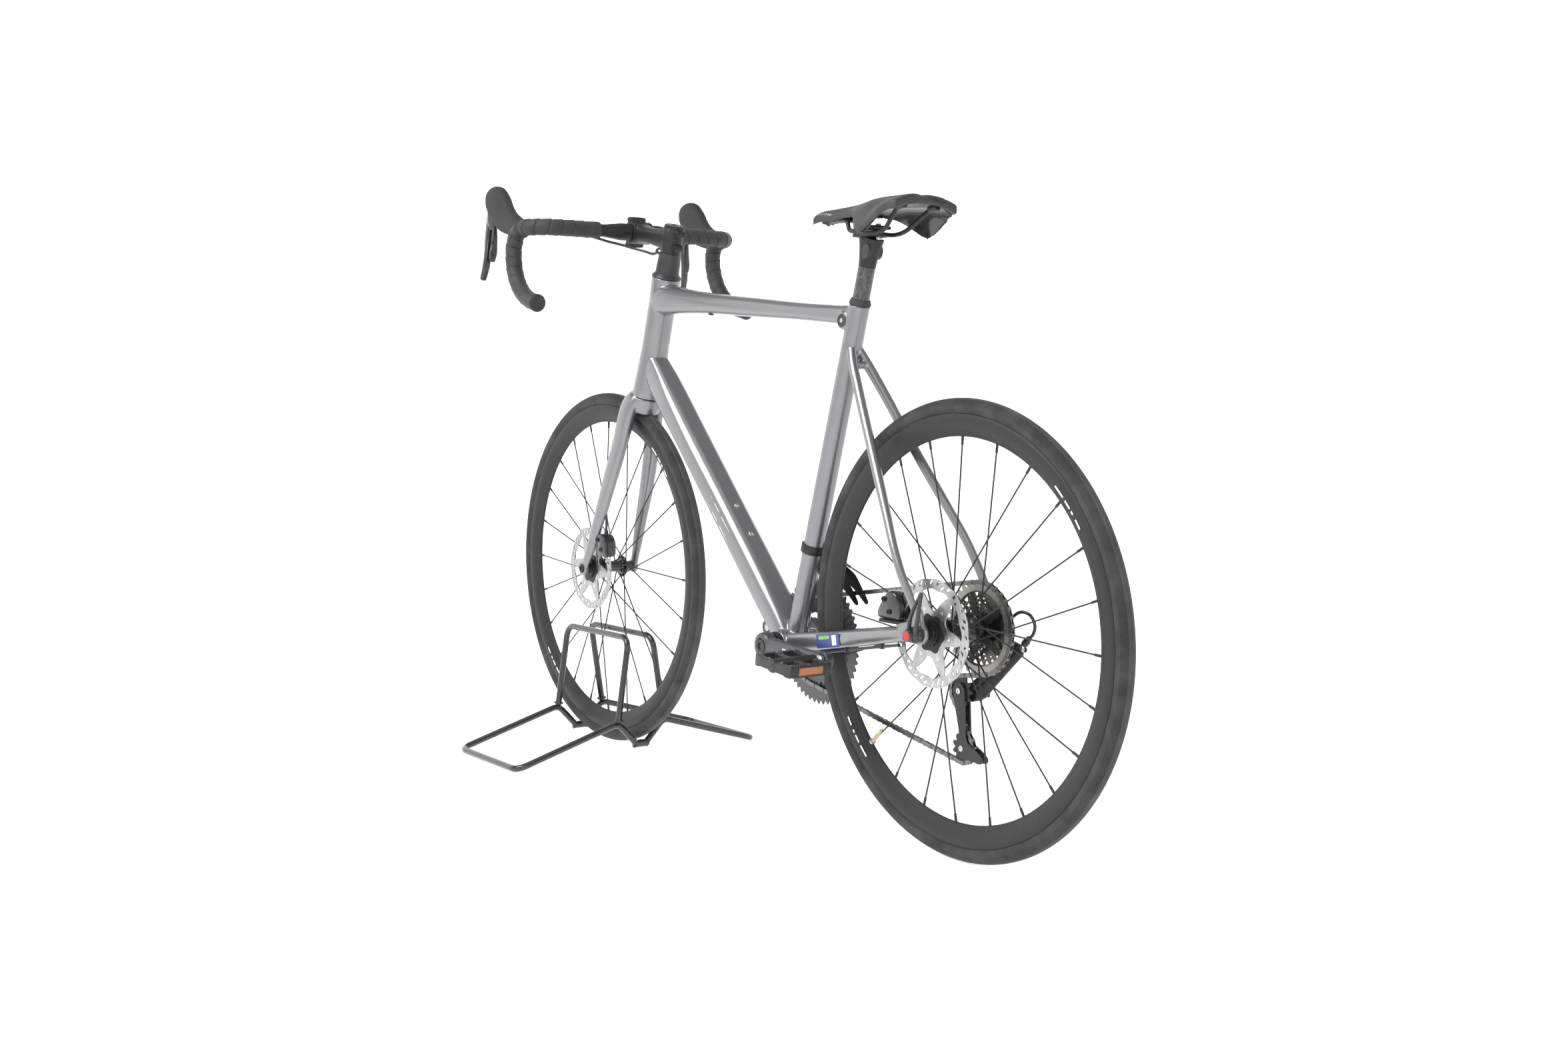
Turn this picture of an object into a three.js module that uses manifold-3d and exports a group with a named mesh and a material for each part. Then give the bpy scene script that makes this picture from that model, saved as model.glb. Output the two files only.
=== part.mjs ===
// A drop-bar road bicycle whose front wheel stands in a wheel stand bent from round rod.
// Millimetres. +X is forward, +Y is the rider's left, +Z is up. The origin is on the floor,
// in the middle plane, midway between the two axles.
import * as THREE from "three";
import { mergeVertices } from "three/addons/utils/BufferGeometryUtils.js";
import Module from "manifold-3d";

const wasm = await Module();
wasm.setup();

// ---------------------------------------------------------------- driving dimensions
const GAP = 0.3; // air between touching pieces
const RUNNING = 0.45; // air around a shaft, on the flat-sided solids used here

// wheels
const WHEELBASE = 1031.2;
const WHEEL_RADIUS = 339; // over the tyre
const TYRE_WIDTH = 27.2;
const TYRE_HEIGHT = 23; // from the rim's edge to the tread
const RIM_OUTER_RADIUS = WHEEL_RADIUS - TYRE_HEIGHT;
const RIM_DEPTH = 33;
const RIM_WIDTH = 22.4;
const SPOKES = 24;
const SPOKE_RADIUS = 1;
const ROTOR_RADIUS = 80;
const ROTOR_THICKNESS = 1.8;
const AXLE_RADIUS = 6;
const FRONT_HUB_WIDTH = 100;
const REAR_HUB_WIDTH = 142;
const FRONT_ROTOR_Y = 39.6;
const REAR_ROTOR_Y = 53;

// frame and fork
const HEAD_ANGLE = 73.34; // degrees from the floor
const SEAT_ANGLE = 73.6;
const FORK_OFFSET = 45.1;
const CROWN_HEIGHT = 361; // front axle level to the head tube, along the steering axis
const HEAD_TUBE_LENGTH = 227;
const BB_DROP = 70;
const CHAINSTAY = 413;
const SEAT_TUBE_LENGTH = 574;
const SEATPOST_RADIUS = 13.6;
const SEAT_TUBE_WALL = 3.4;
const SEAT_TUBE_RADIUS = SEATPOST_RADIUS + SEAT_TUBE_WALL;
const DOWN_TUBE_WIDTH = 58;
const DOWN_TUBE_DEPTH = 52;
const DOWN_TUBE_RISE = 429; // where its centre line meets the steering axis
const TOP_TUBE_RISE = 553;
const STEERER_RADIUS = 14.3;
const BB_SHELL_RADIUS = 23;
const BB_SHELL_WIDTH = 76;
const DROPOUT_THICKNESS = 7;

// cockpit
const STEM_LENGTH = 120;
const STEM_RISE = 657; // middle of the steerer clamp, along the steering axis
const STEM_ANGLE = 10.2; // degrees above level
const BAR_CLAMP_RADIUS = 15.9;
const BAR_RADIUS = 11.6;
const BAR_WIDTH = 428; // centre to centre at the hoods
const TAPE_RADIUS = 15.8;
const TAPE_START = 92; // distance from the middle plane

// saddle
const SADDLE_LENGTH = 272;
const SADDLE_WIDTH = 141;
const POST_EXTENSION = 100; // top of the seat tube to the saddle clamp
const SEATPOST_INSERTION = 130;

// drivetrain
const PITCH = 12.7;
const CRANK_LENGTH = 172.5;
const LARGE_RING_TEETH = 52;
const SMALL_RING_TEETH = 36;
const LARGE_COG_TEETH = 34;
const SMALL_COG_TEETH = 11;
const COGS = 11;
const PULLEY_TEETH = 11;
const CHAIN_Y = -39.5;
const CHAIN_WIDTH = 5.6;
const CHAIN_HEIGHT = 6.6;
const LARGE_RING_Y = -49.5;
const SMALL_RING_Y = -41;
const LARGE_COG_Y = -38.5;
const COG_SPACING = 2.75;
const TOOTH_REACH = 2.2; // tooth tip beyond the pitch circle
const BB_SPINDLE_RADIUS = 12;
const PEDAL_LENGTH = 94;
const PEDAL_WIDTH = 80;
const PEDAL_THICKNESS = 19;
const PEDAL_TILT = 5.5; // degrees
const Q_HALF = 75; // middle plane to the outer face of a crank's end

// stand
const FRONT_LIFT = 15.4; // height of the front tyre above the floor
const STAND_ROD = 6; // radius
const STAND_HALF_LENGTH = 120; // wheel centre to each pair of bars
const STAND_JOINT = { y: 50, z: 68 };
const STAND_FOOT_Y = 261;
const HOOP_TOP = { y: 26, z: 229 };
const STAND_BEND = 22; // radius of the bends, at the rod's centre

// ---------------------------------------------------------------- derived places
const rad = THREE.MathUtils.degToRad;
const vec = (x, y, z) => new THREE.Vector3(x, y, z);
const rearAxle = vec(-WHEELBASE / 2, 0, WHEEL_RADIUS);
const frontAxle = vec(WHEELBASE / 2, 0, WHEEL_RADIUS);
const steerUp = vec(-Math.cos(rad(HEAD_ANGLE)), 0, Math.sin(rad(HEAD_ANGLE)));
const steerFoot = frontAxle.clone().add(vec(-steerUp.z, 0, steerUp.x).multiplyScalar(FORK_OFFSET));
const onSteerer = (height) => steerFoot.clone().addScaledVector(steerUp, height);
const bbCentre = vec(
  rearAxle.x + Math.sqrt(CHAINSTAY ** 2 - BB_DROP ** 2), 0, WHEEL_RADIUS - BB_DROP);
const seatUp = vec(-Math.cos(rad(SEAT_ANGLE)), 0, Math.sin(rad(SEAT_ANGLE)));
const onSeatTube = (height) => bbCentre.clone().addScaledVector(seatUp, height);
const headTop = CROWN_HEIGHT + HEAD_TUBE_LENGTH;
const stemForward = vec(Math.cos(rad(STEM_ANGLE)), 0, Math.sin(rad(STEM_ANGLE)));
const barCentre = onSteerer(STEM_RISE).addScaledVector(stemForward, STEM_LENGTH);
const pitchRadius = (teeth) => PITCH / (2 * Math.sin(Math.PI / teeth));
const rootRadius = (teeth) => pitchRadius(teeth) - CHAIN_HEIGHT / 2 - RUNNING;

// ---------------------------------------------------------------- solids
// A closed geometry as a manifold-3d solid, and back.
function solidOf(geometry) {
  const bare = geometry.clone();
  bare.deleteAttribute("normal");
  bare.deleteAttribute("uv");
  const merged = mergeVertices(bare, 1e-4);
  return new wasm.Manifold(new wasm.Mesh({
    numProp: 3,
    vertProperties: merged.attributes.position.array,
    triVerts: new Uint32Array(merged.index.array),
  }));
}

function geometryOf(solid) {
  const mesh = solid.getMesh();
  const geometry = new THREE.BufferGeometry();
  geometry.setAttribute("position", new THREE.BufferAttribute(mesh.vertProperties, 3));
  geometry.setIndex(new THREE.BufferAttribute(mesh.triVerts, 1));
  geometry.computeVertexNormals();
  return geometry;
}

const CENTRE = new THREE.Vector2(0, 0);
const join = (...solids) => solids.reduce((sum, next) => sum.add(next));
const cut = (solid, ...tools) => tools.reduce((rest, tool) => rest.subtract(tool), solid);

// What is left of a piece after a cut, without any crumb cut off its edge.
const largest = (solid) =>
  solid.decompose().sort((a, b) => b.volume() - a.volume())[0];

// Regular polygon, used as the section of every round rod.
const polygon = (radius, sides) =>
  Array.from({ length: sides }, (_, i) => new THREE.Vector2(
    radius * Math.cos((2 * Math.PI * i) / sides), radius * Math.sin((2 * Math.PI * i) / sides)));

// Corner radius of a polygon that clears a round rod by the gap.
const around = (radius, sides) => (radius + GAP) / Math.cos(Math.PI / sides);

// Turns a geometry built along +Y so that it starts at a point and runs along a direction.
function aim(geometry, start, direction) {
  const turn = new THREE.Quaternion().setFromUnitVectors(
    vec(0, 1, 0), direction.clone().normalize());
  return geometry.applyQuaternion(turn).translate(start.x, start.y, start.z);
}

// Body of revolution: profile is [radius, height] pairs, from the axis round to the axis,
// or a closed ring when it ends where it starts.
const turned = (profile, sides) =>
  new THREE.LatheGeometry(profile.map(([r, h]) => new THREE.Vector2(r, h)), sides);

const turnedSolid = (profile, start, direction, sides = 24) =>
  solidOf(aim(turned(profile, sides), start, direction));

const cylinder = (start, end, radius, sides = 20) => {
  const length = start.distanceTo(end);
  const geometry = new THREE.CylinderGeometry(radius, radius, length, sides);
  return solidOf(aim(geometry.translate(0, length / 2, 0), start, end.clone().sub(start)));
};

const block = (low, high) => {
  const size = high.clone().sub(low);
  const middle = low.clone().add(high).multiplyScalar(0.5);
  return solidOf(new THREE.BoxGeometry(size.x, size.y, size.z)
    .translate(middle.x, middle.y, middle.z));
};

// A path that is stepped through chosen stations instead of equal distances.
class StationPath extends THREE.Curve {
  constructor(stations) {
    super();
    this.stations = stations;
  }

  getPoint(t, target = new THREE.Vector3()) {
    const last = this.stations.length - 1;
    const i = Math.min(Math.floor(t * last + 1e-6), last - 1);
    return target.lerpVectors(this.stations[i].at, this.stations[i + 1].at, t * last - i);
  }

  getTangent(t, target = new THREE.Vector3()) {
    return target.copy(this.stations[Math.round(t * (this.stations.length - 1))].along);
  }

  getPointAt(u, target) {
    return this.getPoint(u, target);
  }

  getTangentAt(u, target) {
    return this.getTangent(u, target);
  }
}

// Stations of a rod that runs straight between corners and bends round them on arcs.
function bentStations(corners, bendRadius, arcSteps = 3) {
  const heading = (i) => corners[i + 1].clone().sub(corners[i]).normalize();
  const stations = [{ at: corners[0], along: heading(0) }];
  for (let i = 1; i < corners.length - 1; i++) {
    const before = heading(i - 1);
    const after = heading(i);
    const bend = before.angleTo(after);
    const setback = bendRadius * Math.tan(bend / 2);
    const axis = before.clone().cross(after).normalize();
    const start = corners[i].clone().addScaledVector(before, -setback);
    const inward = axis.clone().cross(before);
    const centre = start.clone().addScaledVector(inward, bendRadius);
    for (let k = 0; k <= arcSteps; k++) {
      const turn = (bend * k) / arcSteps;
      const spoke = inward.clone().multiplyScalar(-bendRadius).applyAxisAngle(axis, turn);
      stations.push({ at: centre.clone().add(spoke), along: before.clone().applyAxisAngle(axis, turn) });
    }
  }
  const last = corners.length - 1;
  stations.push({ at: corners[last], along: heading(last - 1) });
  return stations;
}

const alongStations = (section, stations) => solidOf(new THREE.ExtrudeGeometry(
  section, { steps: stations.length - 1, extrudePath: new StationPath(stations) }));

// roll turns the section about the path, so that a chosen side of it lies flat.
const bentRod = (corners, radius, bendRadius, roll = 0, sides = 8) =>
  alongStations(new THREE.Shape(polygon(radius, sides).map((p) => p.rotateAround(CENTRE, roll))),
    bentStations(corners, bendRadius));

const smoothRod = (points, radius, steps, sides = 8) => solidOf(new THREE.ExtrudeGeometry(
  new THREE.Shape(polygon(radius, sides)),
  { steps, extrudePath: new THREE.CatmullRomCurve3(points, false, "centripetal") }));

// Flat plate: an outline in X and Z, from low Y to high Y.
const plate = (shape, lowY, highY, curveSegments = 8) =>
  solidOf(new THREE.ExtrudeGeometry(shape, { depth: highY - lowY, bevelEnabled: false, curveSegments })
    .rotateX(Math.PI / 2).translate(0, highY, 0));

// Flat plate: an outline in X and Y, centred on the level plane.
const plateFlat = (shape, thickness) =>
  solidOf(new THREE.ExtrudeGeometry(shape, { depth: thickness, bevelEnabled: false })
    .translate(0, 0, -thickness / 2));

const outline = (points) => new THREE.Shape(points.map(([x, z]) => new THREE.Vector2(x, z)));

const disc = (x, z, radius, sides = 24) =>
  new THREE.Path(polygon(radius, sides).map((p) => new THREE.Vector2(p.x + x, p.y + z)));

// A tube whose section changes along its length. Each station gives the centre, the width
// across the path (nearest to +Y), the depth, and how square the section is: 2 is an
// ellipse, larger is squarer.
function limb(stations, sides = 16, steps = 3) {
  const curve = new THREE.CatmullRomCurve3(stations.map((s) => s.at), false, "centripetal");
  const count = (stations.length - 1) * steps;
  const geometry = new THREE.CylinderGeometry(1, 1, 1, sides, count);
  const position = geometry.getAttribute("position");
  const lateral = vec(0, 1, 0);
  for (let i = 0; i < position.count; i++) {
    const t = position.getY(i) + 0.5;
    const place = Math.min(t * (stations.length - 1), stations.length - 1 - 1e-9);
    const low = stations[Math.floor(place)];
    const high = stations[Math.floor(place) + 1];
    const blend = (key) => THREE.MathUtils.lerp(low[key], high[key], place - Math.floor(place));
    const tangent = curve.getTangent(t);
    const side = lateral.clone().addScaledVector(tangent, -lateral.dot(tangent)).normalize();
    const up = side.clone().cross(tangent);
    const power = 2 / blend("square");
    const shape = (v) => Math.sign(v) * Math.abs(v) ** power;
    const across = shape(position.getX(i)) * blend("width") / 2;
    const above = shape(position.getZ(i)) * blend("depth") / 2;
    const at = curve.getPoint(t).addScaledVector(side, across).addScaledVector(up, above);
    position.setXYZ(i, at.x, at.y, at.z);
  }
  return solidOf(geometry);
}

const station = (at, width, depth, square = 2.5) => ({ at, width, depth, square });

// The same solid on the other side of the middle plane.
const mirrored = (solid) => solid.mirror([0, 1, 0]);
const bothSides = (solid) => join(solid, mirrored(solid));

// ---------------------------------------------------------------- materials and scene graph
const finish = (color, roughness, metalness) => ({ color, roughness, metalness });
const SILVER_PAINT = finish(0x8d8e92, 0.35, 0.6);
const BLACK_METAL = finish(0x1b1b1c, 0.4, 0.5);
const GLOSS_BLACK = finish(0x101010, 0.15, 0.3);
const BLACK_PLASTIC = finish(0x1d1d1e, 0.5, 0);
const DARK_RUBBER = finish(0x2a2a2b, 0.8, 0);
const TYRE_RUBBER = finish(0x232325, 0.85, 0);
const BARE_STEEL = finish(0xb9bbbd, 0.25, 0.95);
const DARK_ALLOY = finish(0x3d3e42, 0.4, 0.6);

const part = new THREE.Group();

function piece(group, name, solid, look, place = vec(0, 0, 0)) {
  const mesh = new THREE.Mesh(geometryOf(solid), new THREE.MeshStandardMaterial(look));
  mesh.name = name;
  mesh.position.copy(place);
  group.add(mesh);
  return mesh;
}

// The bicycle is drawn with both tyres on one level line; the stand then lifts its front
// wheel, which turns the whole bicycle about the rear axle.
const lifted = new THREE.Group();
lifted.position.copy(rearAxle);
lifted.rotation.y = -Math.asin(FRONT_LIFT / WHEELBASE);
const bicycle = new THREE.Group();
bicycle.position.copy(rearAxle).negate();
lifted.add(bicycle);
part.add(lifted);

// ---------------------------------------------------------------- wheels
// Every wheel piece is drawn about its own axle, which is the Y axis.
const WHEEL_SIDES = 32;
const wheelTurned = (profile, sides = WHEEL_SIDES) =>
  turnedSolid(profile.concat([profile[0]]), vec(0, 0, 0), vec(0, 1, 0), sides);

// The casing is open towards the rim, as it is on the wheel.
function tyre() {
  const wall = 3;
  const radius = TYRE_WIDTH / 2;
  const centre = WHEEL_RADIUS - radius;
  const seat = RIM_OUTER_RADIUS + GAP;
  const arc = (size, steps) => {
    const foot = Math.asin((seat - centre) / size);
    return Array.from({ length: steps + 1 }, (_, i) => {
      const angle = foot + ((Math.PI - 2 * foot) * i) / steps;
      return [centre + size * Math.sin(angle), -size * Math.cos(angle)];
    });
  };
  return wheelTurned([...arc(radius, 6), ...arc(radius - wall, 3).reverse()]);
}

// A deep section with a well for the tyre, open outwards.
function rim() {
  const wall = 2.4;
  const inner = RIM_OUTER_RADIUS - RIM_DEPTH;
  const half = RIM_WIDTH / 2;
  const outerSide = [[inner, -half * 0.4], [RIM_OUTER_RADIUS - 11, -half],
    [RIM_OUTER_RADIUS, -half * 0.93], [RIM_OUTER_RADIUS, wall - half],
    [inner + wall, wall / 2 - half * 0.4]];
  return wheelTurned([...outerSide, ...outerSide.map(([r, y]) => [r, -y]).reverse()]);
}

// Spokes run from the two flanges to the rim, each crossing two others on its side. They are
// held together by a thin spool round the hub's barrel.
function spokes(flanges, barrelRadius) {
  const perSide = SPOKES / 2;
  const inner = (RIM_OUTER_RADIUS - RIM_DEPTH) * Math.cos(Math.PI / WHEEL_SIDES) - GAP - SPOKE_RADIUS;
  const inside = around(barrelRadius, 12);
  const spoolOuter = inside + 2;
  const spool = wheelTurned([[inside, flanges.right], [spoolOuter, flanges.right],
    [spoolOuter, flanges.left], [inside, flanges.left]], 12);
  const rods = [];
  const onCircle = (radius, angle, y) => vec(radius * Math.cos(angle), y, radius * Math.sin(angle));
  for (const [y, shift] of [[flanges.left, 0], [flanges.right, Math.PI / perSide]]) {
    for (let i = 0; i < perSide; i++) {
      const inset = y - Math.sign(y) * SPOKE_RADIUS * (i % 2 ? 1.2 : 3.6);
      const hubAngle = shift + (2 * Math.PI * i) / perSide;
      const lead = (i % 2 ? -1 : 1) * 2 * ((2 * Math.PI) / perSide);
      const from = onCircle(spoolOuter - 1, hubAngle, inset);
      const to = onCircle(inner, hubAngle + lead, 0);
      rods.push(cylinder(from, to, SPOKE_RADIUS, 3));
    }
  }
  return join(spool, ...rods);
}

// Barrel, flanges and rotor carrier, bored for the axle.
function hub(halfWidth, flanges, barrelRadius, flangeRadius, carrier) {
  const bore = AXLE_RADIUS + RUNNING;
  const end = halfWidth - GAP;
  const thick = 3;
  return wheelTurned([
    [bore, -end], [carrier.right.radius, -end], [carrier.right.radius, flanges.right - thick],
    [flangeRadius, flanges.right - thick], [flangeRadius, flanges.right - GAP],
    [barrelRadius, flanges.right - GAP], [barrelRadius, flanges.left + GAP],
    [flangeRadius, flanges.left + GAP], [flangeRadius, flanges.left + thick],
    [carrier.left.radius, flanges.left + thick], [carrier.left.radius, carrier.left.end],
    [carrier.tipRadius, carrier.left.end], [carrier.tipRadius, end], [bore, end],
  ], 12);
}

function rotor(carrierRadius) {
  const shape = new THREE.Shape(polygon(ROTOR_RADIUS, 28));
  shape.holes.push(disc(0, 0, around(carrierRadius, 16), 16));
  const windows = 6;
  for (let i = 0; i < windows; i++) {
    const middle = (2 * Math.PI * i) / windows;
    const span = Math.PI / windows - 0.16;
    const corner = (radius, angle) =>
      new THREE.Vector2(radius * Math.cos(middle + angle), radius * Math.sin(middle + angle));
    shape.holes.push(new THREE.Path([
      corner(36, -span * 0.7), corner(62, -span), corner(62, 0), corner(62, span),
      corner(36, span * 0.7), corner(36, 0)]));
  }
  return plate(shape, -ROTOR_THICKNESS / 2, ROTOR_THICKNESS / 2);
}

const ROTOR_CARRIER_RADIUS = 17;
const FREEHUB_RADIUS = 17;
const frontFlanges = { left: 17, right: -28 };
const rearFlanges = { left: 30, right: -19 };
const FRONT_BARREL_RADIUS = 11;
const REAR_BARREL_RADIUS = 12;
const HUB_TIP_RADIUS = 10;

function wheel(prefix, axle, flanges, hubSolid, barrelRadius, rotorY) {
  const group = new THREE.Group();
  group.position.copy(axle);
  piece(group, prefix + "_tyre", tyre(), TYRE_RUBBER);
  piece(group, prefix + "_rim", rim(), BLACK_METAL);
  piece(group, prefix + "_spokes", spokes(flanges, barrelRadius), BLACK_METAL);
  piece(group, prefix + "_hub", hubSolid, GLOSS_BLACK);
  piece(group, prefix + "_rotor", rotor(ROTOR_CARRIER_RADIUS), BARE_STEEL, vec(0, rotorY, 0));
  bicycle.add(group);
}

wheel("front", frontAxle, frontFlanges,
  hub(FRONT_HUB_WIDTH / 2, frontFlanges, FRONT_BARREL_RADIUS, 21, {
    right: { radius: HUB_TIP_RADIUS },
    left: { radius: ROTOR_CARRIER_RADIUS, end: FRONT_ROTOR_Y + 3 },
    tipRadius: HUB_TIP_RADIUS,
  }), FRONT_BARREL_RADIUS, FRONT_ROTOR_Y);

const smallCogY = LARGE_COG_Y - (COGS - 1) * COG_SPACING;
wheel("rear", rearAxle, rearFlanges,
  hub(REAR_HUB_WIDTH / 2, rearFlanges, REAR_BARREL_RADIUS, 24, {
    right: { radius: FREEHUB_RADIUS },
    left: { radius: ROTOR_CARRIER_RADIUS, end: REAR_ROTOR_Y + 3 },
    tipRadius: HUB_TIP_RADIUS,
  }), REAR_BARREL_RADIUS, REAR_ROTOR_Y);

// ---------------------------------------------------------------- fork and steering
// Thickness of the leg at the axle, where the hub sits against its inner face.
const FORK_END = 9;
const forkInner = FRONT_HUB_WIDTH / 2 + GAP;

// grow makes the leg thicker all round, for cutting neighbours clear of it.
function forkLeg(grow = 0) {
  const foot = vec(frontAxle.x - 3, forkInner + FORK_END / 2, frontAxle.z);
  const crown = onSteerer(CROWN_HEIGHT - 22);
  const along = (share, y) => vec(
    THREE.MathUtils.lerp(crown.x + 16, foot.x, share), y,
    THREE.MathUtils.lerp(crown.z - 14, foot.z, share));
  const at = (place, width, depth) => station(place, width + grow, depth + grow);
  const leg = limb([
    at(vec(crown.x + 2, 13, crown.z + 10), 34, 44), at(vec(crown.x + 10, 29, crown.z - 6), 25, 46),
    at(along(0.13, 33), 21, 43), at(along(0.4, 41.5), 19, 38), at(along(0.7, 49), 17, 33),
    at(vec(foot.x - 2, foot.y, foot.z + 22), FORK_END + 2, 27),
    at(vec(foot.x + 2, foot.y, foot.z - 10), FORK_END, 22)], 10, 1);
  const inside = block(
    vec(foot.x - 40, 0, foot.z - 60), vec(foot.x + 40, forkInner - grow, foot.z + 24));
  return cut(leg, inside);
}

function fork() {
  const crown = turnedSolid(
    [[0, -34], [24, -34], [29, -24], [29.5, -GAP], [0, -GAP]],
    onSteerer(CROWN_HEIGHT), steerUp, 20);
  const steerer = cylinder(
    onSteerer(CROWN_HEIGHT - 12), onSteerer(STEM_RISE + 23), STEERER_RADIUS, 16);
  const clearance = turnedSolid([
    [0, -18.5], [WHEEL_RADIUS - 6, -18.5], [WHEEL_RADIUS + 3, -14], [WHEEL_RADIUS + 7, 0],
    [WHEEL_RADIUS + 3, 14], [WHEEL_RADIUS - 6, 18.5], [0, 18.5]],
  frontAxle, vec(0, 1, 0), 48);
  const end = FRONT_HUB_WIDTH / 2 + 20;
  const axleBore = cylinder(
    frontAxle.clone().setY(-end), frontAxle.clone().setY(end), AXLE_RADIUS + RUNNING, 12);
  return cut(join(crown, steerer, bothSides(forkLeg())), clearance, axleBore);
}

piece(bicycle, "fork", fork(), SILVER_PAINT);

function frontAxleSolid() {
  const face = forkInner + FORK_END + 2 + GAP;
  return turnedSolid([[0, -face], [AXLE_RADIUS, -face], [AXLE_RADIUS, face],
    [8, face], [8, face + 2], [0, face + 2]], frontAxle, vec(0, 1, 0), 12);
}

piece(bicycle, "front_axle", frontAxleSolid(), BLACK_METAL);

// A flat-mount caliper: a block with a sloping back and a slot for the edge of the rotor.
function caliper(low, high, rotorCentre) {
  const slope = (high.x - low.x) * 0.35;
  const body = plate(outline([
    [low.x, low.z], [high.x, low.z], [high.x, high.z - 6], [high.x - 6, high.z],
    [low.x + slope, high.z], [low.x, high.z - 16]]), low.y, high.y);
  const side = vec(0, ROTOR_THICKNESS / 2 + 1.2, 0);
  const slot = cylinder(
    rotorCentre.clone().sub(side), rotorCentre.clone().add(side), ROTOR_RADIUS + 2, 32);
  return cut(body, slot);
}

const FRONT_CALIPER = {
  low: frontAxle.clone().add(vec(-79.6, 27, 25)),
  high: frontAxle.clone().add(vec(-41.6, 53, 71)),
};
const frontCaliperSolid = largest(cut(
  caliper(FRONT_CALIPER.low, FRONT_CALIPER.high, frontAxle.clone().setY(FRONT_ROTOR_Y)),
  forkLeg(2 * GAP)));
piece(bicycle, "front_caliper", frontCaliperSolid, GLOSS_BLACK);

const COVER_FLARE_RADIUS = 27;
const COVER_RADIUS = 22;
const coverTop = STEM_RISE - 23 - GAP;
function headsetCover() {
  const bore = STEERER_RADIUS + RUNNING;
  const base = headTop + GAP;
  const ring = (radius, height) => [radius, height - base];
  const profile = [ring(bore, base), ring(COVER_FLARE_RADIUS, base), ring(COVER_RADIUS, base + 7),
    ring(COVER_RADIUS, coverTop - 17), ring(17.5, coverTop), ring(bore, coverTop)];
  return turnedSolid(profile.concat([profile[0]]), onSteerer(base), steerUp, 16);
}

piece(bicycle, "headset_cover", headsetCover(), BLACK_PLASTIC);

const STEM_CLAMP_RADIUS = 19;
const BAR_CLAMP_OUTER = 20.5;
const BAR_CLAMP_HALF = 21;
function stemParts() {
  const side = vec(0, BAR_CLAMP_HALF, 0);
  const steererClamp = cylinder(
    onSteerer(STEM_RISE - 23), onSteerer(STEM_RISE + 23), STEM_CLAMP_RADIUS, 16);
  const start = onSteerer(STEM_RISE).addScaledVector(stemForward, 6);
  const body = limb([
    station(start, 33, 38), station(start.clone().addScaledVector(stemForward, 45), 31, 33),
    station(barCentre.clone().addScaledVector(stemForward, -14), 34, 33)], 10, 1);
  const barrel = cylinder(
    barCentre.clone().sub(side), barCentre.clone().add(side), BAR_CLAMP_OUTER, 16);
  const bores = join(
    cylinder(onSteerer(STEM_RISE - 40), onSteerer(STEM_RISE + 40), STEERER_RADIUS + RUNNING, 16),
    cylinder(barCentre.clone().addScaledVector(side, -2), barCentre.clone().addScaledVector(side, 2),
      around(BAR_CLAMP_RADIUS, 16), 16));
  const front = aimedBlock(barCentre, stemForward, 1.2, 60, 60);
  const back = aimedBlock(barCentre, stemForward.clone().negate(), -1.2 - GAP, 200, 60);
  return {
    stem: cut(join(steererClamp, body, barrel), bores, front),
    faceplate: cut(barrel, bores, back),
  };
}

// A block that starts a little way off a point and fills one side of a plane there.
function aimedBlock(point, direction, offset, length, half) {
  const geometry = new THREE.BoxGeometry(2 * half, length, 2 * half)
    .translate(0, offset + length / 2, 0);
  return solidOf(aim(geometry, point, direction));
}

const { stem, faceplate } = stemParts();
piece(bicycle, "stem", stem, BLACK_METAL);
piece(bicycle, "stem_faceplate", faceplate, BLACK_METAL);

// Handlebar centre line on the left: along the top, round the corner and down the drop.
const BAR_CORNER = 50;
const barHalf = BAR_WIDTH / 2;
const fromBar = (x, y, z) => vec(barCentre.x + x, y, barCentre.z + z);
const leftBar = [
  fromBar(0, 40, 0), fromBar(0, 100, 0), fromBar(0, barHalf - BAR_CORNER, 0),
  fromBar(BAR_CORNER * 0.29, barHalf - BAR_CORNER * 0.29, 0), fromBar(BAR_CORNER, barHalf, 0),
  fromBar(69, barHalf + 1, -6), fromBar(81, barHalf + 3, -28), fromBar(79, barHalf + 5, -62),
  fromBar(61, barHalf + 7, -97), fromBar(32, barHalf + 9, -121), fromBar(-1, barHalf + 11, -134),
  fromBar(-26, barHalf + 12, -139),
];
const acrossPlane = (points) => points.map((p) => vec(p.x, -p.y, p.z));
const BAR_SIDES = 8;

// Bar and tape are swept through the same stations, so that they fit along their length.
const barCurve = new THREE.CatmullRomCurve3(leftBar, false, "centripetal");
const barStations = Array.from({ length: 15 }, (_, i) => i / 14)
  .map((t) => ({ at: barCurve.getPoint(t), along: barCurve.getTangent(t) }));
const tapedStations = [
  { at: fromBar(0, TAPE_START, 0), along: vec(0, 1, 0) },
  ...barStations.filter((s) => s.at.y > TAPE_START + 5)];
const bareStations = [
  { at: fromBar(0, 20, 0), along: vec(0, 1, 0) }, ...tapedStations];
const barRod = (stations, radius) =>
  alongStations(new THREE.Shape(polygon(radius, BAR_SIDES)), stations);

function handlebar() {
  const half = 38;
  const taper = 34;
  const bulge = turnedSolid([[0, -half - taper], [BAR_RADIUS, -half - taper],
    [BAR_CLAMP_RADIUS, -half], [BAR_CLAMP_RADIUS, half], [BAR_RADIUS, half + taper],
    [0, half + taper]], barCentre, vec(0, 1, 0), 16);
  return join(bothSides(barRod(bareStations, BAR_RADIUS)), bulge);
}

piece(bicycle, "handlebar", handlebar(), BLACK_METAL);

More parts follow.
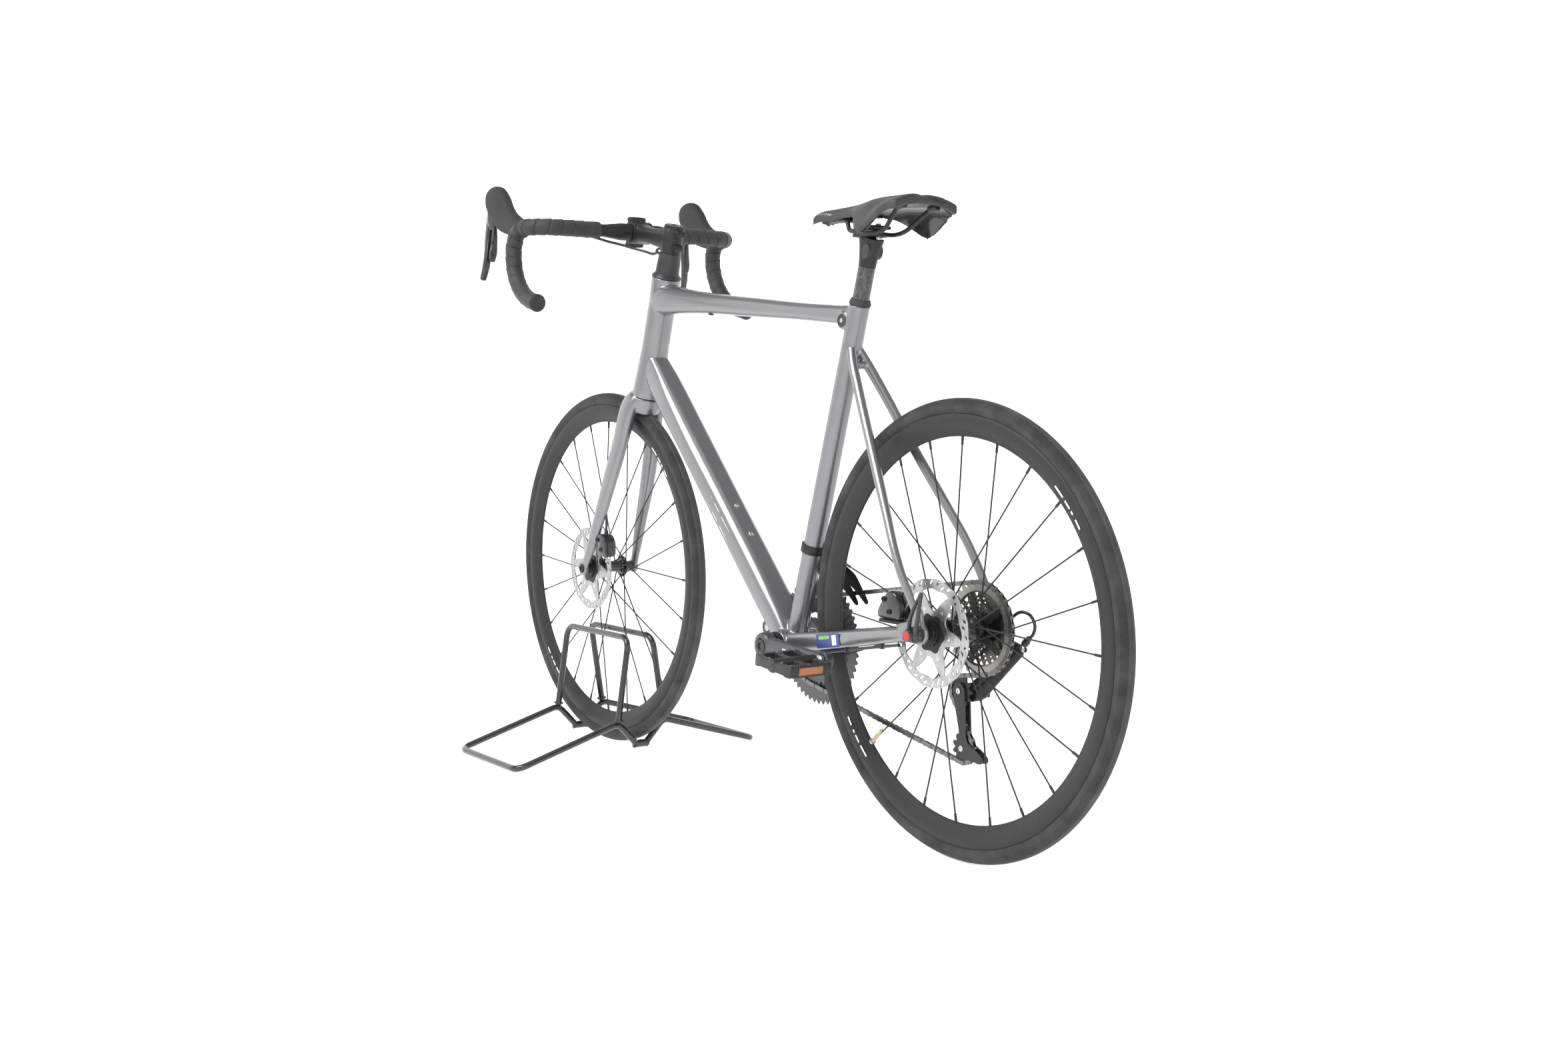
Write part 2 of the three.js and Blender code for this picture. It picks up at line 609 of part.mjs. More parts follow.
function tape() {
  const ring = new THREE.Shape(polygon(TAPE_RADIUS, BAR_SIDES));
  ring.holes.push(new THREE.Path(polygon(around(BAR_RADIUS, BAR_SIDES), BAR_SIDES)));
  return alongStations(ring, tapedStations);
}

const leftTape = tape();
piece(bicycle, "bar_tape_left", leftTape, DARK_RUBBER);
piece(bicycle, "bar_tape_right", mirrored(leftTape), DARK_RUBBER);

function hood() {
  const at = (x, z) => fromBar(x, barHalf - 0.5, z);
  const body = limb([
    station(at(60, -2), 35, 40, 2.2), station(at(93, 9), 34, 46, 2.2),
    station(at(128, 27), 35, 62, 2.3), station(at(156, 53), 37, 66, 2.4),
    station(at(178, 55), 35, 46, 2.4), station(at(189, 54), 24, 20, 2.2)], 10, 1);
  return largest(cut(body, barRod(tapedStations, around(TAPE_RADIUS, BAR_SIDES)), leverSlot()));
}

// Room in the hood for the root of the brake lever.
const LEVER_HALF_WIDTH = 7;
const leverPivot = fromBar(180, barHalf - 0.5, 34);
function leverSlot() {
  const half = LEVER_HALF_WIDTH + 1;
  return block(
    vec(leverPivot.x - 20, leverPivot.y - half, leverPivot.z - 60),
    vec(leverPivot.x + 40, leverPivot.y + half, leverPivot.z + 9.4));
}

const leftHood = hood();
piece(bicycle, "lever_hood_left", leftHood, DARK_RUBBER);
piece(bicycle, "lever_hood_right", mirrored(leftHood), DARK_RUBBER);

// The brake lever hangs from a pin across the hood and sweeps down and outward.
function brakeLever() {
  const from = (x, y, z) => leverPivot.clone().add(vec(x, y, z));
  const blade = limb([
    station(from(2, 0, 3), 12, 16, 2.4), station(from(8, 1.5, -25), 11, 15, 2.4),
    station(from(9, 4, -60), 11, 12, 2.4), station(from(12, 7, -95), 12, 10, 2.4),
    station(from(20, 9.5, -121), 12, 8, 2.4)], 8, 1);
  const boss = cylinder(from(0, -6, 0), from(0, 6, 0), 8, 12);
  return join(blade, boss);
}

function shiftPaddle() {
  const from = (x, y, z) => leverPivot.clone().add(vec(x, y, z));
  return limb([
    station(from(-8, -0.5, -17), 8, 9, 2.4), station(from(-7, -1, -45), 9, 9, 2.4),
    station(from(-5, 1, -75), 12, 7, 2.4), station(from(-2, 2, -88), 9, 5, 2.4)], 8, 1);
}

const leftLever = brakeLever();
const leftPaddle = shiftPaddle();
piece(bicycle, "brake_lever_left", leftLever, GLOSS_BLACK);
piece(bicycle, "brake_lever_right", mirrored(leftLever), GLOSS_BLACK);
piece(bicycle, "shift_paddle_left", leftPaddle, GLOSS_BLACK);
piece(bicycle, "shift_paddle_right", mirrored(leftPaddle), GLOSS_BLACK);

// Hoses: from the tape, under the bar and the stem, to the top of the headset cover.
const HOSE_RADIUS = 2.5;
function controlHose() {
  const cover = onSteerer(coverTop - 4);
  return smoothRod([
    fromBar(-3, TAPE_START - 4, -16), fromBar(-6, 70, -20), fromBar(-12, 45, -25),
    fromBar(-22, 26, -31), fromBar(-42, 14, -37), fromBar(-64, 9, -43),
    vec(cover.x + 22.5, 8, cover.z + 4)], HOSE_RADIUS, 12, 6);
}

const leftHose = controlHose();
piece(bicycle, "control_hose_left", leftHose, BLACK_PLASTIC);
piece(bicycle, "control_hose_right", mirrored(leftHose), BLACK_PLASTIC);

function frontCaliperHose() {
  const top = vec(FRONT_CALIPER.low.x + 15, 42, FRONT_CALIPER.high.z + GAP);
  return smoothRod([
    top, top.clone().add(vec(0, 0, 12)), top.clone().add(vec(-1, 0, 28)),
    top.clone().add(vec(1, 0, 44))], HOSE_RADIUS, 5, 6);
}

piece(bicycle, "front_caliper_hose",
  largest(cut(frontCaliperHose(), forkLeg(2 * GAP))), BLACK_PLASTIC);

// ---------------------------------------------------------------- frame
function headTube() {
  const length = HEAD_TUBE_LENGTH;
  return turnedSolid([[0, 0], [29.5, 0], [29.3, 14], [27, 52], [25.2, 100], [25.2, length - 40],
    [26.5, length], [0, length]], onSteerer(CROWN_HEIGHT), steerUp, 16);
}

function topTube() {
  const start = onSteerer(TOP_TUBE_RISE - 6);
  const end = onSeatTube(SEAT_TUBE_LENGTH - 18);
  const along = (share, drop) => start.clone().lerp(end, share).add(vec(0, 0, -drop));
  return limb([
    station(along(0, 1), 40, 50, 3), station(along(0.08, 1), 44, 44, 3),
    station(along(0.2, -2), 40, 34, 3), station(along(0.5, -1), 38, 30, 3),
    station(along(0.85, 0), 34, 27, 2.8), station(end, 28, 28, 2.5)], 12, 1);
}

function downTube() {
  const start = onSteerer(DOWN_TUBE_RISE);
  const full = (share, width = DOWN_TUBE_WIDTH, depth = DOWN_TUBE_DEPTH) =>
    station(start.clone().lerp(bbCentre, share), width, depth, 3.4);
  return limb([
    full(0.01, 44, 50), full(0.1, 52, 54), full(0.22), full(0.6),
    full(0.93, DOWN_TUBE_WIDTH, DOWN_TUBE_DEPTH - 4), full(0.99, 52, 36)], 12, 1);
}

function seatTube() {
  const top = SEAT_TUBE_LENGTH;
  return turnedSolid([[0, 4], [SEAT_TUBE_RADIUS, 4], [SEAT_TUBE_RADIUS, top - 120],
    [SEAT_TUBE_RADIUS - 0.8, top], [0, top]], bbCentre, seatUp, 16);
}

const dropoutInner = REAR_HUB_WIDTH / 2 + GAP;
const stayY = dropoutInner + DROPOUT_THICKNESS / 2;

function seatStay(grow = 0) {
  const top = onSeatTube(SEAT_TUBE_LENGTH - 84).add(vec(-12, 0, 0));
  const foot = rearAxle.clone().add(vec(8, 0, 24));
  const at = (share, y, width, depth) =>
    station(top.clone().lerp(foot, share).setY(y), width + grow, depth + grow);
  return limb([
    at(0, 11, 15, 20), at(0.14, 22, 14, 19), at(0.36, 42, 14, 18), at(0.62, 64, 14, 18),
    at(0.8, stayY + 1, 14, 18), at(0.97, stayY, 9, 17)], 8, 1);
}

function chainStay(grow = 0) {
  const foot = rearAxle.clone().add(vec(16, 0, -1));
  const at = (share, y, width, depth) =>
    station(bbCentre.clone().lerp(foot, share).setY(y), width + grow, depth + grow, 3);
  return limb([
    at(0.01, 22, 26, 36), at(0.18, 27.5, 17, 34), at(0.33, 38, 15, 32), at(0.6, 54.5, 15, 28),
    at(0.85, 68.5, 14, 25), at(0.99, stayY, 8, 23)], 8, 1);
}

function dropout(isDriveSide) {
  const at = (x, z) => [rearAxle.x + x, rearAxle.z + z];
  const shape = outline([
    at(46, 10), at(46, -11), at(6, -15), at(-11, -12), at(-17, -3), at(-15, 8), at(-4, 17),
    at(4, 36), at(20, 36)]);
  const body = plate(shape, dropoutInner, dropoutInner + DROPOUT_THICKNESS);
  if (!isDriveSide) return body;
  const hanger = plate(outline([at(6, -10), at(2, -26), at(-5, -34), at(-14, -32), at(-15, -20),
    at(-12, -6)]), dropoutInner, dropoutInner + DROPOUT_THICKNESS);
  return mirrored(join(body, hanger));
}

function bottomBracketShell() {
  const half = BB_SHELL_WIDTH / 2;
  return cylinder(bbCentre.clone().setY(-half), bbCentre.clone().setY(half), BB_SHELL_RADIUS, 20);
}

const BB_CUP_RADIUS = 19;
function frameSolid() {
  const bridge = onSeatTube(SEAT_TUBE_LENGTH - 98).add(vec(-30, 0, 0));
  const tubes = join(headTube(), downTube(), topTube(), seatTube(), bottomBracketShell(),
    bothSides(seatStay()), bothSides(chainStay()), dropout(false), dropout(true),
    cylinder(bridge.clone().setY(-16), bridge.clone().setY(16), 6, 12));
  const stay = block(vec(rearAxle.x - 60, -dropoutInner, rearAxle.z - 60),
    vec(rearAxle.x + 84, dropoutInner, rearAxle.z + 60));
  const steererBore = cylinder(onSteerer(CROWN_HEIGHT - 20), onSteerer(headTop + 20),
    STEERER_RADIUS + 2, 16);
  const postBore = cylinder(onSeatTube(SEAT_TUBE_LENGTH - SEATPOST_INSERTION - 100),
    onSeatTube(SEAT_TUBE_LENGTH + 20), SEATPOST_RADIUS + RUNNING, 16);
  const half = BB_SHELL_WIDTH / 2 + 30;
  const bbBore = cylinder(bbCentre.clone().setY(-half), bbCentre.clone().setY(half),
    BB_CUP_RADIUS + GAP, 20);
  const end = REAR_HUB_WIDTH;
  const axleBore = cylinder(rearAxle.clone().setY(-end), rearAxle.clone().setY(end),
    AXLE_RADIUS + RUNNING, 12);
  const tyreRoom = turnedSolid([[0, -19], [WHEEL_RADIUS - 8, -19], [WHEEL_RADIUS + 6, -10],
    [WHEEL_RADIUS + 6, 10], [WHEEL_RADIUS - 8, 19], [0, 19]], rearAxle, vec(0, 1, 0), 36);
  return cut(tubes, steererBore, postBore, bbBore, axleBore, tyreRoom, stay);
}

const frame = frameSolid();
piece(bicycle, "frame", frame, SILVER_PAINT);

function bottomBracket() {
  const half = BB_SHELL_WIDTH / 2;
  const lip = half + GAP;
  const bore = BB_SPINDLE_RADIUS + RUNNING;
  const profile = [[bore, -lip - 7], [21, -lip - 7], [21, -lip], [BB_CUP_RADIUS, -lip],
    [BB_CUP_RADIUS, lip], [21, lip], [21, lip + 7], [bore, lip + 7]];
  return turnedSolid(profile.concat([profile[0]]), bbCentre, vec(0, 1, 0), 20);
}

piece(bicycle, "bottom_bracket", bottomBracket(), BLACK_METAL);

function seatCollar() {
  const inner = SEATPOST_RADIUS + RUNNING;
  const base = SEAT_TUBE_LENGTH + GAP;
  const lip = SEAT_TUBE_RADIUS + 0.2;
  const profile = [[inner, 0], [lip, 0], [lip, 2], [inner + 1.75, 7], [inner, 8]];
  return turnedSolid(profile.concat([profile[0]]), onSeatTube(base), seatUp, 16);
}

piece(bicycle, "seat_collar", seatCollar(), DARK_RUBBER);

// Through axle with a two-pronged lever on the left.
const REAR_AXLE_HEAD = dropoutInner + DROPOUT_THICKNESS + GAP;
function rearAxleSolid() {
  const half = dropoutInner + DROPOUT_THICKNESS;
  const rod = turnedSolid([[0, -half - 1], [AXLE_RADIUS, -half - 1], [AXLE_RADIUS, REAR_AXLE_HEAD],
    [12, REAR_AXLE_HEAD], [12, REAR_AXLE_HEAD + 9], [8.5, REAR_AXLE_HEAD + 22],
    [0, REAR_AXLE_HEAD + 22]], rearAxle, vec(0, 1, 0), 12);
  const y = REAR_AXLE_HEAD + 13;
  const at = (x, z) => rearAxle.clone().add(vec(x, 0, z));
  const prong = (side) => limb([
    station(at(side * 6, -4).setY(y), 9, 5, 3), station(at(side * 8 - 4, 22).setY(y - 1), 8, 5, 3),
    station(at(side * 3 - 12, 50).setY(y - 3), 7, 5, 3),
    station(at(-16, 62).setY(y - 4), 7, 6, 3)], 8, 1);
  return join(rod, prong(-1), prong(1));
}

piece(bicycle, "rear_axle", rearAxleSolid(), BLACK_METAL);

const REAR_CALIPER = {
  low: rearAxle.clone().add(vec(57.6, 38, 10)),
  high: rearAxle.clone().add(vec(113.6, 66, 54)),
};
function rearCaliper() {
  const low = REAR_CALIPER.low;
  const high = REAR_CALIPER.high;
  const slotted = caliper(low, high, rearAxle.clone().setY(REAR_ROTOR_Y));
  const foot = block(vec(low.x + 8, low.y + 18, low.z - 10), vec(high.x - 1, high.y + 1, low.z + 1));
  return largest(cut(join(slotted, foot), chainStay(2 * GAP), seatStay(2 * GAP)));
}

piece(bicycle, "rear_caliper", rearCaliper(), GLOSS_BLACK);

// ---------------------------------------------------------------- saddle and seatpost
const postHead = onSeatTube(SEAT_TUBE_LENGTH + POST_EXTENSION);
function seatpost() {
  const foot = onSeatTube(SEAT_TUBE_LENGTH - SEATPOST_INSERTION);
  const shaft = cylinder(foot, onSeatTube(SEAT_TUBE_LENGTH + POST_EXTENSION - 14), SEATPOST_RADIUS, 16);
  const neck = onSeatTube(SEAT_TUBE_LENGTH + POST_EXTENSION - 44);
  const top = postHead.clone().add(vec(2, 0, -5));
  const head = limb([
    station(neck, 27, 27, 2), station(neck.clone().lerp(top, 0.6), 26, 32, 2.4),
    station(top, 28, 44, 3)], 12, 2);
  return join(shaft, head);
}

piece(bicycle, "seatpost", seatpost(), BLACK_METAL);

const RAIL_RADIUS = 3.5;
const RAIL_HALF_GAUGE = 22;
const railLevel = postHead.z + 15;
const CLAMP_LENGTH = 42;
function saddleClamp() {
  const web = RAIL_HALF_GAUGE - RAIL_RADIUS - 1.5;
  const wing = RAIL_HALF_GAUGE + RAIL_RADIUS;
  const below = RAIL_RADIUS + 0.6;
  const shape = new THREE.Shape([
    [-wing, -below - 5], [wing, -below - 5], [wing, -below], [web, -below], [web, below],
    [wing, below], [wing, below + 3], [-wing, below + 3], [-wing, below], [-web, below],
    [-web, -below], [-wing, -below]].map(([y, z]) => new THREE.Vector2(y, z)));
  const geometry = new THREE.ExtrudeGeometry(shape, { depth: CLAMP_LENGTH, bevelEnabled: false })
    .rotateX(Math.PI / 2).rotateZ(Math.PI / 2)
    .translate(postHead.x - CLAMP_LENGTH / 2, 0, railLevel);
  return cut(solidOf(geometry), seatpost());
}

piece(bicycle, "saddle_clamp", saddleClamp(), BLACK_METAL);

// Both rails are one wire, bent round at the nose.
const noseX = postHead.x + 141;
const railX = (share) => noseX - SADDLE_LENGTH * share;
function saddleRails() {
  const left = [
    vec(railX(0.9), 38, railLevel + 10), vec(railX(0.82), 34, railLevel + 8),
    vec(railX(0.72), 25, railLevel), vec(railX(0.62), RAIL_HALF_GAUGE, railLevel),
    vec(railX(0.42), RAIL_HALF_GAUGE, railLevel), vec(railX(0.36), 19, railLevel + 2),
    vec(railX(0.27), 12, railLevel + 6), vec(railX(0.2), 8, railLevel + 9.5)];
  return smoothRod([...left, ...acrossPlane(left).reverse()], RAIL_RADIUS, 30, 6);
}

piece(bicycle, "saddle_rails", saddleRails(), BLACK_METAL);

// A sheet that follows the saddle: across is -1 to 1 over its width, along is 0 at the nose.
function saddleSheet(rise, thickness, inset, from, to, steps) {
  const geometry = new THREE.BoxGeometry(1, 1, 1, steps, 6, 1);
  const position = geometry.getAttribute("position");
  const half = SADDLE_WIDTH / 2;
  for (let i = 0; i < position.count; i++) {
    const along = THREE.MathUtils.lerp(to, from, position.getX(i) + 0.5);
    const across = 2 * position.getY(i);
    const spread = THREE.MathUtils.smootherstep(along, 0.32, 0.8);
    const round = Math.sqrt(Math.min(1, along / 0.06 + 0.2));
    const tail = Math.sqrt(Math.max(0, 1 - Math.max(0, (along - 0.86) / 0.2) ** 2));
    const width = (20 + (half - 20) * spread) * round * (0.6 + 0.4 * tail) - inset;
    const droop = THREE.MathUtils.lerp(12, 44, spread) * (0.35 + 0.65 * tail);
    const crown = 32 + 12.5 * THREE.MathUtils.smoothstep(along, 0.25, 0.95);
    const top = railLevel + crown + rise - droop * Math.abs(across) ** 2.2;
    const wall = thickness * (1 - 0.25 * Math.abs(across));
    const z = position.getZ(i) > 0 ? top : top - wall;
    position.setXYZ(i, noseX - SADDLE_LENGTH * along, width * across, z);
  }
  return solidOf(geometry);
}

const PAD_THICKNESS = 8;
const pad = saddleSheet(0, PAD_THICKNESS, 0, 0, 1, 11);
piece(bicycle, "saddle_pad", pad, DARK_RUBBER);
const shell = saddleSheet(-PAD_THICKNESS - 0.6, 2.4, 3, 0.06, 0.94, 11);
piece(bicycle, "saddle_shell", shell, BLACK_PLASTIC);

// ---------------------------------------------------------------- crankset and pedals
const crankset = new THREE.Group();
crankset.position.copy(bbCentre);
bicycle.add(crankset);
const ARM_INNER = 50;
const RING_INNER_RADIUS = 48;

// Arm along +X from the spindle, on the left side of the bicycle.
function armBlank() {
  const y = (share) => THREE.MathUtils.lerp(ARM_INNER + 11, Q_HALF - 6.5, share);
  const arm = limb([
    station(vec(2, y(0), 0), 18, 38, 3), station(vec(CRANK_LENGTH * 0.3, y(0.35), 0), 16, 36, 3),
    station(vec(CRANK_LENGTH * 0.7, y(0.8), 0), 14, 29, 3),
    station(vec(CRANK_LENGTH, y(1), 0), 13, 26, 3)], 10, 1);
  const end = Q_HALF;
  return join(arm,
    cylinder(vec(0, ARM_INNER, 0), vec(0, end - 4, 0), 21, 20),
    cylinder(vec(CRANK_LENGTH, end - 13, 0), vec(CRANK_LENGTH, end, 0), 14, 16));
}

const pedalHole = cylinder(vec(CRANK_LENGTH, 40, 0), vec(CRANK_LENGTH, 100, 0), 6.5 + GAP, 16);

function leftArm() {
  const socket = cylinder(vec(0, 0, 0), vec(0, Q_HALF - 9, 0), BB_SPINDLE_RADIUS + GAP, 20);
  return cut(armBlank(), socket, pedalHole);
}

// The right arm carries the spindle and the four-armed spider.
function rightArm() {
  const spindle = cylinder(
    vec(0, ARM_INNER + 5, 0), vec(0, -Q_HALF + 9 + 2 * GAP, 0), BB_SPINDLE_RADIUS, 20);
  const spiderInner = -LARGE_RING_Y + 1 + GAP;
  const polar = (radius, angle) => [radius * Math.cos(angle), radius * Math.sin(angle)];
  const armAngle = (i) => Math.PI / 4 + 0.12 + (i * Math.PI) / 2;
  const star = [0, 1, 2, 3].flatMap((i) => [
    polar(26, armAngle(i) - 0.6), polar(58, armAngle(i) - 0.14), polar(58, armAngle(i) + 0.14)]);
  const carriers = [0, 1, 2, 3].map((i) => {
    const [x, z] = polar(RING_INNER_RADIUS - 6, armAngle(i));
    return cylinder(vec(x, -SMALL_RING_Y - 2, z), vec(x, spiderInner + 2, z), 5, 6);
  });
  const spider = [plate(outline(star), spiderInner, spiderInner + 5), ...carriers];
  return cut(join(armBlank(), spindle, ...spider), pedalHole);
}

const toRear = (solid) => solid.rotate([0, 180, 0]);
piece(crankset, "crank_arm_left", toRear(leftArm()), DARK_ALLOY);
piece(crankset, "crank_arm_right", mirrored(rightArm()), DARK_ALLOY);

function toothedRing(teeth, tipRadius, innerRadius, halfThickness) {
  const points = [];
  for (let i = 0; i < teeth; i++) {
    for (const [share, radius] of [[0, tipRadius], [0.5, tipRadius - 5]]) {
      const angle = (2 * Math.PI * (i + share)) / teeth;
      points.push(new THREE.Vector2(radius * Math.cos(angle), radius * Math.sin(angle)));
    }
  }
  const shape = new THREE.Shape(points);
  shape.holes.push(disc(0, 0, innerRadius, 24));
  return plate(shape, -halfThickness, halfThickness);
}

piece(crankset, "chainring_large", toothedRing(LARGE_RING_TEETH,
  pitchRadius(LARGE_RING_TEETH) + TOOTH_REACH, RING_INNER_RADIUS, 1), DARK_ALLOY,
vec(0, LARGE_RING_Y, 0));

// The teeth under the chain are left off this ring, the largest cog and the pulleys.
function plainRing(outer, inner, halfThickness, sides = 32) {
  const profile = [[inner, -halfThickness], [outer, -halfThickness], [outer, halfThickness],
    [inner, halfThickness]];
  return turnedSolid(profile.concat([profile[0]]), vec(0, 0, 0), vec(0, 1, 0), sides);
}

piece(crankset, "chainring_small", plainRing(rootRadius(SMALL_RING_TEETH), RING_INNER_RADIUS, 1),
  DARK_ALLOY, vec(0, SMALL_RING_Y, 0));

const PEDAL_AXLE_RADIUS = 5;
function pedalAxle() {
  const tip = Q_HALF + 6 + PEDAL_WIDTH;
  return turnedSolid([[0, Q_HALF - 14], [6.5, Q_HALF - 14], [6.5, Q_HALF + GAP], [9, Q_HALF + GAP],
    [9, Q_HALF + 5], [PEDAL_AXLE_RADIUS, Q_HALF + 5], [PEDAL_AXLE_RADIUS, tip], [0, tip]],
  vec(0, 0, 0), vec(0, 1, 0), 12);
}

// Cage platform with two windows each side of the barrel.
function pedalBody() {
  const inner = Q_HALF + 16;
  const outer = inner + PEDAL_WIDTH;
  const half = PEDAL_LENGTH / 2;
  const rail = 9;
  const web = 10;
  const inBody = (x, y) => new THREE.Vector2(x, y);
  const shape = new THREE.Shape([
    inBody(-half, inner + 6), inBody(-half + 8, inner), inBody(half - 8, inner),
    inBody(half, inner + 6), inBody(half, outer - 8), inBody(half - 10, outer),
    inBody(-half + 10, outer), inBody(-half, outer - 8)]);
  const cage = plateFlat(shape, PEDAL_THICKNESS);
  const windows = [-1, 1].map((side) => {
    const near = side * web;
    const far = side * (half - rail);
    return block(
      vec(Math.min(near, far), inner + rail, -PEDAL_THICKNESS),
      vec(Math.max(near, far), outer - rail, PEDAL_THICKNESS));
  });
  const barrel = cylinder(vec(0, inner - 3, 0), vec(0, outer + 1, 0), 11, 16);
  const bore = cylinder(vec(0, 0, 0), vec(0, outer - 2, 0), PEDAL_AXLE_RADIUS + RUNNING, 16);
  return cut(cut(cage, ...windows).add(barrel), bore);
}

for (const [side, sign] of [["left", 1], ["right", -1]]) {
  const foot = new THREE.Group();
  foot.position.set(-sign * CRANK_LENGTH, 0, 0);
  foot.rotation.y = -rad(PEDAL_TILT);
  const onSide = (solid) => (sign > 0 ? solid : mirrored(solid));
  piece(foot, "pedal_axle_" + side, onSide(pedalAxle()), BARE_STEEL);
  piece(foot, "pedal_" + side, onSide(pedalBody()), BLACK_PLASTIC);
  crankset.add(foot);
}

// ---------------------------------------------------------------- cassette, chain, derailleurs
// A stair of cogs, smallest outermost; only the cogs beside the chain keep their teeth's height.
function cassette() {
  const half = 0.9;
  const bore = around(FREEHUB_RADIUS, 12);
  const teeth = [SMALL_COG_TEETH, 12, 13, 14, 16, 18, 20, 23, 26, 30, LARGE_COG_TEETH];
  const profile = [[bore, smallCogY - half]];
  teeth.forEach((count, i) => {
    const isLargest = i === COGS - 1;
    const tip = isLargest ? rootRadius(count) : pitchRadius(count) + TOOTH_REACH;
    const low = smallCogY + i * COG_SPACING - half;
    profile.push([tip, low], [tip, isLargest ? low + 2 * half : low + COG_SPACING]);
  });
  profile.push([bore, LARGE_COG_Y + half]);
  return turnedSolid(profile.concat([profile[0]]), vec(0, 0, 0), vec(0, 1, 0), 12);
}

piece(bicycle, "cassette", cassette(), BARE_STEEL, rearAxle);

const guidePulley = rearAxle.clone().add(vec(38, 0, -98)).setY(CHAIN_Y);
const tensionPulley = rearAxle.clone().add(vec(30, 0, -184)).setY(CHAIN_Y);

// Outline of a belt round circles in the X-Z plane. turn is 1 where the belt runs round the
// outside of the loop and -1 where it is pushed in; offset moves the belt outwards.
function beltOutline(circles, offset, Kind) {
  const radii = circles.map((c) => c.turn * (c.radius + c.turn * offset));
  const tangents = circles.map((from, i) => {
    const to = circles[(i + 1) % circles.length];
    const dx = to.x - from.x;
    const dz = to.z - from.z;
    const distance = Math.hypot(dx, dz);
    const along = (radii[i] - radii[(i + 1) % circles.length]) / distance;
    const across = Math.sqrt(1 - along * along);
    return Math.atan2(along * dz - across * dx, along * dx + across * dz);
  });
  const path = new Kind();
  circles.forEach((circle, i) => {
    const flip = circle.turn < 0 ? Math.PI : 0;
    const arriving = tangents[(i + circles.length - 1) % circles.length] + flip;
    const leaving = tangents[i] + flip;
    path.absarc(circle.x, circle.z, Math.abs(radii[i]), arriving, leaving, circle.turn < 0);
  });
  return path;
}

const chainCircles = [
  { x: bbCentre.x, z: bbCentre.z, radius: pitchRadius(SMALL_RING_TEETH), turn: 1 },
  { x: rearAxle.x, z: rearAxle.z, radius: pitchRadius(LARGE_COG_TEETH), turn: 1 },
  { x: guidePulley.x, z: guidePulley.z, radius: pitchRadius(PULLEY_TEETH), turn: -1 },
  { x: tensionPulley.x, z: tensionPulley.z, radius: pitchRadius(PULLEY_TEETH), turn: 1 },
];

function chain() {
  const shape = beltOutline(chainCircles, CHAIN_HEIGHT / 2, THREE.Shape);
  shape.holes.push(beltOutline(chainCircles, -CHAIN_HEIGHT / 2, THREE.Path));
  return plate(shape, CHAIN_Y - CHAIN_WIDTH / 2, CHAIN_Y + CHAIN_WIDTH / 2, 7);
}

piece(bicycle, "chain", chain(), BARE_STEEL);

const PULLEY_PIN = 2.4;
for (const [name, at] of [["guide_pulley", guidePulley], ["tension_pulley", tensionPulley]]) {
  piece(bicycle, name, plainRing(rootRadius(PULLEY_TEETH), PULLEY_PIN + RUNNING, 1.8, 20),
    BLACK_PLASTIC, at);
}

const CAGE_GAP = CHAIN_WIDTH / 2 + 1;
function derailleurCage() {
  const tip = vec(tensionPulley.x - 44, 0, tensionPulley.z - 14);
  const from = (p, x, z) => [p.x + x, p.z + z];
  const shape = outline([
    from(guidePulley, -13, 6), from(guidePulley, -2, 15), from(guidePulley, 12, 8),
    from(guidePulley, 12, -10), from(tensionPulley, 6, 26), from(tensionPulley, 9, 0),
    from(tensionPulley, 4, -13), from(tip, 0, -4), from(tip, -5, 4), from(tip, 4, 12),
    from(tensionPulley, -10, 12), from(guidePulley, -15, -22)]);
  const outer = plate(shape, CHAIN_Y - CAGE_GAP - 2.5, CHAIN_Y - CAGE_GAP);
  const inner = plate(shape, CHAIN_Y + CAGE_GAP, CHAIN_Y + CAGE_GAP + 2);
  const pin = (p) => cylinder(
    p.clone().setY(CHAIN_Y - CAGE_GAP - 1), p.clone().setY(CHAIN_Y + CAGE_GAP + 1), PULLEY_PIN, 10);
  return join(outer, inner, pin(guidePulley), pin(tensionPulley));
}

piece(bicycle, "derailleur_cage", derailleurCage(), BLACK_PLASTIC);

const hangerBolt = rearAxle.clone().add(vec(-5, 0, -27));
const hangerOuter = dropoutInner + DROPOUT_THICKNESS + GAP;
function rearDerailleur() {
  const knuckle = vec(guidePulley.x - 14, 0, guidePulley.z - 2);
  const mount = cylinder(hangerBolt.clone().setY(-hangerOuter),
    hangerBolt.clone().setY(-hangerOuter - 14), 13, 16);
  const upper = hangerBolt.clone().add(vec(-24, -hangerOuter - 12, -6));
  const lower = vec(knuckle.x - 6, CHAIN_Y - CAGE_GAP - 16, knuckle.z);
  const arm = limb([station(upper, 22, 26, 3), station(upper.clone().lerp(lower, 0.5), 24, 24, 3),
    station(lower, 24, 26, 3)], 8, 1);
  const reach = limb([station(hangerBolt.clone().setY(-hangerOuter - 8), 12, 22, 3),
    station(upper, 16, 22, 3)], 8, 1);
  const pivot = cylinder(vec(knuckle.x, CHAIN_Y - CAGE_GAP - 2.5 - GAP, knuckle.z),
    vec(knuckle.x, CHAIN_Y - CAGE_GAP - 24, knuckle.z), 13, 16);
  return join(mount, reach, arm, pivot);
}

piece(bicycle, "rear_derailleur", rearDerailleur(), BLACK_METAL);

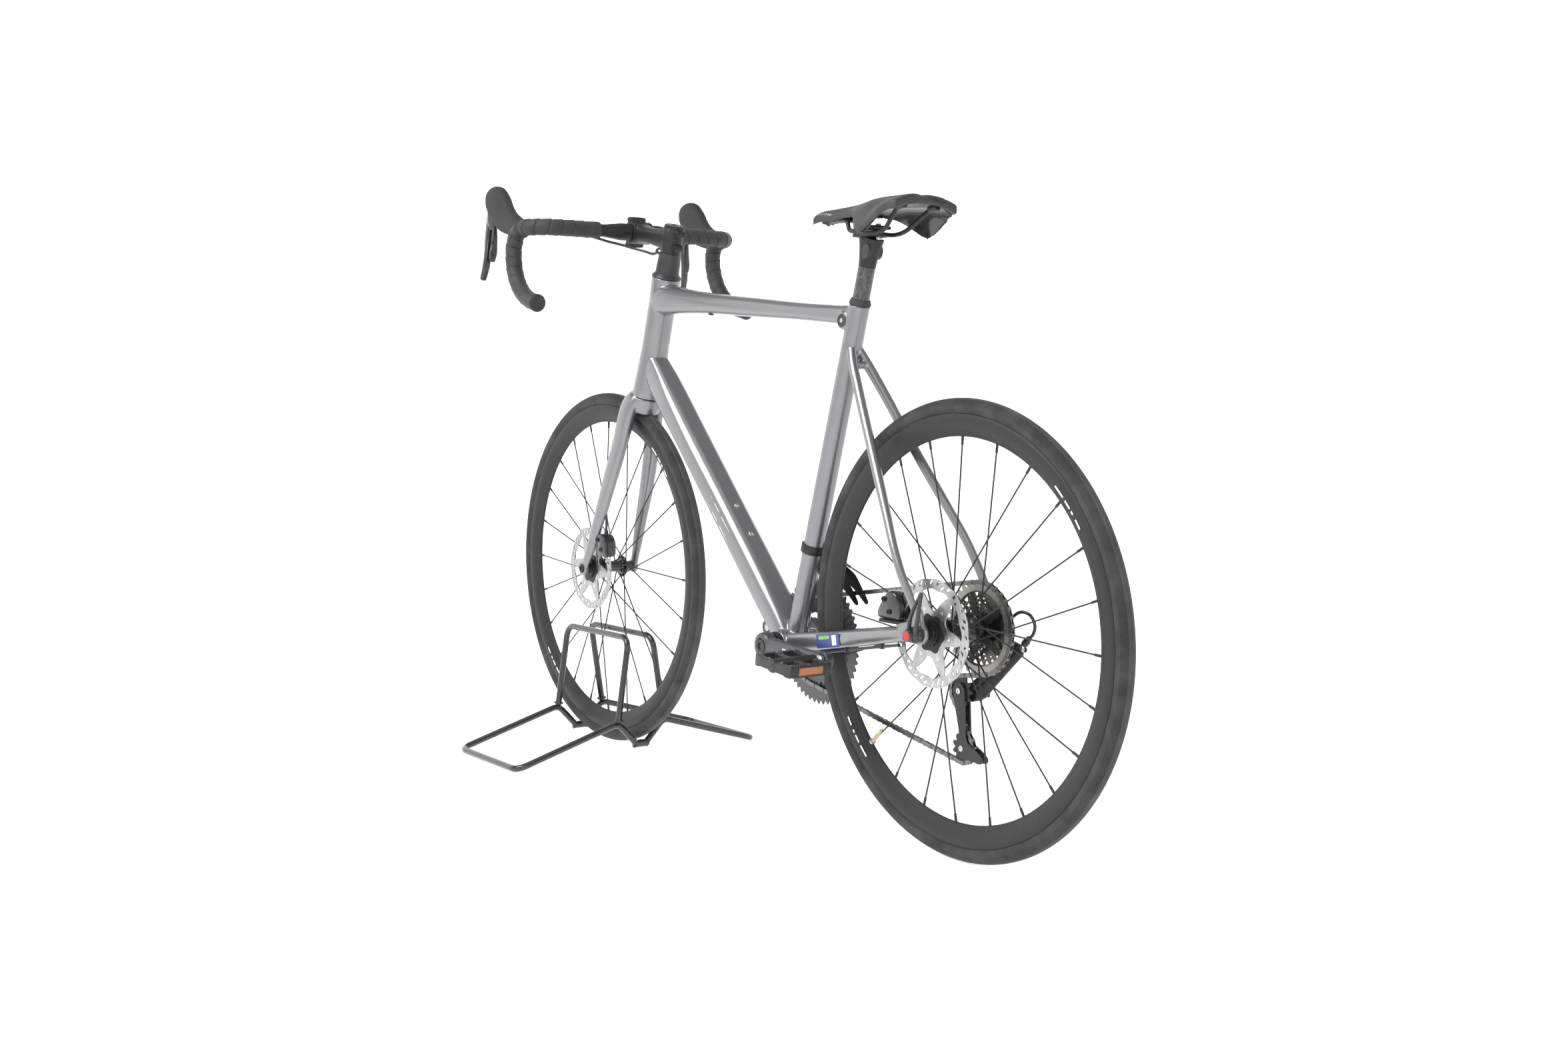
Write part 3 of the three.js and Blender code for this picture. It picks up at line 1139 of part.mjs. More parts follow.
function rearShiftCable() {
  const y = -dropoutInner - DROPOUT_THICKNESS / 2;
  const start = rearAxle.clone().add(vec(-17 - HOSE_RADIUS, y, 4));
  const barrel = hangerBolt.clone().add(vec(-38, -hangerOuter - 12, 6));
  return smoothRod([
    start, start.clone().add(vec(-10, -1, 14)), start.clone().add(vec(-25, -4, 25)),
    start.clone().add(vec(-42, -8, 20)), barrel.clone().add(vec(-5, 0, 26)),
    barrel], HOSE_RADIUS, 12, 6);
}

piece(bicycle, "rear_shift_cable", rearShiftCable(), BLACK_PLASTIC);

function frontDerailleur() {
  const clampHeight = 168;
  const ring = SEAT_TUBE_RADIUS + GAP;
  const profile = [[ring, -7], [ring + 3, -7], [ring + 3, 7], [ring, 7]];
  const band = turnedSolid(profile.concat([profile[0]]), onSeatTube(clampHeight), seatUp, 16);
  const clamp = onSeatTube(clampHeight);
  const body = block(vec(clamp.x - 26, -48, clamp.z - 22), vec(clamp.x + 8, -ring - 1, clamp.z + 7));
  const ringTop = bbCentre.z + pitchRadius(LARGE_RING_TEETH) + TOOTH_REACH + 2;
  const at = (x, z) => [clamp.x + x, ringTop + z];
  const cage = outline([at(24, 4), at(24, 32), at(-14, 30), at(-46, 14), at(-88, -34), at(-80, -42),
    at(-50, -22), at(-14, 0)]);
  const innerY = CHAIN_Y + CHAIN_WIDTH / 2 + 2;
  const outerY = LARGE_RING_Y - 1 - 3;
  const inner = plate(cage, innerY, innerY + 1.5);
  const outer = plate(cage, outerY - 1.5, outerY);
  const top = block(
    vec(clamp.x - 20, outerY - 0.5, ringTop + 24), vec(clamp.x + 10, innerY + 0.5, ringTop + 29));
  const joined = join(body, inner, outer, top);
  const tube = cylinder(onSeatTube(clampHeight - 60), onSeatTube(clampHeight + 60), ring, 16);
  return cut(join(band, joined), tube);
}

piece(bicycle, "front_derailleur", frontDerailleur(), BLACK_METAL);

// ---------------------------------------------------------------- wheel stand
const stand = new THREE.Group();
const liftAngle = Math.asin(FRONT_LIFT / WHEELBASE);
stand.position.set(rearAxle.x + WHEELBASE * Math.cos(liftAngle), 0, 0);
part.add(stand);
const wheelHeight = WHEEL_RADIUS + FRONT_LIFT;

// The cradle bars meet under the tyre, clear of it by the gap.
const touching = WHEEL_RADIUS + STAND_ROD + 2 * GAP;
const cradleZ = wheelHeight - Math.sqrt(touching ** 2 - STAND_HALF_LENGTH ** 2);
const COUPLER_HALF = 13;
const COUPLER_RADIUS = STAND_ROD + 1.2;

// The foot rests on one flat of its rod. grow makes the rods thicker, for cutting neighbours
// clear of them.
const FOOT_FLAT = STAND_ROD * Math.cos(Math.PI / 8);
function foot(grow = 0) {
  const x = STAND_HALF_LENGTH;
  const slope = Math.atan2(STAND_JOINT.z - FOOT_FLAT, STAND_FOOT_Y - STAND_JOINT.y);
  const bars = [1, -1].map((end) => [
    vec(end * x, COUPLER_HALF + 3, cradleZ - 2.4), vec(end * x, STAND_JOINT.y, STAND_JOINT.z)]);
  const loop = bentRod([
    bars[0][1], vec(x, STAND_FOOT_Y, FOOT_FLAT), vec(-x, STAND_FOOT_Y, FOOT_FLAT), bars[1][1]],
  STAND_ROD + grow, STAND_BEND, Math.PI / 8 - slope);
  const cradles = bars.map(([low, high]) => cylinder(low, high, STAND_ROD + grow, 8));
  return join(loop, ...cradles);
}

function hoop() {
  const lean = vec(0, HOOP_TOP.y - STAND_JOINT.y, HOOP_TOP.z - STAND_JOINT.z).normalize();
  const seat = (x) => vec(x, STAND_JOINT.y, STAND_JOINT.z).addScaledVector(lean, STAND_ROD + 3);
  const x = STAND_HALF_LENGTH;
  return bentRod([seat(x), vec(x, HOOP_TOP.y, HOOP_TOP.z), vec(-x, HOOP_TOP.y, HOOP_TOP.z), seat(-x)],
    STAND_ROD, STAND_BEND);
}

// A sleeve under the tyre into which the left and right cradle bars run.
function coupler(end) {
  const centre = vec(end * STAND_HALF_LENGTH, 0, cradleZ - 2.4);
  const half = vec(0, COUPLER_HALF, 0);
  const sleeve = cylinder(centre.clone().sub(half), centre.clone().add(half), COUPLER_RADIUS, 12);
  const bar = cylinder(centre.clone().add(vec(0, COUPLER_HALF + 3, 0)),
    vec(centre.x, STAND_JOINT.y, STAND_JOINT.z), STAND_ROD + 2 * GAP, 8);
  const tyreRoom = turnedSolid([[0, -30], [WHEEL_RADIUS + 2 * GAP, -30],
    [WHEEL_RADIUS + 2 * GAP, 30], [0, 30]], vec(0, 0, wheelHeight), vec(0, 1, 0), 72);
  return cut(sleeve, bothSides(bar), tyreRoom);
}

const leftFoot = foot();
const leftHoop = largest(cut(hoop(), foot(2 * GAP)));
piece(stand, "stand_foot_left", leftFoot, GLOSS_BLACK);
piece(stand, "stand_foot_right", mirrored(leftFoot), GLOSS_BLACK);
piece(stand, "stand_hoop_left", leftHoop, GLOSS_BLACK);
piece(stand, "stand_hoop_right", mirrored(leftHoop), GLOSS_BLACK);
piece(stand, "stand_coupler_front", coupler(1), GLOSS_BLACK);
piece(stand, "stand_coupler_rear", coupler(-1), GLOSS_BLACK);

export default part;
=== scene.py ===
"""Looks of a drop-bar road bicycle in a wheel stand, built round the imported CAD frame."""

from __future__ import annotations

import logging
import math
from dataclasses import dataclass, field
from enum import Enum
from typing import Callable, Sequence

import bpy
import numpy as np
from mathutils import Matrix, Vector

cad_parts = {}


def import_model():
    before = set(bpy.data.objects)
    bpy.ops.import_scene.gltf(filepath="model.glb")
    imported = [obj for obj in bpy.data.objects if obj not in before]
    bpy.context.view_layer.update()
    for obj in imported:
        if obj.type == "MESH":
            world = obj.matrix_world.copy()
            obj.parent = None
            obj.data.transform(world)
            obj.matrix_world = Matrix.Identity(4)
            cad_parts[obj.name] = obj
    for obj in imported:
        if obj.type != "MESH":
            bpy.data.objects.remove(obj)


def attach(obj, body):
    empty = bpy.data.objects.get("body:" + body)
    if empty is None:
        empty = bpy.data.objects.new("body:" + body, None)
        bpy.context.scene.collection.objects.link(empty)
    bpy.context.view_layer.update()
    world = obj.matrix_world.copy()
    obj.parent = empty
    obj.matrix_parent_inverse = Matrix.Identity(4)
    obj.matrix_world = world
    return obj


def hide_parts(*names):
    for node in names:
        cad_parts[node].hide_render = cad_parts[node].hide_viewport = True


LOG = logging.getLogger("bicycle")
Array = np.ndarray
Colour = tuple[float, float, float]
TAU = 2 * math.pi
MM = 0.001

# ---------------------------------------------------------------- places on the bicycle, mm
WHEELBASE = 1031.2
WHEEL_RADIUS = 339.0
TYRE_RADIUS = 13.6
FRONT_LIFT = 15.4
PITCH_UP = math.asin(FRONT_LIFT / WHEELBASE)
REAR_AXLE = np.array([-WHEELBASE / 2, 0.0, WHEEL_RADIUS])
FRONT_AXLE = np.array([WHEELBASE / 2, 0.0, WHEEL_RADIUS])
BOTTOM_BRACKET = np.array([-108.57, 0.0, 269.0])
STEER_UP = np.array([-0.28669, 0.0, 0.95802])
STEER_FOOT = np.array([472.39, 0.0, 326.07])
SEAT_UP = np.array([-0.28234, 0.0, 0.95931])
BAR_CENTRE = np.array([402.1, 0.0, 976.7])
CHAIN_PITCH = 12.7
SIDEWAYS = np.array([0.0, 1.0, 0.0])


def steerer(height: float) -> Array:
    """Point on the steering axis, a height above the level of the front axle's foot point."""
    return STEER_FOOT + height * STEER_UP


def seat_tube(height: float) -> Array:
    """Point on the seat tube's axis, a height above the bottom bracket."""
    return BOTTOM_BRACKET + height * SEAT_UP


def bike_to_floor(points: Array) -> Array:
    """Bicycle millimetres to metres on the floor.

    Formula: turn about the rear axle by the pitch that the stand's lift gives, then divide
    by a thousand.

    Args:
        points: (..., 3) places in the bicycle's own frame.

    Returns:
        The same table in metres, with the front wheel lifted.
    """
    c, s = math.cos(PITCH_UP), math.sin(PITCH_UP)
    away = np.asarray(points, float) - REAR_AXLE
    turned = np.stack(
        [away[..., 0] * c - away[..., 2] * s, away[..., 1], away[..., 0] * s + away[..., 2] * c], -1
    )
    return (turned + REAR_AXLE) * MM


def stand_to_floor(points: Array) -> Array:
    """Stand millimetres, measured from under the front axle, to metres on the floor."""
    axle = REAR_AXLE[0] + WHEELBASE * math.cos(PITCH_UP)
    return (np.asarray(points, float) + np.array([axle, 0.0, 0.0])) * MM


# ---------------------------------------------------------------- surfaces
@dataclass
class Shell:
    """A surface: points, faces grouped by their number of corners, and a UV for each corner."""

    points: Array
    faces: list[Array]
    uvs: list[Array] = field(default_factory=list)

    def moved(self, change: Callable[[Array], Array]) -> Shell:
        """The same faces on points put through a function."""
        return Shell(change(self.points), self.faces, self.uvs)

    def shifted(self, offset: Sequence[float]) -> Shell:
        """The shell moved by an offset."""
        return self.moved(lambda p: p + np.asarray(offset, float))

    def mirrored(self) -> Shell:
        """The shell on the other side of the middle plane, its faces turned to match."""
        flipped = self.moved(lambda p: p * np.array([1.0, -1.0, 1.0]))
        return Shell(
            flipped.points, [f[:, ::-1] for f in self.faces], [u[:, ::-1] for u in self.uvs]
        )

    def outward(self) -> Shell:
        """The shell with its faces pointing out.

        Formula: the sum of corner triple products over fans of each face is six times the
        volume, and a negative one means that the faces point in.

        Returns:
            This shell, or one with each face's corners in reverse.
        """
        total = 0.0
        for f in self.faces:
            a = self.points[f[:, 0]]
            for k in range(1, f.shape[1] - 1):
                b, c = self.points[f[:, k]], self.points[f[:, k + 1]]
                total += float(np.einsum("ij,ij->i", a, np.cross(b, c)).sum())
        if total >= 0:
            return self
        return Shell(self.points, [f[:, ::-1] for f in self.faces], [u[:, ::-1] for u in self.uvs])


def joined(shells: Sequence[Shell]) -> Shell:
    """Several shells as one, without merging points.

    Args:
        shells: shells to put side by side.

    Returns:
        One shell that holds all of them.
    """
    points, faces, uvs, start = [], [], [], 0
    for shell in shells:
        points.append(shell.points)
        faces += [f + start for f in shell.faces]
        uvs += shell.uvs
        start += len(shell.points)
    return Shell(np.concatenate(points), faces, uvs)


def both_sides(shell: Shell) -> Shell:
    """A shell and its mirror image."""
    return joined([shell, shell.mirrored()])


def sheet(
    points: Array,
    wrap_u: bool = False,
    wrap_v: bool = True,
    capped: bool = True,
    uv_size: tuple[float, float] = (1.0, 1.0),
) -> Shell:
    """Quads over a table of points that is a function of two parameters.

    Args:
        points: (rows, columns, 3).
        wrap_u: whether the last row joins the first.
        wrap_v: whether the last column joins the first.
        capped: whether open ends of a tube get one face each.
        uv_size: what the whole table measures in U and V.

    Returns:
        The shell, pointing outwards when it is closed.
    """
    rows, cols = points.shape[:2]
    across = rows if wrap_u else rows - 1
    around = cols if wrap_v else cols - 1
    i, j = np.meshgrid(np.arange(across), np.arange(around), indexing="ij")
    i1, j1 = (i + 1) % rows, (j + 1) % cols
    quads = np.stack([i * cols + j, i * cols + j1, i1 * cols + j1, i1 * cols + j], -1)
    u = np.stack([i, i, i + 1, i + 1], -1) / across * uv_size[0]
    v = np.stack([j, j + 1, j + 1, j], -1) / around * uv_size[1]
    faces = [quads.reshape(-1, 4)]
    uvs = [np.stack([u, v], -1).reshape(-1, 4, 2)]
    if capped and wrap_v and not wrap_u:
        for ring in (np.arange(cols)[::-1], (rows - 1) * cols + np.arange(cols)):
            faces.append(ring.reshape(1, -1))
            uvs.append(np.full((1, cols, 2), 0.5))
    shell = Shell(points.reshape(-1, 3).astype(float), faces, uvs)
    return shell.outward() if (wrap_v and (wrap_u or capped)) else shell


def spline(rows: Sequence[Sequence[float]], count: int) -> Array:
    """Values carried smoothly through the rows of a table.

    Formula: between two rows the value is a cubic that meets both, and its slope at a row is
    the distance-weighted mean of the slopes to the two neighbours. Distance is measured over
    the first three values, which are a place.

    Args:
        rows: (n, k) values, the first three of each being x, y and z.
        count: how many evenly spaced rows to return.

    Returns:
        (count, k) values.
    """
    table = np.asarray(rows, float)
    step = np.linalg.norm(np.diff(table[:, :3], axis=0), axis=1)
    at = np.concatenate([[0.0], np.cumsum(step)])
    slope = np.diff(table, axis=0) / step[:, None]
    tangent = np.empty_like(table)
    weight = (step[:-1] / (step[:-1] + step[1:]))[:, None]
    tangent[1:-1] = (1 - weight) * slope[:-1] + weight * slope[1:]
    tangent[0], tangent[-1] = slope[0], slope[-1]
    if len(table) > 2:
        tangent[0] = 1.5 * slope[0] - 0.5 * tangent[1]
        tangent[-1] = 1.5 * slope[-1] - 0.5 * tangent[-2]
    here = np.linspace(0, at[-1], count)
    i = np.clip(np.searchsorted(at, here, side="right") - 1, 0, len(step) - 1)
    t = ((here - at[i]) / step[i])[:, None]
    h = step[i][:, None]
    return (
        (2 * t**3 - 3 * t**2 + 1) * table[i]
        + (t**3 - 2 * t**2 + t) * h * tangent[i]
        + (3 * t**2 - 2 * t**3) * table[i + 1]
        + (t**3 - t**2) * h * tangent[i + 1]
    )


def bent(corners: Sequence[Sequence[float]], radius: float, steps: int = 10) -> Array:
    """A path of straight runs with round bends.

    Formula: at each corner the path leaves the straight run a setback of the radius times the
    tangent of half the turn before it, and follows a circle of that radius round to the next.

    Args:
        corners: places of the ends and the corners.
        radius: bend radius.
        steps: points on each bend.

    Returns:
        (n, 3) places along the path.
    """
    pts = np.asarray(corners, float)
    path = [pts[:1]]
    for a, b, c in zip(pts[:-2], pts[1:-1], pts[2:]):
        before, after = (b - a) / np.linalg.norm(b - a), (c - b) / np.linalg.norm(c - b)
        turn = math.acos(float(np.clip(before @ after, -1, 1)))
        inward = after - before * (before @ after)
        inward /= np.linalg.norm(inward)
        centre = b - before * radius * math.tan(turn / 2) + inward * radius
        angle = np.linspace(0, turn, steps)[:, None]
        path.append(centre + radius * (np.sin(angle) * before - np.cos(angle) * inward))
    path.append(pts[-1:])
    return np.concatenate(path)


def densified(path: Array, spacing: float) -> Array:
    """The same polyline with extra points, evenly spaced along it."""
    step = np.linalg.norm(np.diff(path, axis=0), axis=1)
    at = np.concatenate([[0.0], np.cumsum(step)])
    here = np.linspace(0, at[-1], max(2, int(at[-1] / spacing)))
    return np.stack([np.interp(here, at, path[:, k]) for k in range(3)], -1)


def path_frames(path: Array, side: Array | None = None) -> tuple[Array, Array, Array]:
    """Forward, sideways and upward directions along a path.

    Formula: forward is the normalised difference of neighbours. With a side given, sideways is
    that vector less its forward part. Without one, sideways is carried from point to point by
    removing each new forward part, which keeps the section from twisting.

    Args:
        path: (n, 3) places.
        side: the direction that stays sideways, or None.

    Returns:
        Three (n, 3) tables of unit vectors.
    """
    forward = np.gradient(path, axis=0)
    forward /= np.linalg.norm(forward, axis=1, keepdims=True)
    if side is not None:
        across = side - (forward @ side)[:, None] * forward
    else:
        across = np.empty_like(forward)
        seed = np.eye(3)[np.argmin(np.abs(forward[0]))]
        for k, ahead in enumerate(forward):
            seed = seed - (seed @ ahead) * ahead
            seed = seed / np.linalg.norm(seed)
            across[k] = seed
    across /= np.linalg.norm(across, axis=1, keepdims=True)
    return forward, across, np.cross(across, forward)


def swept(
    path: Array, across: Array, above: Array, side: Array | None = None, capped: bool = True
) -> Shell:
    """A section carried along a path.

    Formula: point = path + across * sideways + above * upward, for every section angle.

    Args:
        path: (n, 3) places.
        across: (n, m) or (m,) sideways offsets.
        above: (n, m) or (m,) upward offsets.
        side: the direction that stays sideways, or None.
        capped: whether the ends are closed.

    Returns:
        The tube's shell.
    """
    _, sideways, upward = path_frames(path, side)
    across = np.broadcast_to(across, (len(path), np.shape(across)[-1]))[..., None]
    above = np.broadcast_to(above, (len(path), np.shape(above)[-1]))[..., None]
    points = path[:, None] + across * sideways[:, None] + above * upward[:, None]
    length = float(np.linalg.norm(np.diff(path, axis=0), axis=1).sum())
    return sheet(points, capped=capped, uv_size=(length * MM, 1.0))


def rod(path: Array, radius: float | Array, sides: int = 16, nose: float = 0.0) -> Shell:
    """A round rod along a path, with ends rounded by a nose length."""
    angle = np.linspace(0, TAU, sides, endpoint=False)
    size = np.broadcast_to(np.asarray(radius, float), (len(path),))
    if nose:
        path, size = with_noses(path, size[:, None], nose)
        size = size[:, 0]
    return swept(path, size[:, None] * np.cos(angle), size[:, None] * np.sin(angle))


def with_noses(path: Array, sizes: Array, nose: float) -> tuple[Array, Array]:
    """Extra points at both ends of a path that shrink its sizes to round it off.

    Formula: beyond each end, the distance out is nose times the sine of an angle and the size
    is multiplied by its cosine.

    Args:
        path: (n, 3) places.
        sizes: (n, k) sizes.
        nose: how far the round end stands out.

    Returns:
        The longer path and its sizes.
    """
    angle = np.radians([25, 50, 70, 84])[:, None]
    ahead = path[-1] - path[-2]
    behind = path[0] - path[1]
    ahead, behind = ahead / np.linalg.norm(ahead), behind / np.linalg.norm(behind)
    front = path[-1] + nose * np.sin(angle) * ahead
    back = (path[0] + nose * np.sin(angle) * behind)[::-1]
    return (
        np.concatenate([back, path, front]),
        np.concatenate([(np.cos(angle) * sizes[0])[::-1], sizes, np.cos(angle) * sizes[-1]]),
    )


def limb(
    stations: Sequence[Sequence[float]],
    count: int = 40,
    sides: int = 40,
    side: Array | None = SIDEWAYS,
    nose: float = 0.0,
) -> Shell:
    """A tube whose section changes along its length.

    Formula: the section's reach in a direction is the power mean, with the station's
    squareness as its power, of the reaches to the flat sides and to the chamfers.

    Args:
        stations: rows of x, y, z, width, depth, squareness and chamfer.
        count: rows along the tube.
        sides: points round the section.
        side: the direction that the width lies along.
        nose: how far the round ends stand out.

    Returns:
        The limb's shell.
    """
    table = spline(stations, count)
    path, sizes = table[:, :3], table[:, 3:]
    if nose:
        grown = sizes[:, :2]
        shape = np.concatenate([np.repeat(sizes[:1, 2:], 4, 0), sizes[:, 2:], np.repeat(sizes[-1:, 2:], 4, 0)])
        path, grown = with_noses(path, grown, nose)
        sizes = np.concatenate([grown, shape], 1)
    angle = np.linspace(0, TAU, sides, endpoint=False) + TAU / sides / 2
    c, s = np.cos(angle), np.sin(angle)
    half_w, half_d, power, chamfer = (sizes[:, k : k + 1] for k in range(4))
    half_w, half_d = half_w / 2, half_d / 2
    diagonal = np.maximum(half_w + half_d - chamfer, 1e-6)
    facet = np.where(chamfer > 0, (np.abs(c) + np.abs(s)) / diagonal, 0.0)
    total = (np.abs(c) / half_w) ** power + (np.abs(s) / half_d) ** power + facet**power
    reach = total ** (-1 / power)
    return swept(path, reach * c, reach * s, side)


def revolved(
    profile: Sequence[Sequence[float]],
    centre: Array = np.zeros(3),
    axis: Array = SIDEWAYS,
    segments: int = 48,
    reach: Callable[[Array], Array] | None = None,
) -> Shell:
    """A profile turned about an axis.

    Formula: point = centre + height * axis + radius * (cosine and sine of the angle in the
    plane across the axis), with the radius multiplied by a function of the angle if given.

    Args:
        profile: radius and height pairs. A first and last pair that agree close it on itself.
        centre: a place on the axis.
        axis: direction of the axis.
        segments: steps round the axis.
        reach: multiplier of the radius against the angle.

    Returns:
        The turned shell.
    """
    table = np.asarray(profile, float)
    ring = bool(np.allclose(table[0], table[-1]))
    if ring:
        table = table[:-1]
    table = table[(table[:, 0] > 1e-6)]
    axis = np.asarray(axis, float) / np.linalg.norm(axis)
    first = np.cross(axis, np.eye(3)[np.argmin(np.abs(axis))])
    first /= np.linalg.norm(first)
    second = np.cross(axis, first)
    angle = np.linspace(0, TAU, segments, endpoint=False)
    grow = np.ones_like(angle) if reach is None else reach(angle)
    radial = grow[:, None] * (np.cos(angle)[:, None] * first + np.sin(angle)[:, None] * second)
    points = centre + table[:, 1, None, None] * axis + table[:, 0, None, None] * radial
    return sheet(points, wrap_u=ring)


def washer(outer: Array, inner: Array, low: float, high: float, chamfer: float = 0.0) -> Shell:
    """A flat ring between two outlines, standing along Y.

    Formula: a closed loop of rings, inner low, outer low, outer high, inner high, with the
    outer edge drawn in by the chamfer.

    Args:
        outer: (n, 2) outline in X and Z.
        inner: (n, 2) outline with as many points.
        low: lower Y.
        high: upper Y.
        chamfer: size of the outer edge's chamfer.

    Returns:
        The ring's shell.
    """
    lean = outer - chamfer * (outer - inner) / np.maximum(
        np.linalg.norm(outer - inner, axis=1, keepdims=True), 1e-9
    )
    rings = [(inner, low), (lean, low), (outer, low + chamfer), (outer, high - chamfer),
             (lean, high), (inner, high)]
    table = np.stack([np.insert(flat, 1, y, axis=1) for flat, y in rings])
    return sheet(table, wrap_u=True)


def polar(radius: Array | float, angle: Array) -> Array:
    """Places in X and Z at a radius and angle."""
    return np.stack([radius * np.cos(angle), radius * np.sin(angle)], -1)


def slab(outline: Sequence[Sequence[float]], low: float, high: float) -> Shell:
    """A flat plate with an outline in X and Z, between two levels of Y."""
    flat = np.asarray(outline, float)
    table = np.stack([np.insert(flat, 1, low, axis=1), np.insert(flat, 1, high, axis=1)])
    return sheet(table)


def rounded(outline: Sequence[Sequence[float]], radius: float, steps: int = 5) -> Array:
    """A closed outline in X and Z with its corners rounded.

    Formula: each corner is replaced by a parabola from a point a radius before it to a point
    a radius after it, with the corner as its control point.

    Args:
        outline: corners.
        radius: how far from each corner the rounding starts.
        steps: points on each rounding.

    Returns:
        (n, 2) outline.
    """
    here = np.asarray(outline, float)
    before, after = np.roll(here, 1, 0) - here, np.roll(here, -1, 0) - here
    reach_b = np.minimum(radius, np.linalg.norm(before, axis=1) * 0.49)[:, None]
    reach_a = np.minimum(radius, np.linalg.norm(after, axis=1) * 0.49)[:, None]
    start = here + before / np.linalg.norm(before, axis=1, keepdims=True) * reach_b
    end = here + after / np.linalg.norm(after, axis=1, keepdims=True) * reach_a
    t = np.linspace(0, 1, steps)[None, :, None]
    curve = (1 - t) ** 2 * start[:, None] + 2 * t * (1 - t) * here[:, None] + t**2 * end[:, None]
    return curve.reshape(-1, 2)


def hexagonal(angle: Array) -> Array:
    """Reach of a hexagon of unit flat distance against the angle."""
    return math.cos(math.pi / 6) / np.cos(np.mod(angle, math.pi / 3) - math.pi / 6)


def bolt(place: Sequence[float], axis: Sequence[float], radius: float, height: float) -> Shell:
    """A socket head bolt: a turned head with a hexagonal recess."""
    place, axis = np.asarray(place, float), np.asarray(axis, float)
    head = [(radius, -0.5), (radius, height * 0.75), (radius * 0.88, height)]
    well = [(radius * 0.5, height), (radius * 0.5, height * 0.35)]
    outer = revolved(head, place, axis, 24)
    points = outer.points.reshape(3, 24, 3)
    recess = revolved(well, place, axis, 24, hexagonal).points.reshape(2, 24, 3)
    return sheet(np.concatenate([points, recess]))


# ---------------------------------------------------------------- shader writing
class Value:
    """A number in a material. Arithmetic on it adds Math nodes."""

    def __init__(self, recipe: Recipe, socket: bpy.types.NodeSocket) -> None:
        """Wraps a socket of a recipe."""
        self.recipe = recipe
        self.socket = socket

    def math(self, operation: str, *values: Value | float, clamp: bool = False) -> Value:
        """The result of one Math node.

        Args:
            operation: the node's operation.
            values: its inputs in order.
            clamp: whether the result is kept between 0 and 1.

        Returns:
            The result as a value.
        """
        made = self.recipe.node(
            "ShaderNodeMath", {"operation": operation, "use_clamp": clamp}, dict(enumerate(values))
        )
        return Value(self.recipe, made.outputs[0])

    def __add__(self, other: Value | float) -> Value:
        """Sum."""
        return self.math("ADD", self, other)

    def __sub__(self, other: Value | float) -> Value:
        """Difference."""
        return self.math("SUBTRACT", self, other)

    def __rsub__(self, other: Value | float) -> Value:
        """Difference the other way round."""
        return self.math("SUBTRACT", other, self)

    def __mul__(self, other: Value | float) -> Value:
        """Product."""
        return self.math("MULTIPLY", self, other)

    def __truediv__(self, other: Value | float) -> Value:
        """Quotient."""
        return self.math("DIVIDE", self, other)

    def __pow__(self, other: float) -> Value:
        """Power."""
        return self.math("POWER", self, other)

    __radd__ = __add__
    __rmul__ = __mul__

    def above(self, edge: Value | float) -> Value:
        """1 where the value is above an edge."""
        return self.math("GREATER_THAN", self, edge)

    def below(self, edge: Value | float) -> Value:
        """1 where the value is below an edge."""
        return self.math("LESS_THAN", self, edge)

    def within(self, low: float, high: float) -> Value:
        """1 where the value is between two edges."""
        return self.above(low) * self.below(high)

    def ramp(self, low: float, high: float) -> Value:
        """0 below low, 1 above high, straight between."""
        return self.math("MULTIPLY", self - low, 1 / (high - low), clamp=True)

    def fraction(self) -> Value:
        """What is left above the whole number."""
        return self.math("FRACT", self)

    def size(self) -> Value:
        """Without its sign."""
        return self.math("ABSOLUTE", self)

    def larger(self, other: Value | float) -> Value:
        """The larger of two."""
        return self.math("MAXIMUM", self, other)

    def zigzag(self) -> Value:
        """Rises from 0 to 1 and falls again over each whole number."""
        return 1 - (self.fraction() * 2 - 1).size()


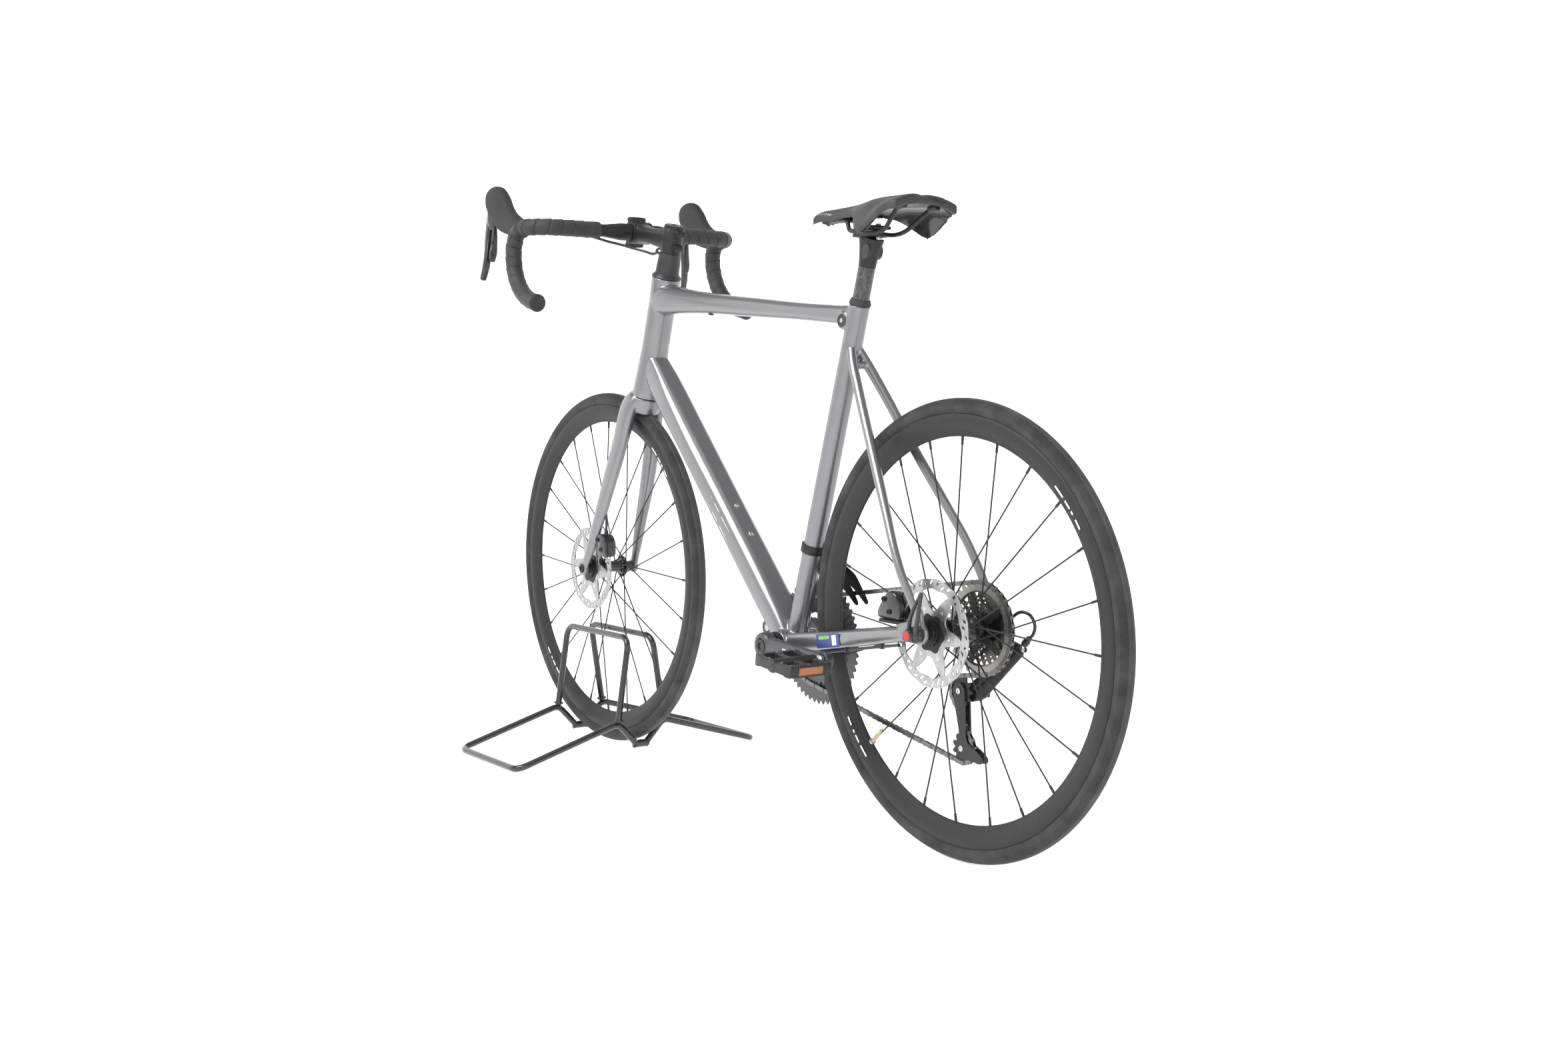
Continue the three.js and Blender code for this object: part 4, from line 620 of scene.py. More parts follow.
class Recipe:
    """One material while it is being written."""

    def __init__(self, name: str) -> None:
        """Starts a material with a bare shader."""
        self.material = bpy.data.materials.new(name)
        self.material.use_nodes = True
        self.tree = self.material.node_tree
        self.tree.nodes.clear()
        self.shader = self.node("ShaderNodeBsdfPrincipled")
        self.node("ShaderNodeOutputMaterial", inputs={"Surface": self.shader.outputs[0]})

    def node(
        self, kind: str, settings: dict | None = None, inputs: dict | None = None
    ) -> bpy.types.ShaderNode:
        """Adds a node.

        Args:
            kind: the node's type.
            settings: properties, set before the sockets.
            inputs: values or links against socket names or numbers.

        Returns:
            The node.
        """
        made = self.tree.nodes.new(kind)
        for key, value in (settings or {}).items():
            setattr(made, key, value)
        for key, value in (inputs or {}).items():
            self.feed(made.inputs[key], value)
        return made

    def feed(self, socket: bpy.types.NodeSocket, value: object) -> None:
        """Links or sets one socket."""
        if isinstance(value, Value):
            value = value.socket
        if isinstance(value, bpy.types.NodeSocket):
            self.tree.links.new(value, socket)
        elif isinstance(value, tuple) and len(value) == 3 and socket.type == "RGBA":
            socket.default_value = (*value, 1.0)
        else:
            socket.default_value = value

    def place(self) -> bpy.types.NodeSocket:
        """Object coordinates, in metres."""
        return self.node("ShaderNodeTexCoord").outputs["Object"]

    def along(self) -> tuple[Value, Value]:
        """The two values of the piece's own UV map."""
        parts = self.node(
            "ShaderNodeSeparateXYZ", inputs={0: self.node("ShaderNodeTexCoord").outputs["UV"]}
        )
        return Value(self, parts.outputs[0]), Value(self, parts.outputs[1])

    def axes(self) -> tuple[Value, Value, Value]:
        """Object X, Y and Z, in metres."""
        parts = self.node("ShaderNodeSeparateXYZ", inputs={0: self.place()})
        return tuple(Value(self, parts.outputs[k]) for k in range(3))

    def noise(self, scale: float, detail: float = 3.0, stretch: Colour = (1, 1, 1)) -> Value:
        """Cloudy noise of a scale per metre, with each axis stretched by a factor."""
        spot = self.node("ShaderNodeVectorMath", {"operation": "MULTIPLY"}, {0: self.place(), 1: stretch})
        made = self.node(
            "ShaderNodeTexNoise", inputs={"Vector": spot.outputs[0], "Scale": scale, "Detail": detail}
        )
        return Value(self, made.outputs[0])

    def cells(self, scale: float, feature: str = "F1") -> Value:
        """Distance in a field of cells of a scale per metre."""
        made = self.node(
            "ShaderNodeTexVoronoi", {"feature": feature}, {"Vector": self.place(), "Scale": scale}
        )
        return Value(self, made.outputs["Distance"])

    def mixed(self, share: Value | float, low: object, high: object) -> bpy.types.NodeSocket:
        """A colour between two, by a share."""
        made = self.node("ShaderNodeMix", {"data_type": "RGBA"}, {0: share, 6: low, 7: high})
        return made.outputs[2]

    def bump(self, height: Value, depth: float, strength: float = 1.0) -> None:
        """Relief of a depth in metres."""
        made = self.node(
            "ShaderNodeBump", inputs={"Height": height, "Distance": depth, "Strength": strength}
        )
        self.feed(self.shader.inputs["Normal"], made.outputs[0])

    def set(self, **sockets: object) -> None:
        """Sets the shader's sockets by name, with _ for a space."""
        for key, value in sockets.items():
            self.feed(self.shader.inputs[key.replace("_", " ")], value)


# ---------------------------------------------------------------- finishes
@dataclass(frozen=True)
class Finish:
    """A finish, made once and shared by the pieces that have it."""

    name: str

    def write(self, recipe: Recipe) -> None:
        """Writes the material's nodes."""

    def material(self) -> bpy.types.Material:
        """The finish as a material, from the store if it was made before."""
        title = self.name + "_finish"
        found = bpy.data.materials.get(title)
        if found is None:
            recipe = Recipe(title)
            self.write(recipe)
            found = recipe.material
        return found


@dataclass(frozen=True)
class MetallicPaint(Finish):
    """Silver paint: fine flakes under a satin clear coat, with faint cloudy dust."""

    colour: Colour = (0.245, 0.247, 0.257)
    shade: Colour = (0.2, 0.202, 0.212)
    roughness: float = 0.28

    def write(self, recipe: Recipe) -> None:
        """Flakes vary the colour, cloudy wear varies the roughness."""
        flakes = recipe.cells(2600)
        cloud = recipe.noise(14, 3)
        rub = recipe.noise(90, 5)
        tone = recipe.mixed(flakes.ramp(0.1, 0.75), self.colour, self.shade)
        tone = recipe.mixed(cloud.ramp(0.3, 0.8) * 0.12, tone, (0.3, 0.3, 0.312))
        recipe.set(
            Base_Color=tone,
            Metallic=0.72,
            Roughness=self.roughness + rub.ramp(0.35, 0.75) * 0.05,
            Coat_Weight=0.35,
            Coat_Roughness=0.12,
        )
        recipe.bump(flakes * 0.3 + recipe.noise(420, 2), 0.000006, 0.5)


@dataclass(frozen=True)
class Alloy(Finish):
    """Anodised or bare metal with a fine grain and light rubbing."""

    colour: Colour = (0.02, 0.02, 0.021)
    worn: Colour = (0.09, 0.09, 0.095)
    metallic: float = 0.6
    roughness: float = 0.36
    grain: Colour = (1, 1, 1)
    coat: float = 0.0

    def write(self, recipe: Recipe) -> None:
        """A stretched grain varies colour and roughness, and scuffs show the metal below."""
        grain = recipe.noise(900, 4, self.grain)
        scuff = recipe.noise(160, 6).ramp(0.62, 0.78)
        tone = recipe.mixed(scuff * 0.5 + grain.ramp(0.3, 0.8) * 0.25, self.colour, self.worn)
        recipe.set(
            Base_Color=tone,
            Metallic=self.metallic,
            Roughness=self.roughness + grain.ramp(0.3, 0.7) * 0.14,
            Coat_Weight=self.coat,
            Coat_Roughness=0.08,
        )
        recipe.bump(grain + scuff * 0.4, 0.00003, 0.5)


@dataclass(frozen=True)
class TurnedMetal(Finish):
    """Metal with fine rings round its axis, as a lathe or a stamping leaves it."""

    colour: Colour = (0.47, 0.47, 0.475)
    dark: Colour = (0.2, 0.2, 0.205)
    roughness: float = 0.26
    rings: float = 900.0
    centre: tuple[float, float] = (0.0, 0.0)

    def write(self, recipe: Recipe) -> None:
        """Rings are a noise of the distance from the axis, with smudges over them."""
        x, _, z = recipe.axes()
        radius = ((x - self.centre[0]) ** 2.0 + (z - self.centre[1]) ** 2.0) ** 0.5
        ring = Value(recipe, recipe.node(
            "ShaderNodeTexNoise", {"noise_dimensions": "1D"},
            {"W": radius, "Scale": self.rings, "Detail": 3.0}).outputs[0])
        smudge = recipe.noise(120, 4)
        recipe.set(
            Base_Color=recipe.mixed(ring.ramp(0.35, 0.65) * 0.5 + smudge.ramp(0.5, 0.8) * 0.3,
                                    self.colour, self.dark),
            Metallic=1.0,
            Roughness=self.roughness + smudge.ramp(0.4, 0.8) * 0.18,
        )
        recipe.bump(ring, 0.00002, 0.4)


@dataclass(frozen=True)
class Plastic(Finish):
    """Moulded plastic with a fine texture and handling marks."""

    colour: Colour = (0.014, 0.014, 0.015)
    roughness: float = 0.42
    texture: float = 0.00006
    coat: float = 0.0

    def write(self, recipe: Recipe) -> None:
        """Small cells roughen it, and broad smudges change its shine."""
        skin = recipe.cells(1500)
        smudge = recipe.noise(70, 5).ramp(0.4, 0.75)
        lighter = tuple(min(1.0, c * 1.9 + 0.012) for c in self.colour)
        recipe.set(
            Base_Color=recipe.mixed(smudge * 0.35 + skin * 0.25, self.colour, lighter),
            Roughness=self.roughness + smudge * 0.12,
            Coat_Weight=self.coat,
            Coat_Roughness=0.05,
        )
        recipe.bump(skin + recipe.noise(500, 3) * 0.6, self.texture, 0.6)


@dataclass(frozen=True)
class Rubber(Finish):
    """Matt rubber with a dusty bloom."""

    colour: Colour = (0.028, 0.028, 0.03)
    bloom: Colour = (0.085, 0.082, 0.078)
    grain: float = 2200.0
    depth: float = 0.00012

    def write(self, recipe: Recipe) -> None:
        """Grain cells make the relief, and dust gathers in clouds."""
        skin = recipe.cells(self.grain)
        dust = recipe.noise(38, 6).ramp(0.42, 0.8)
        recipe.set(
            Base_Color=recipe.mixed(dust * 0.55 + skin * 0.2, self.colour, self.bloom),
            Roughness=0.66 + dust * 0.2,
            Specular_IOR_Level=0.35,
        )
        recipe.bump(skin, self.depth, 0.7)


@dataclass(frozen=True)
class TyreRubber(Finish):
    """Tyre: smooth crown, fine slanting cuts on the shoulders, and a plain sidewall."""

    cuts: int = 620
    tread: tuple[float, float] = (0.2, 0.8)

    def write(self, recipe: Recipe) -> None:
        """U runs over the section from bead to bead and V round the wheel.

        The cuts are a zigzag of V plus a slant in U, kept to two bands of U. The crown is
        dusty and the sidewall has faint rings.
        """
        over, round_ = recipe.along()
        off = (over - 0.5).size()
        band = off.within(0.085, 0.245)
        cut = (round_ * self.cuts + off * 46.0).zigzag().ramp(0.25, 0.6)
        ring = (off * 90.0).zigzag() * off.above(0.3)
        edge = off.within(0.245, 0.252)
        dust = recipe.noise(26, 6).ramp(0.4, 0.8)
        wear = off.below(0.085)
        grain = recipe.noise(700, 4)
        dusty = dust * 0.55 + wear * 0.28 + grain.ramp(0.4, 0.8) * 0.15
        recipe.set(
            Base_Color=recipe.mixed(dusty, (0.02, 0.02, 0.0215), (0.1, 0.096, 0.093)),
            Roughness=0.7 + dust * 0.16,
            Specular_IOR_Level=0.35,
        )
        recipe.bump(band * cut + ring * 0.15 + edge + grain * 0.15, 0.0007, 0.8)


@dataclass(frozen=True)
class WovenTape(Finish):
    """Bar tape: soft, with a fine pattern of small dimples and a dull sheen."""

    colour: Colour = (0.012, 0.012, 0.013)

    def write(self, recipe: Recipe) -> None:
        """Dimples are cells, and rubbed stretches are a slow noise."""
        dimple = recipe.cells(900, "SMOOTH_F1")
        fine = recipe.noise(2600, 2)
        rubbed = recipe.noise(45, 4).ramp(0.45, 0.75)
        recipe.set(
            Base_Color=recipe.mixed(rubbed * 0.4 + fine * 0.3, self.colour, (0.05, 0.05, 0.052)),
            Roughness=0.6 + rubbed * 0.12,
            Sheen_Weight=0.15,
            Sheen_Roughness=0.4,
        )
        recipe.bump(dimple * 0.8 + fine * 0.4, 0.0003, 0.7)


@dataclass(frozen=True)
class SaddleCover(Finish):
    """Grained black cover with two rows of small light dots on its nose."""

    nose: tuple[float, float, float] = (0.0, 0.0, 0.0)

    def write(self, recipe: Recipe) -> None:
        """Dots sit at equal steps behind the nose, at a set distance from the middle plane."""
        x, y, _ = recipe.axes()
        grain = recipe.cells(1700)
        back = (self.nose[0] - x) * 1000.0
        spot = ((back / 5.0).fraction() - 0.5) * 5.0
        off = (y.size() * 1000.0 - (15.0 + back * 0.06))
        dot = ((spot**2.0 + off**2.0) ** 0.5).below(0.85) * back.within(10.0, 62.0)
        rubbed = recipe.noise(30, 5).ramp(0.4, 0.8)
        tone = recipe.mixed(rubbed * 0.35 + grain * 0.25, (0.017, 0.017, 0.018), (0.06, 0.06, 0.062))
        recipe.set(
            Base_Color=recipe.mixed(dot, tone, (0.6, 0.6, 0.6)),
            Roughness=0.5 + rubbed * 0.12 - dot * 0.1,
        )
        recipe.bump(grain * 0.8 + recipe.noise(600, 3) * 0.5, 0.00018, 0.7)


@dataclass(frozen=True)
class FlakedCarbon(Finish):
    """Pressed carbon flakes under clear lacquer."""

    def write(self, recipe: Recipe) -> None:
        """Each cell of a stretched field has its own grey."""
        spot = recipe.node(
            "ShaderNodeVectorMath", {"operation": "MULTIPLY"}, {0: recipe.place(), 1: (1.0, 1.0, 0.45)}
        )
        flake = recipe.node("ShaderNodeTexVoronoi", inputs={"Vector": spot.outputs[0], "Scale": 420.0})
        grey = Value(recipe, recipe.node(
            "ShaderNodeSeparateColor", inputs={0: flake.outputs["Color"]}).outputs[0])
        speck = recipe.noise(1800, 2).ramp(0.56, 0.72)
        recipe.set(
            Base_Color=recipe.mixed(grey * 0.6 + speck * 0.35, (0.016, 0.016, 0.017), (0.12, 0.12, 0.125)),
            Metallic=0.35,
            Roughness=0.3 + grey * 0.12,
            Coat_Weight=0.6,
            Coat_Roughness=0.08,
        )
        recipe.bump(recipe.noise(300, 3), 0.00004, 0.4)


@dataclass(frozen=True)
class Reflector(Finish):
    """Amber reflector: small pyramids behind a clear face, with a faint painted glow."""

    colour: Colour = (0.3, 0.075, 0.004)

    def write(self, recipe: Recipe) -> None:
        """Two crossed zigzags make the pyramids and a faint painted glow that varies from facet to facet."""
        x, y, z = recipe.axes()
        facet = ((y + z) * 260.0).zigzag() + ((y - z) * 260.0).zigzag()
        # The emission below is painted light: a faint amber glow that stands in for light thrown back, brighter on some
        # facets.
        recipe.set(
            Base_Color=recipe.mixed(facet * 0.4, self.colour, (0.5, 0.17, 0.02)),
            Roughness=0.18 + facet * 0.1,
            Coat_Weight=0.8,
            Coat_Roughness=0.04,
            Emission_Color=recipe.mixed(facet * 0.5, (0.5, 0.12, 0.0), (0.9, 0.3, 0.02)),
            Emission_Strength=0.03,
        )
        recipe.bump(facet, 0.0006, 0.8)


@dataclass(frozen=True)
class PowderCoat(Finish):
    """Gloss black powder coat with orange peel and grey scuffs low down."""

    def write(self, recipe: Recipe) -> None:
        """Peel is a soft noise. Scuffs gather near the floor."""
        _, _, z = recipe.axes()
        peel = recipe.noise(330, 2)
        scuff = recipe.noise(210, 6).ramp(0.66, 0.76) * (1 - z.ramp(0.002, 0.09) * 0.8)
        recipe.set(
            Base_Color=recipe.mixed(scuff * 0.6 + peel * 0.08, (0.012, 0.012, 0.013), (0.2, 0.2, 0.2)),
            Roughness=0.2 + peel.ramp(0.3, 0.7) * 0.1 + scuff * 0.3,
            Coat_Weight=0.4,
            Coat_Roughness=0.06,
        )
        recipe.bump(peel + scuff * -0.3, 0.00012, 0.6)


@dataclass(frozen=True)
class FloorPaint(Finish):
    """Pale seamless floor with a very faint mottle."""

    colour: Colour = (0.86, 0.86, 0.86)

    def write(self, recipe: Recipe) -> None:
        """A slow noise shifts the tone, and the backdrop glows more the further off it is."""
        cloud = recipe.noise(1.5, 3)
        x, y, _ = recipe.axes()
        far = (x * 0.82 - y * 0.57).ramp(-2.5, 6.0)
        recipe.set(
            Base_Color=recipe.mixed(cloud * 0.15, self.colour, (0.82, 0.82, 0.825)),
            Roughness=0.62,
            Emission_Color=recipe.mixed(far, (0.42, 0.42, 0.42), (1.0, 1.0, 1.0)),
            Emission_Strength=1.0,
        )


PAINT = MetallicPaint("silver_paint")
BLACK_ALLOY = Alloy("black_alloy")
RIM_BLACK = Alloy("rim_black", (0.017, 0.017, 0.018), (0.055, 0.055, 0.058), 0.35, 0.42)
SPOKE_BLACK = Alloy("spoke_black", (0.008, 0.008, 0.009), (0.035, 0.035, 0.036), 0.0, 0.5)
DARK_ALLOY = Alloy("crank_grey", (0.075, 0.076, 0.08), (0.17, 0.17, 0.18), 0.75, 0.36, coat=0.2)
STEEL = Alloy("bright_steel", (0.58, 0.58, 0.585), (0.36, 0.36, 0.37), 1.0, 0.24, (1, 0.25, 1))
CHAIN_STEEL = Alloy("chain_steel", (0.2, 0.197, 0.19), (0.07, 0.067, 0.063), 1.0, 0.26)
BRASS = Alloy("valve_brass", (0.56, 0.5, 0.36), (0.3, 0.27, 0.2), 1.0, 0.28)
COGS = Alloy("cog_nickel", (0.33, 0.32, 0.305), (0.15, 0.143, 0.135), 1.0, 0.3)
# Darker than COGS as painted shade: the smaller cogs lie deeper in the stack, behind the largest.
SHADED_SMALL_COGS = Alloy("small_cog_nickel", (0.13, 0.126, 0.12), (0.05, 0.048, 0.045), 1.0, 0.3)
MATT_PLASTIC = Plastic("matt_plastic")
GLOSS_PLASTIC = Plastic("gloss_plastic", (0.009, 0.009, 0.01), 0.16, 0.00002, 0.6)
HOSE_PLASTIC = Plastic("hose_black", (0.013, 0.013, 0.014), 0.3, 0.00003)
WHITE_INK = Plastic("white_ink", (0.72, 0.72, 0.72), 0.4, 0.00001)
BLUE_LABEL = Plastic("blue_label", (0.018, 0.04, 0.19), 0.35, 0.00001)
GREEN_LABEL = Plastic("green_label", (0.16, 0.4, 0.08), 0.35, 0.00001)
RED_CAP = Plastic("red_cap", (0.4, 0.012, 0.01), 0.35, 0.00001)
AMBER_TAG = Plastic("amber_tag", (0.6, 0.25, 0.02), 0.4, 0.00002)
HOOD_RUBBER = Rubber("hood_rubber", (0.017, 0.0175, 0.019), (0.05, 0.05, 0.05), 1500.0, 0.00016)
SEAL_RUBBER = Rubber("seal_rubber")
TYRE = TyreRubber("tyre_rubber")
TAPE = WovenTape("bar_tape")
CARBON = FlakedCarbon("flaked_carbon")
AMBER = Reflector("amber_reflector")
STAND_PAINT = PowderCoat("stand_paint")
FLOOR = FloorPaint("floor_paint")


class Slot(Enum):
    """Material slots of the part's record."""

    SILVER = "silver_paint"
    TYRE = "tyre_rubber"
    BLACK = "black_alloy"
    WIRE = "black_steel"
    STEEL = "bare_steel"
    DARK = "dark_alloy"
    PLASTIC = "black_plastic"
    GLOSS = "gloss_plastic"
    GRIP = "grip_rubber"
    COVER = "saddle_cover"
    STAND = "stand_paint"


# ---------------------------------------------------------------- making pieces
def mesh_from(name: str, shell: Shell) -> bpy.types.Mesh:
    """A Blender mesh from a shell whose points are in metres.

    Args:
        name: name of the mesh.
        shell: the surface.

    Returns:
        The mesh, with a UV map.
    """
    mesh = bpy.data.meshes.new(name)
    corners = np.concatenate([f.reshape(-1) for f in shell.faces])
    sizes = np.concatenate([np.full(len(f), f.shape[1]) for f in shell.faces])
    mesh.vertices.add(len(shell.points))
    mesh.vertices.foreach_set("co", shell.points.astype(np.float32).reshape(-1))
    mesh.loops.add(len(corners))
    mesh.loops.foreach_set("vertex_index", corners.astype(np.int32))
    mesh.polygons.add(len(sizes))
    mesh.polygons.foreach_set("loop_start", (np.cumsum(sizes) - sizes).astype(np.int32))
    mesh.update(calc_edges=True)
    layer = mesh.uv_layers.new(name="UVMap")
    flat = np.concatenate([u.reshape(-1, 2) for u in shell.uvs])
    layer.data.foreach_set("uv", flat.astype(np.float32).reshape(-1))
    mesh.validate()
    return mesh


def shade(mesh: bpy.types.Mesh, angle: float) -> None:
    """Smooth shading with edges sharper than an angle, in degrees, left crisp."""
    mesh.polygons.foreach_set("use_smooth", np.ones(len(mesh.polygons), bool))
    mesh.set_sharp_from_angle(angle=math.radians(angle))


def piece(
    name: str,
    shell: Shell,
    finish: Finish,
    slot: Slot,
    body: str,
    place: Callable[[Array], Array] = bike_to_floor,
    nodes: Sequence[str] = (),
    bevel: float = 0.0,
    angle: float = 35.0,
) -> bpy.types.Object:
    """One finished piece of the model.

    Args:
        name: the piece's name.
        shell: its surface in millimetres.
        finish: what it is finished with.
        slot: the record's slot that the finish belongs to.
        body: the moving body that it rides on.
        place: millimetres to metres on the floor.
        nodes: CAD nodes that it stands for.
        bevel: width of the rounding on its sharp edges, in millimetres.
        angle: edges sharper than this stay crisp.

    Returns:
        The object, riding on its body.
    """
    mesh = mesh_from(name, shell.moved(place))
    return dressed(name, mesh, finish, body, nodes, bevel, angle)


def dressed(
    name: str,
    mesh: bpy.types.Mesh,
    finish: Finish,
    body: str,
    nodes: Sequence[str] = (),
    bevel: float = 0.0,
    angle: float = 35.0,
) -> bpy.types.Object:
    """A mesh as a finished piece. See piece for the arguments."""
    shade(mesh, angle)
    obj = bpy.data.objects.new(name, mesh)
    bpy.context.scene.collection.objects.link(obj)
    mesh.materials.append(finish.material())
    if bevel:
        edge = obj.modifiers.new("edges", "BEVEL")
        edge.width = bevel * MM
        edge.segments = 2
        edge.limit_method = "ANGLE"
        edge.angle_limit = math.radians(angle)
        edge.harden_normals = False
    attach(obj, body)
    if nodes:
        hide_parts(*nodes)
    LOG.info("%s: %d faces", name, len(mesh.polygons))
    return obj


def welded(name: str, shell: Shell, voxel: float, rounds: int) -> bpy.types.Mesh:
    """Overlapping closed shells fused into one skin with soft welds.

    Formula: the shells are rebuilt from a grid of cubes, and each point is moved repeatedly
    towards the mean of its neighbours. It then settles on the nearest point of the shells, so
    that flat faces are flat again, and is evened out a few times more.

    Args:
        name: name of the mesh.
        shell: closed shells, in metres.
        voxel: size of the cubes, in millimetres.
        rounds: how many times the points are smoothed.

    Returns:
        The fused mesh.
    """
    blank = bpy.data.objects.new(name + "_blank", mesh_from(name + "_blank", shell))
    bpy.context.scene.collection.objects.link(blank)
    remesh = blank.modifiers.new("fuse", "REMESH")
    remesh.mode = "VOXEL"
    remesh.voxel_size = voxel * MM
    smooth = blank.modifiers.new("soften", "SMOOTH")
    smooth.factor = 0.5
    smooth.iterations = rounds
    guide = bpy.data.objects.new(name + "_guide", mesh_from(name + "_guide", shell))
    bpy.context.scene.collection.objects.link(guide)
    settle = blank.modifiers.new("settle", "SHRINKWRAP")
    settle.target = guide
    settle.wrap_method = "NEAREST_SURFACEPOINT"
    even = blank.modifiers.new("even", "SMOOTH")
    even.factor = 0.5
    even.iterations = 5
    graph = bpy.context.evaluated_depsgraph_get()
    fused = bpy.data.meshes.new_from_object(blank.evaluated_get(graph))
    fused.name = name
    for spare in (blank, guide):
        old = spare.data
        bpy.data.objects.remove(spare)
        bpy.data.meshes.remove(old)
    return fused


# ---------------------------------------------------------------- wheels
@dataclass
class Wheel:
    """A spoked wheel with its tyre, rim, spokes, hub, brake rotor and valve."""

    prefix: str
    axle: Array
    body: str
    flanges: tuple[float, float]
    flange_radius: float
    half_width: float
    rotor_y: float
    right_barrel: float
    valve_angle: float
    mark_angle: float = 0.0
    radius: float = WHEEL_RADIUS
    casing: float = TYRE_RADIUS
    rim_outer: float = 316.0
    rim_depth: float = 33.0
    rim_half: float = 11.2
    spokes: int = 24
    rotor_radius: float = 80.0

    def name(self, part: str) -> str:
        """Name of one of this wheel's pieces."""
        return f"{self.prefix}_{part}_look"

    def ring(self, profile: Sequence[Sequence[float]], segments: int) -> Shell:
        """A profile of radius and Y turned about this wheel's axle."""
        return revolved(profile, self.axle, segments=segments)

    def tyre(self) -> None:
        """Round casing with slightly raised shoulders, and a bead tucked into the rim.

        Formula: the section is an arc of the casing's radius from one bead to the other, with
        the crown drawn 0.7 mm further out, closed by the same arc 3 mm smaller.
        """
        centre = self.radius - self.casing
        foot = math.asin((self.rim_outer - centre - 3) / self.casing)
        angle = np.linspace(foot, math.pi - foot, 41)
        crown = 0.6 * np.exp(-(((angle - math.pi / 2) / 0.42) ** 2)) - 0.6
        outer = np.stack([centre + (self.casing + crown) * np.sin(angle),
                          -(self.casing + crown * 0.2) * np.cos(angle)], -1)
        inner = np.stack([centre + 10.6 * np.sin(angle[::4]), -10.6 * np.cos(angle[::4])], -1)[::-1]
        ring = np.concatenate([outer, inner])
        shell = self.ring([*ring, ring[0]], 240)
        rows = len(ring)
        for uv in shell.uvs:
            uv[..., 0] = np.clip(uv[..., 0] * rows / 40, 0, 1)
        piece(self.name("tyre"), shell, TYRE, Slot.TYRE, self.body,
              nodes=[self.prefix + "_tyre"])

    def rim(self) -> None:
        """Deep black rim: hooked edges, flat brake-less flanks, and a rounded spoke bed."""
        inner, half, outer = self.rim_outer - self.rim_depth, self.rim_half, self.rim_outer
        turn = np.linspace(math.radians(200), math.radians(270), 7)
        nose = [(inner + 4.2 + 4.2 * math.sin(a), 3.6 * math.cos(a)) for a in turn]
        left = [(outer - 3, -half + 3), (outer, -half + 2.2), (outer + 0.4, -half + 1),
                (outer - 0.4, -half + 0.1), (outer - 8, -half), (outer - 13, -half + 0.25),
                (outer - 20, -half + 2.3), (inner + 6, -5.2), *nose]
        ring = left + [(r, -y) for r, y in left[::-1]] + [(outer - 9, half - 3), (outer - 11, 4),
                                                        (outer - 11, -4), (outer - 9, -half + 3)]
        piece(self.name("rim"), self.ring([*ring, ring[0]], 180), RIM_BLACK, Slot.BLACK, self.body,
              nodes=[self.prefix + "_rim"], angle=50)
        self.marks()

    def marks(self) -> None:
        """Plain grey dashes printed on both flanks of the rim."""
        shells = []
        for middle in np.radians([0, 180]) + self.mark_angle:
            for offset, length in ((-0.12, 0.07), (-0.03, 0.045), (0.03, 0.018), (0.075, 0.05)):
                angle = np.linspace(0, length, 8) + middle + offset
                rows = []
                for radius, y in ((300.5, 11.17), (297.5, 10.85)):
                    flat = polar(radius, angle) + self.axle[[0, 2]]
                    rows.append(np.insert(flat, 1, y, axis=1))
                strip = np.stack(rows)
                lifted = strip + np.array([0.0, 0.12, 0.0])
                loop = np.stack([strip[0], lifted[0], lifted[1], strip[1]])
                shells.append(sheet(loop.transpose(1, 0, 2)))
        piece(self.name("rim_marks"), both_sides(joined(shells)), WHITE_INK, Slot.BLACK, self.body)

    def wires(self) -> None:
        """Spokes from both flanges, each crossing two on its own side, and their nipples.

        Formula: a spoke leaves the flange hole and ends at the rim two spoke steps of its own
        side ahead or behind. Its elbow lies across the flange.
        """
        per_side = self.spokes // 2
        bed = self.rim_outer - self.rim_depth
        wires, nipples = [], []
        for y, shift in ((self.flanges[0], 0.0), (self.flanges[1], math.pi / per_side)):
            for k in range(per_side):
                lead = (-1 if k % 2 else 1) * 2 * TAU / per_side
                at = shift + k * TAU / per_side
                side = (1 if k % 2 else -1) * math.copysign(2.2, y)
                hole = np.array([math.cos(at), 0, math.sin(at)]) * (self.flange_radius - 3.5)
                end = np.array([math.cos(at + lead), 0, math.sin(at + lead)]) * (bed + 1)
                start = hole + np.array([0, y - math.copysign(1.5, y) + side, 0])
                toward = (end - start) / np.linalg.norm(end - start)
                path = np.stack([start - np.array([0, side * 1.6, 0]), start, start + toward * 3, end])
                wires.append(rod(path + self.axle, 1.25, 8))
                outer = np.stack([end - toward * 13, end - toward * 12.5, end - toward * 1, end + toward * 4])
                nipples.append(rod(outer + self.axle, np.array([1.5, 2.1, 2.1, 2.1]), 6))
        piece(self.name("spokes"), joined(wires), SPOKE_BLACK, Slot.WIRE, self.body,
              nodes=[self.prefix + "_spokes"])
        piece(self.name("nipples"), joined(nipples), SPOKE_BLACK, Slot.WIRE, self.body)

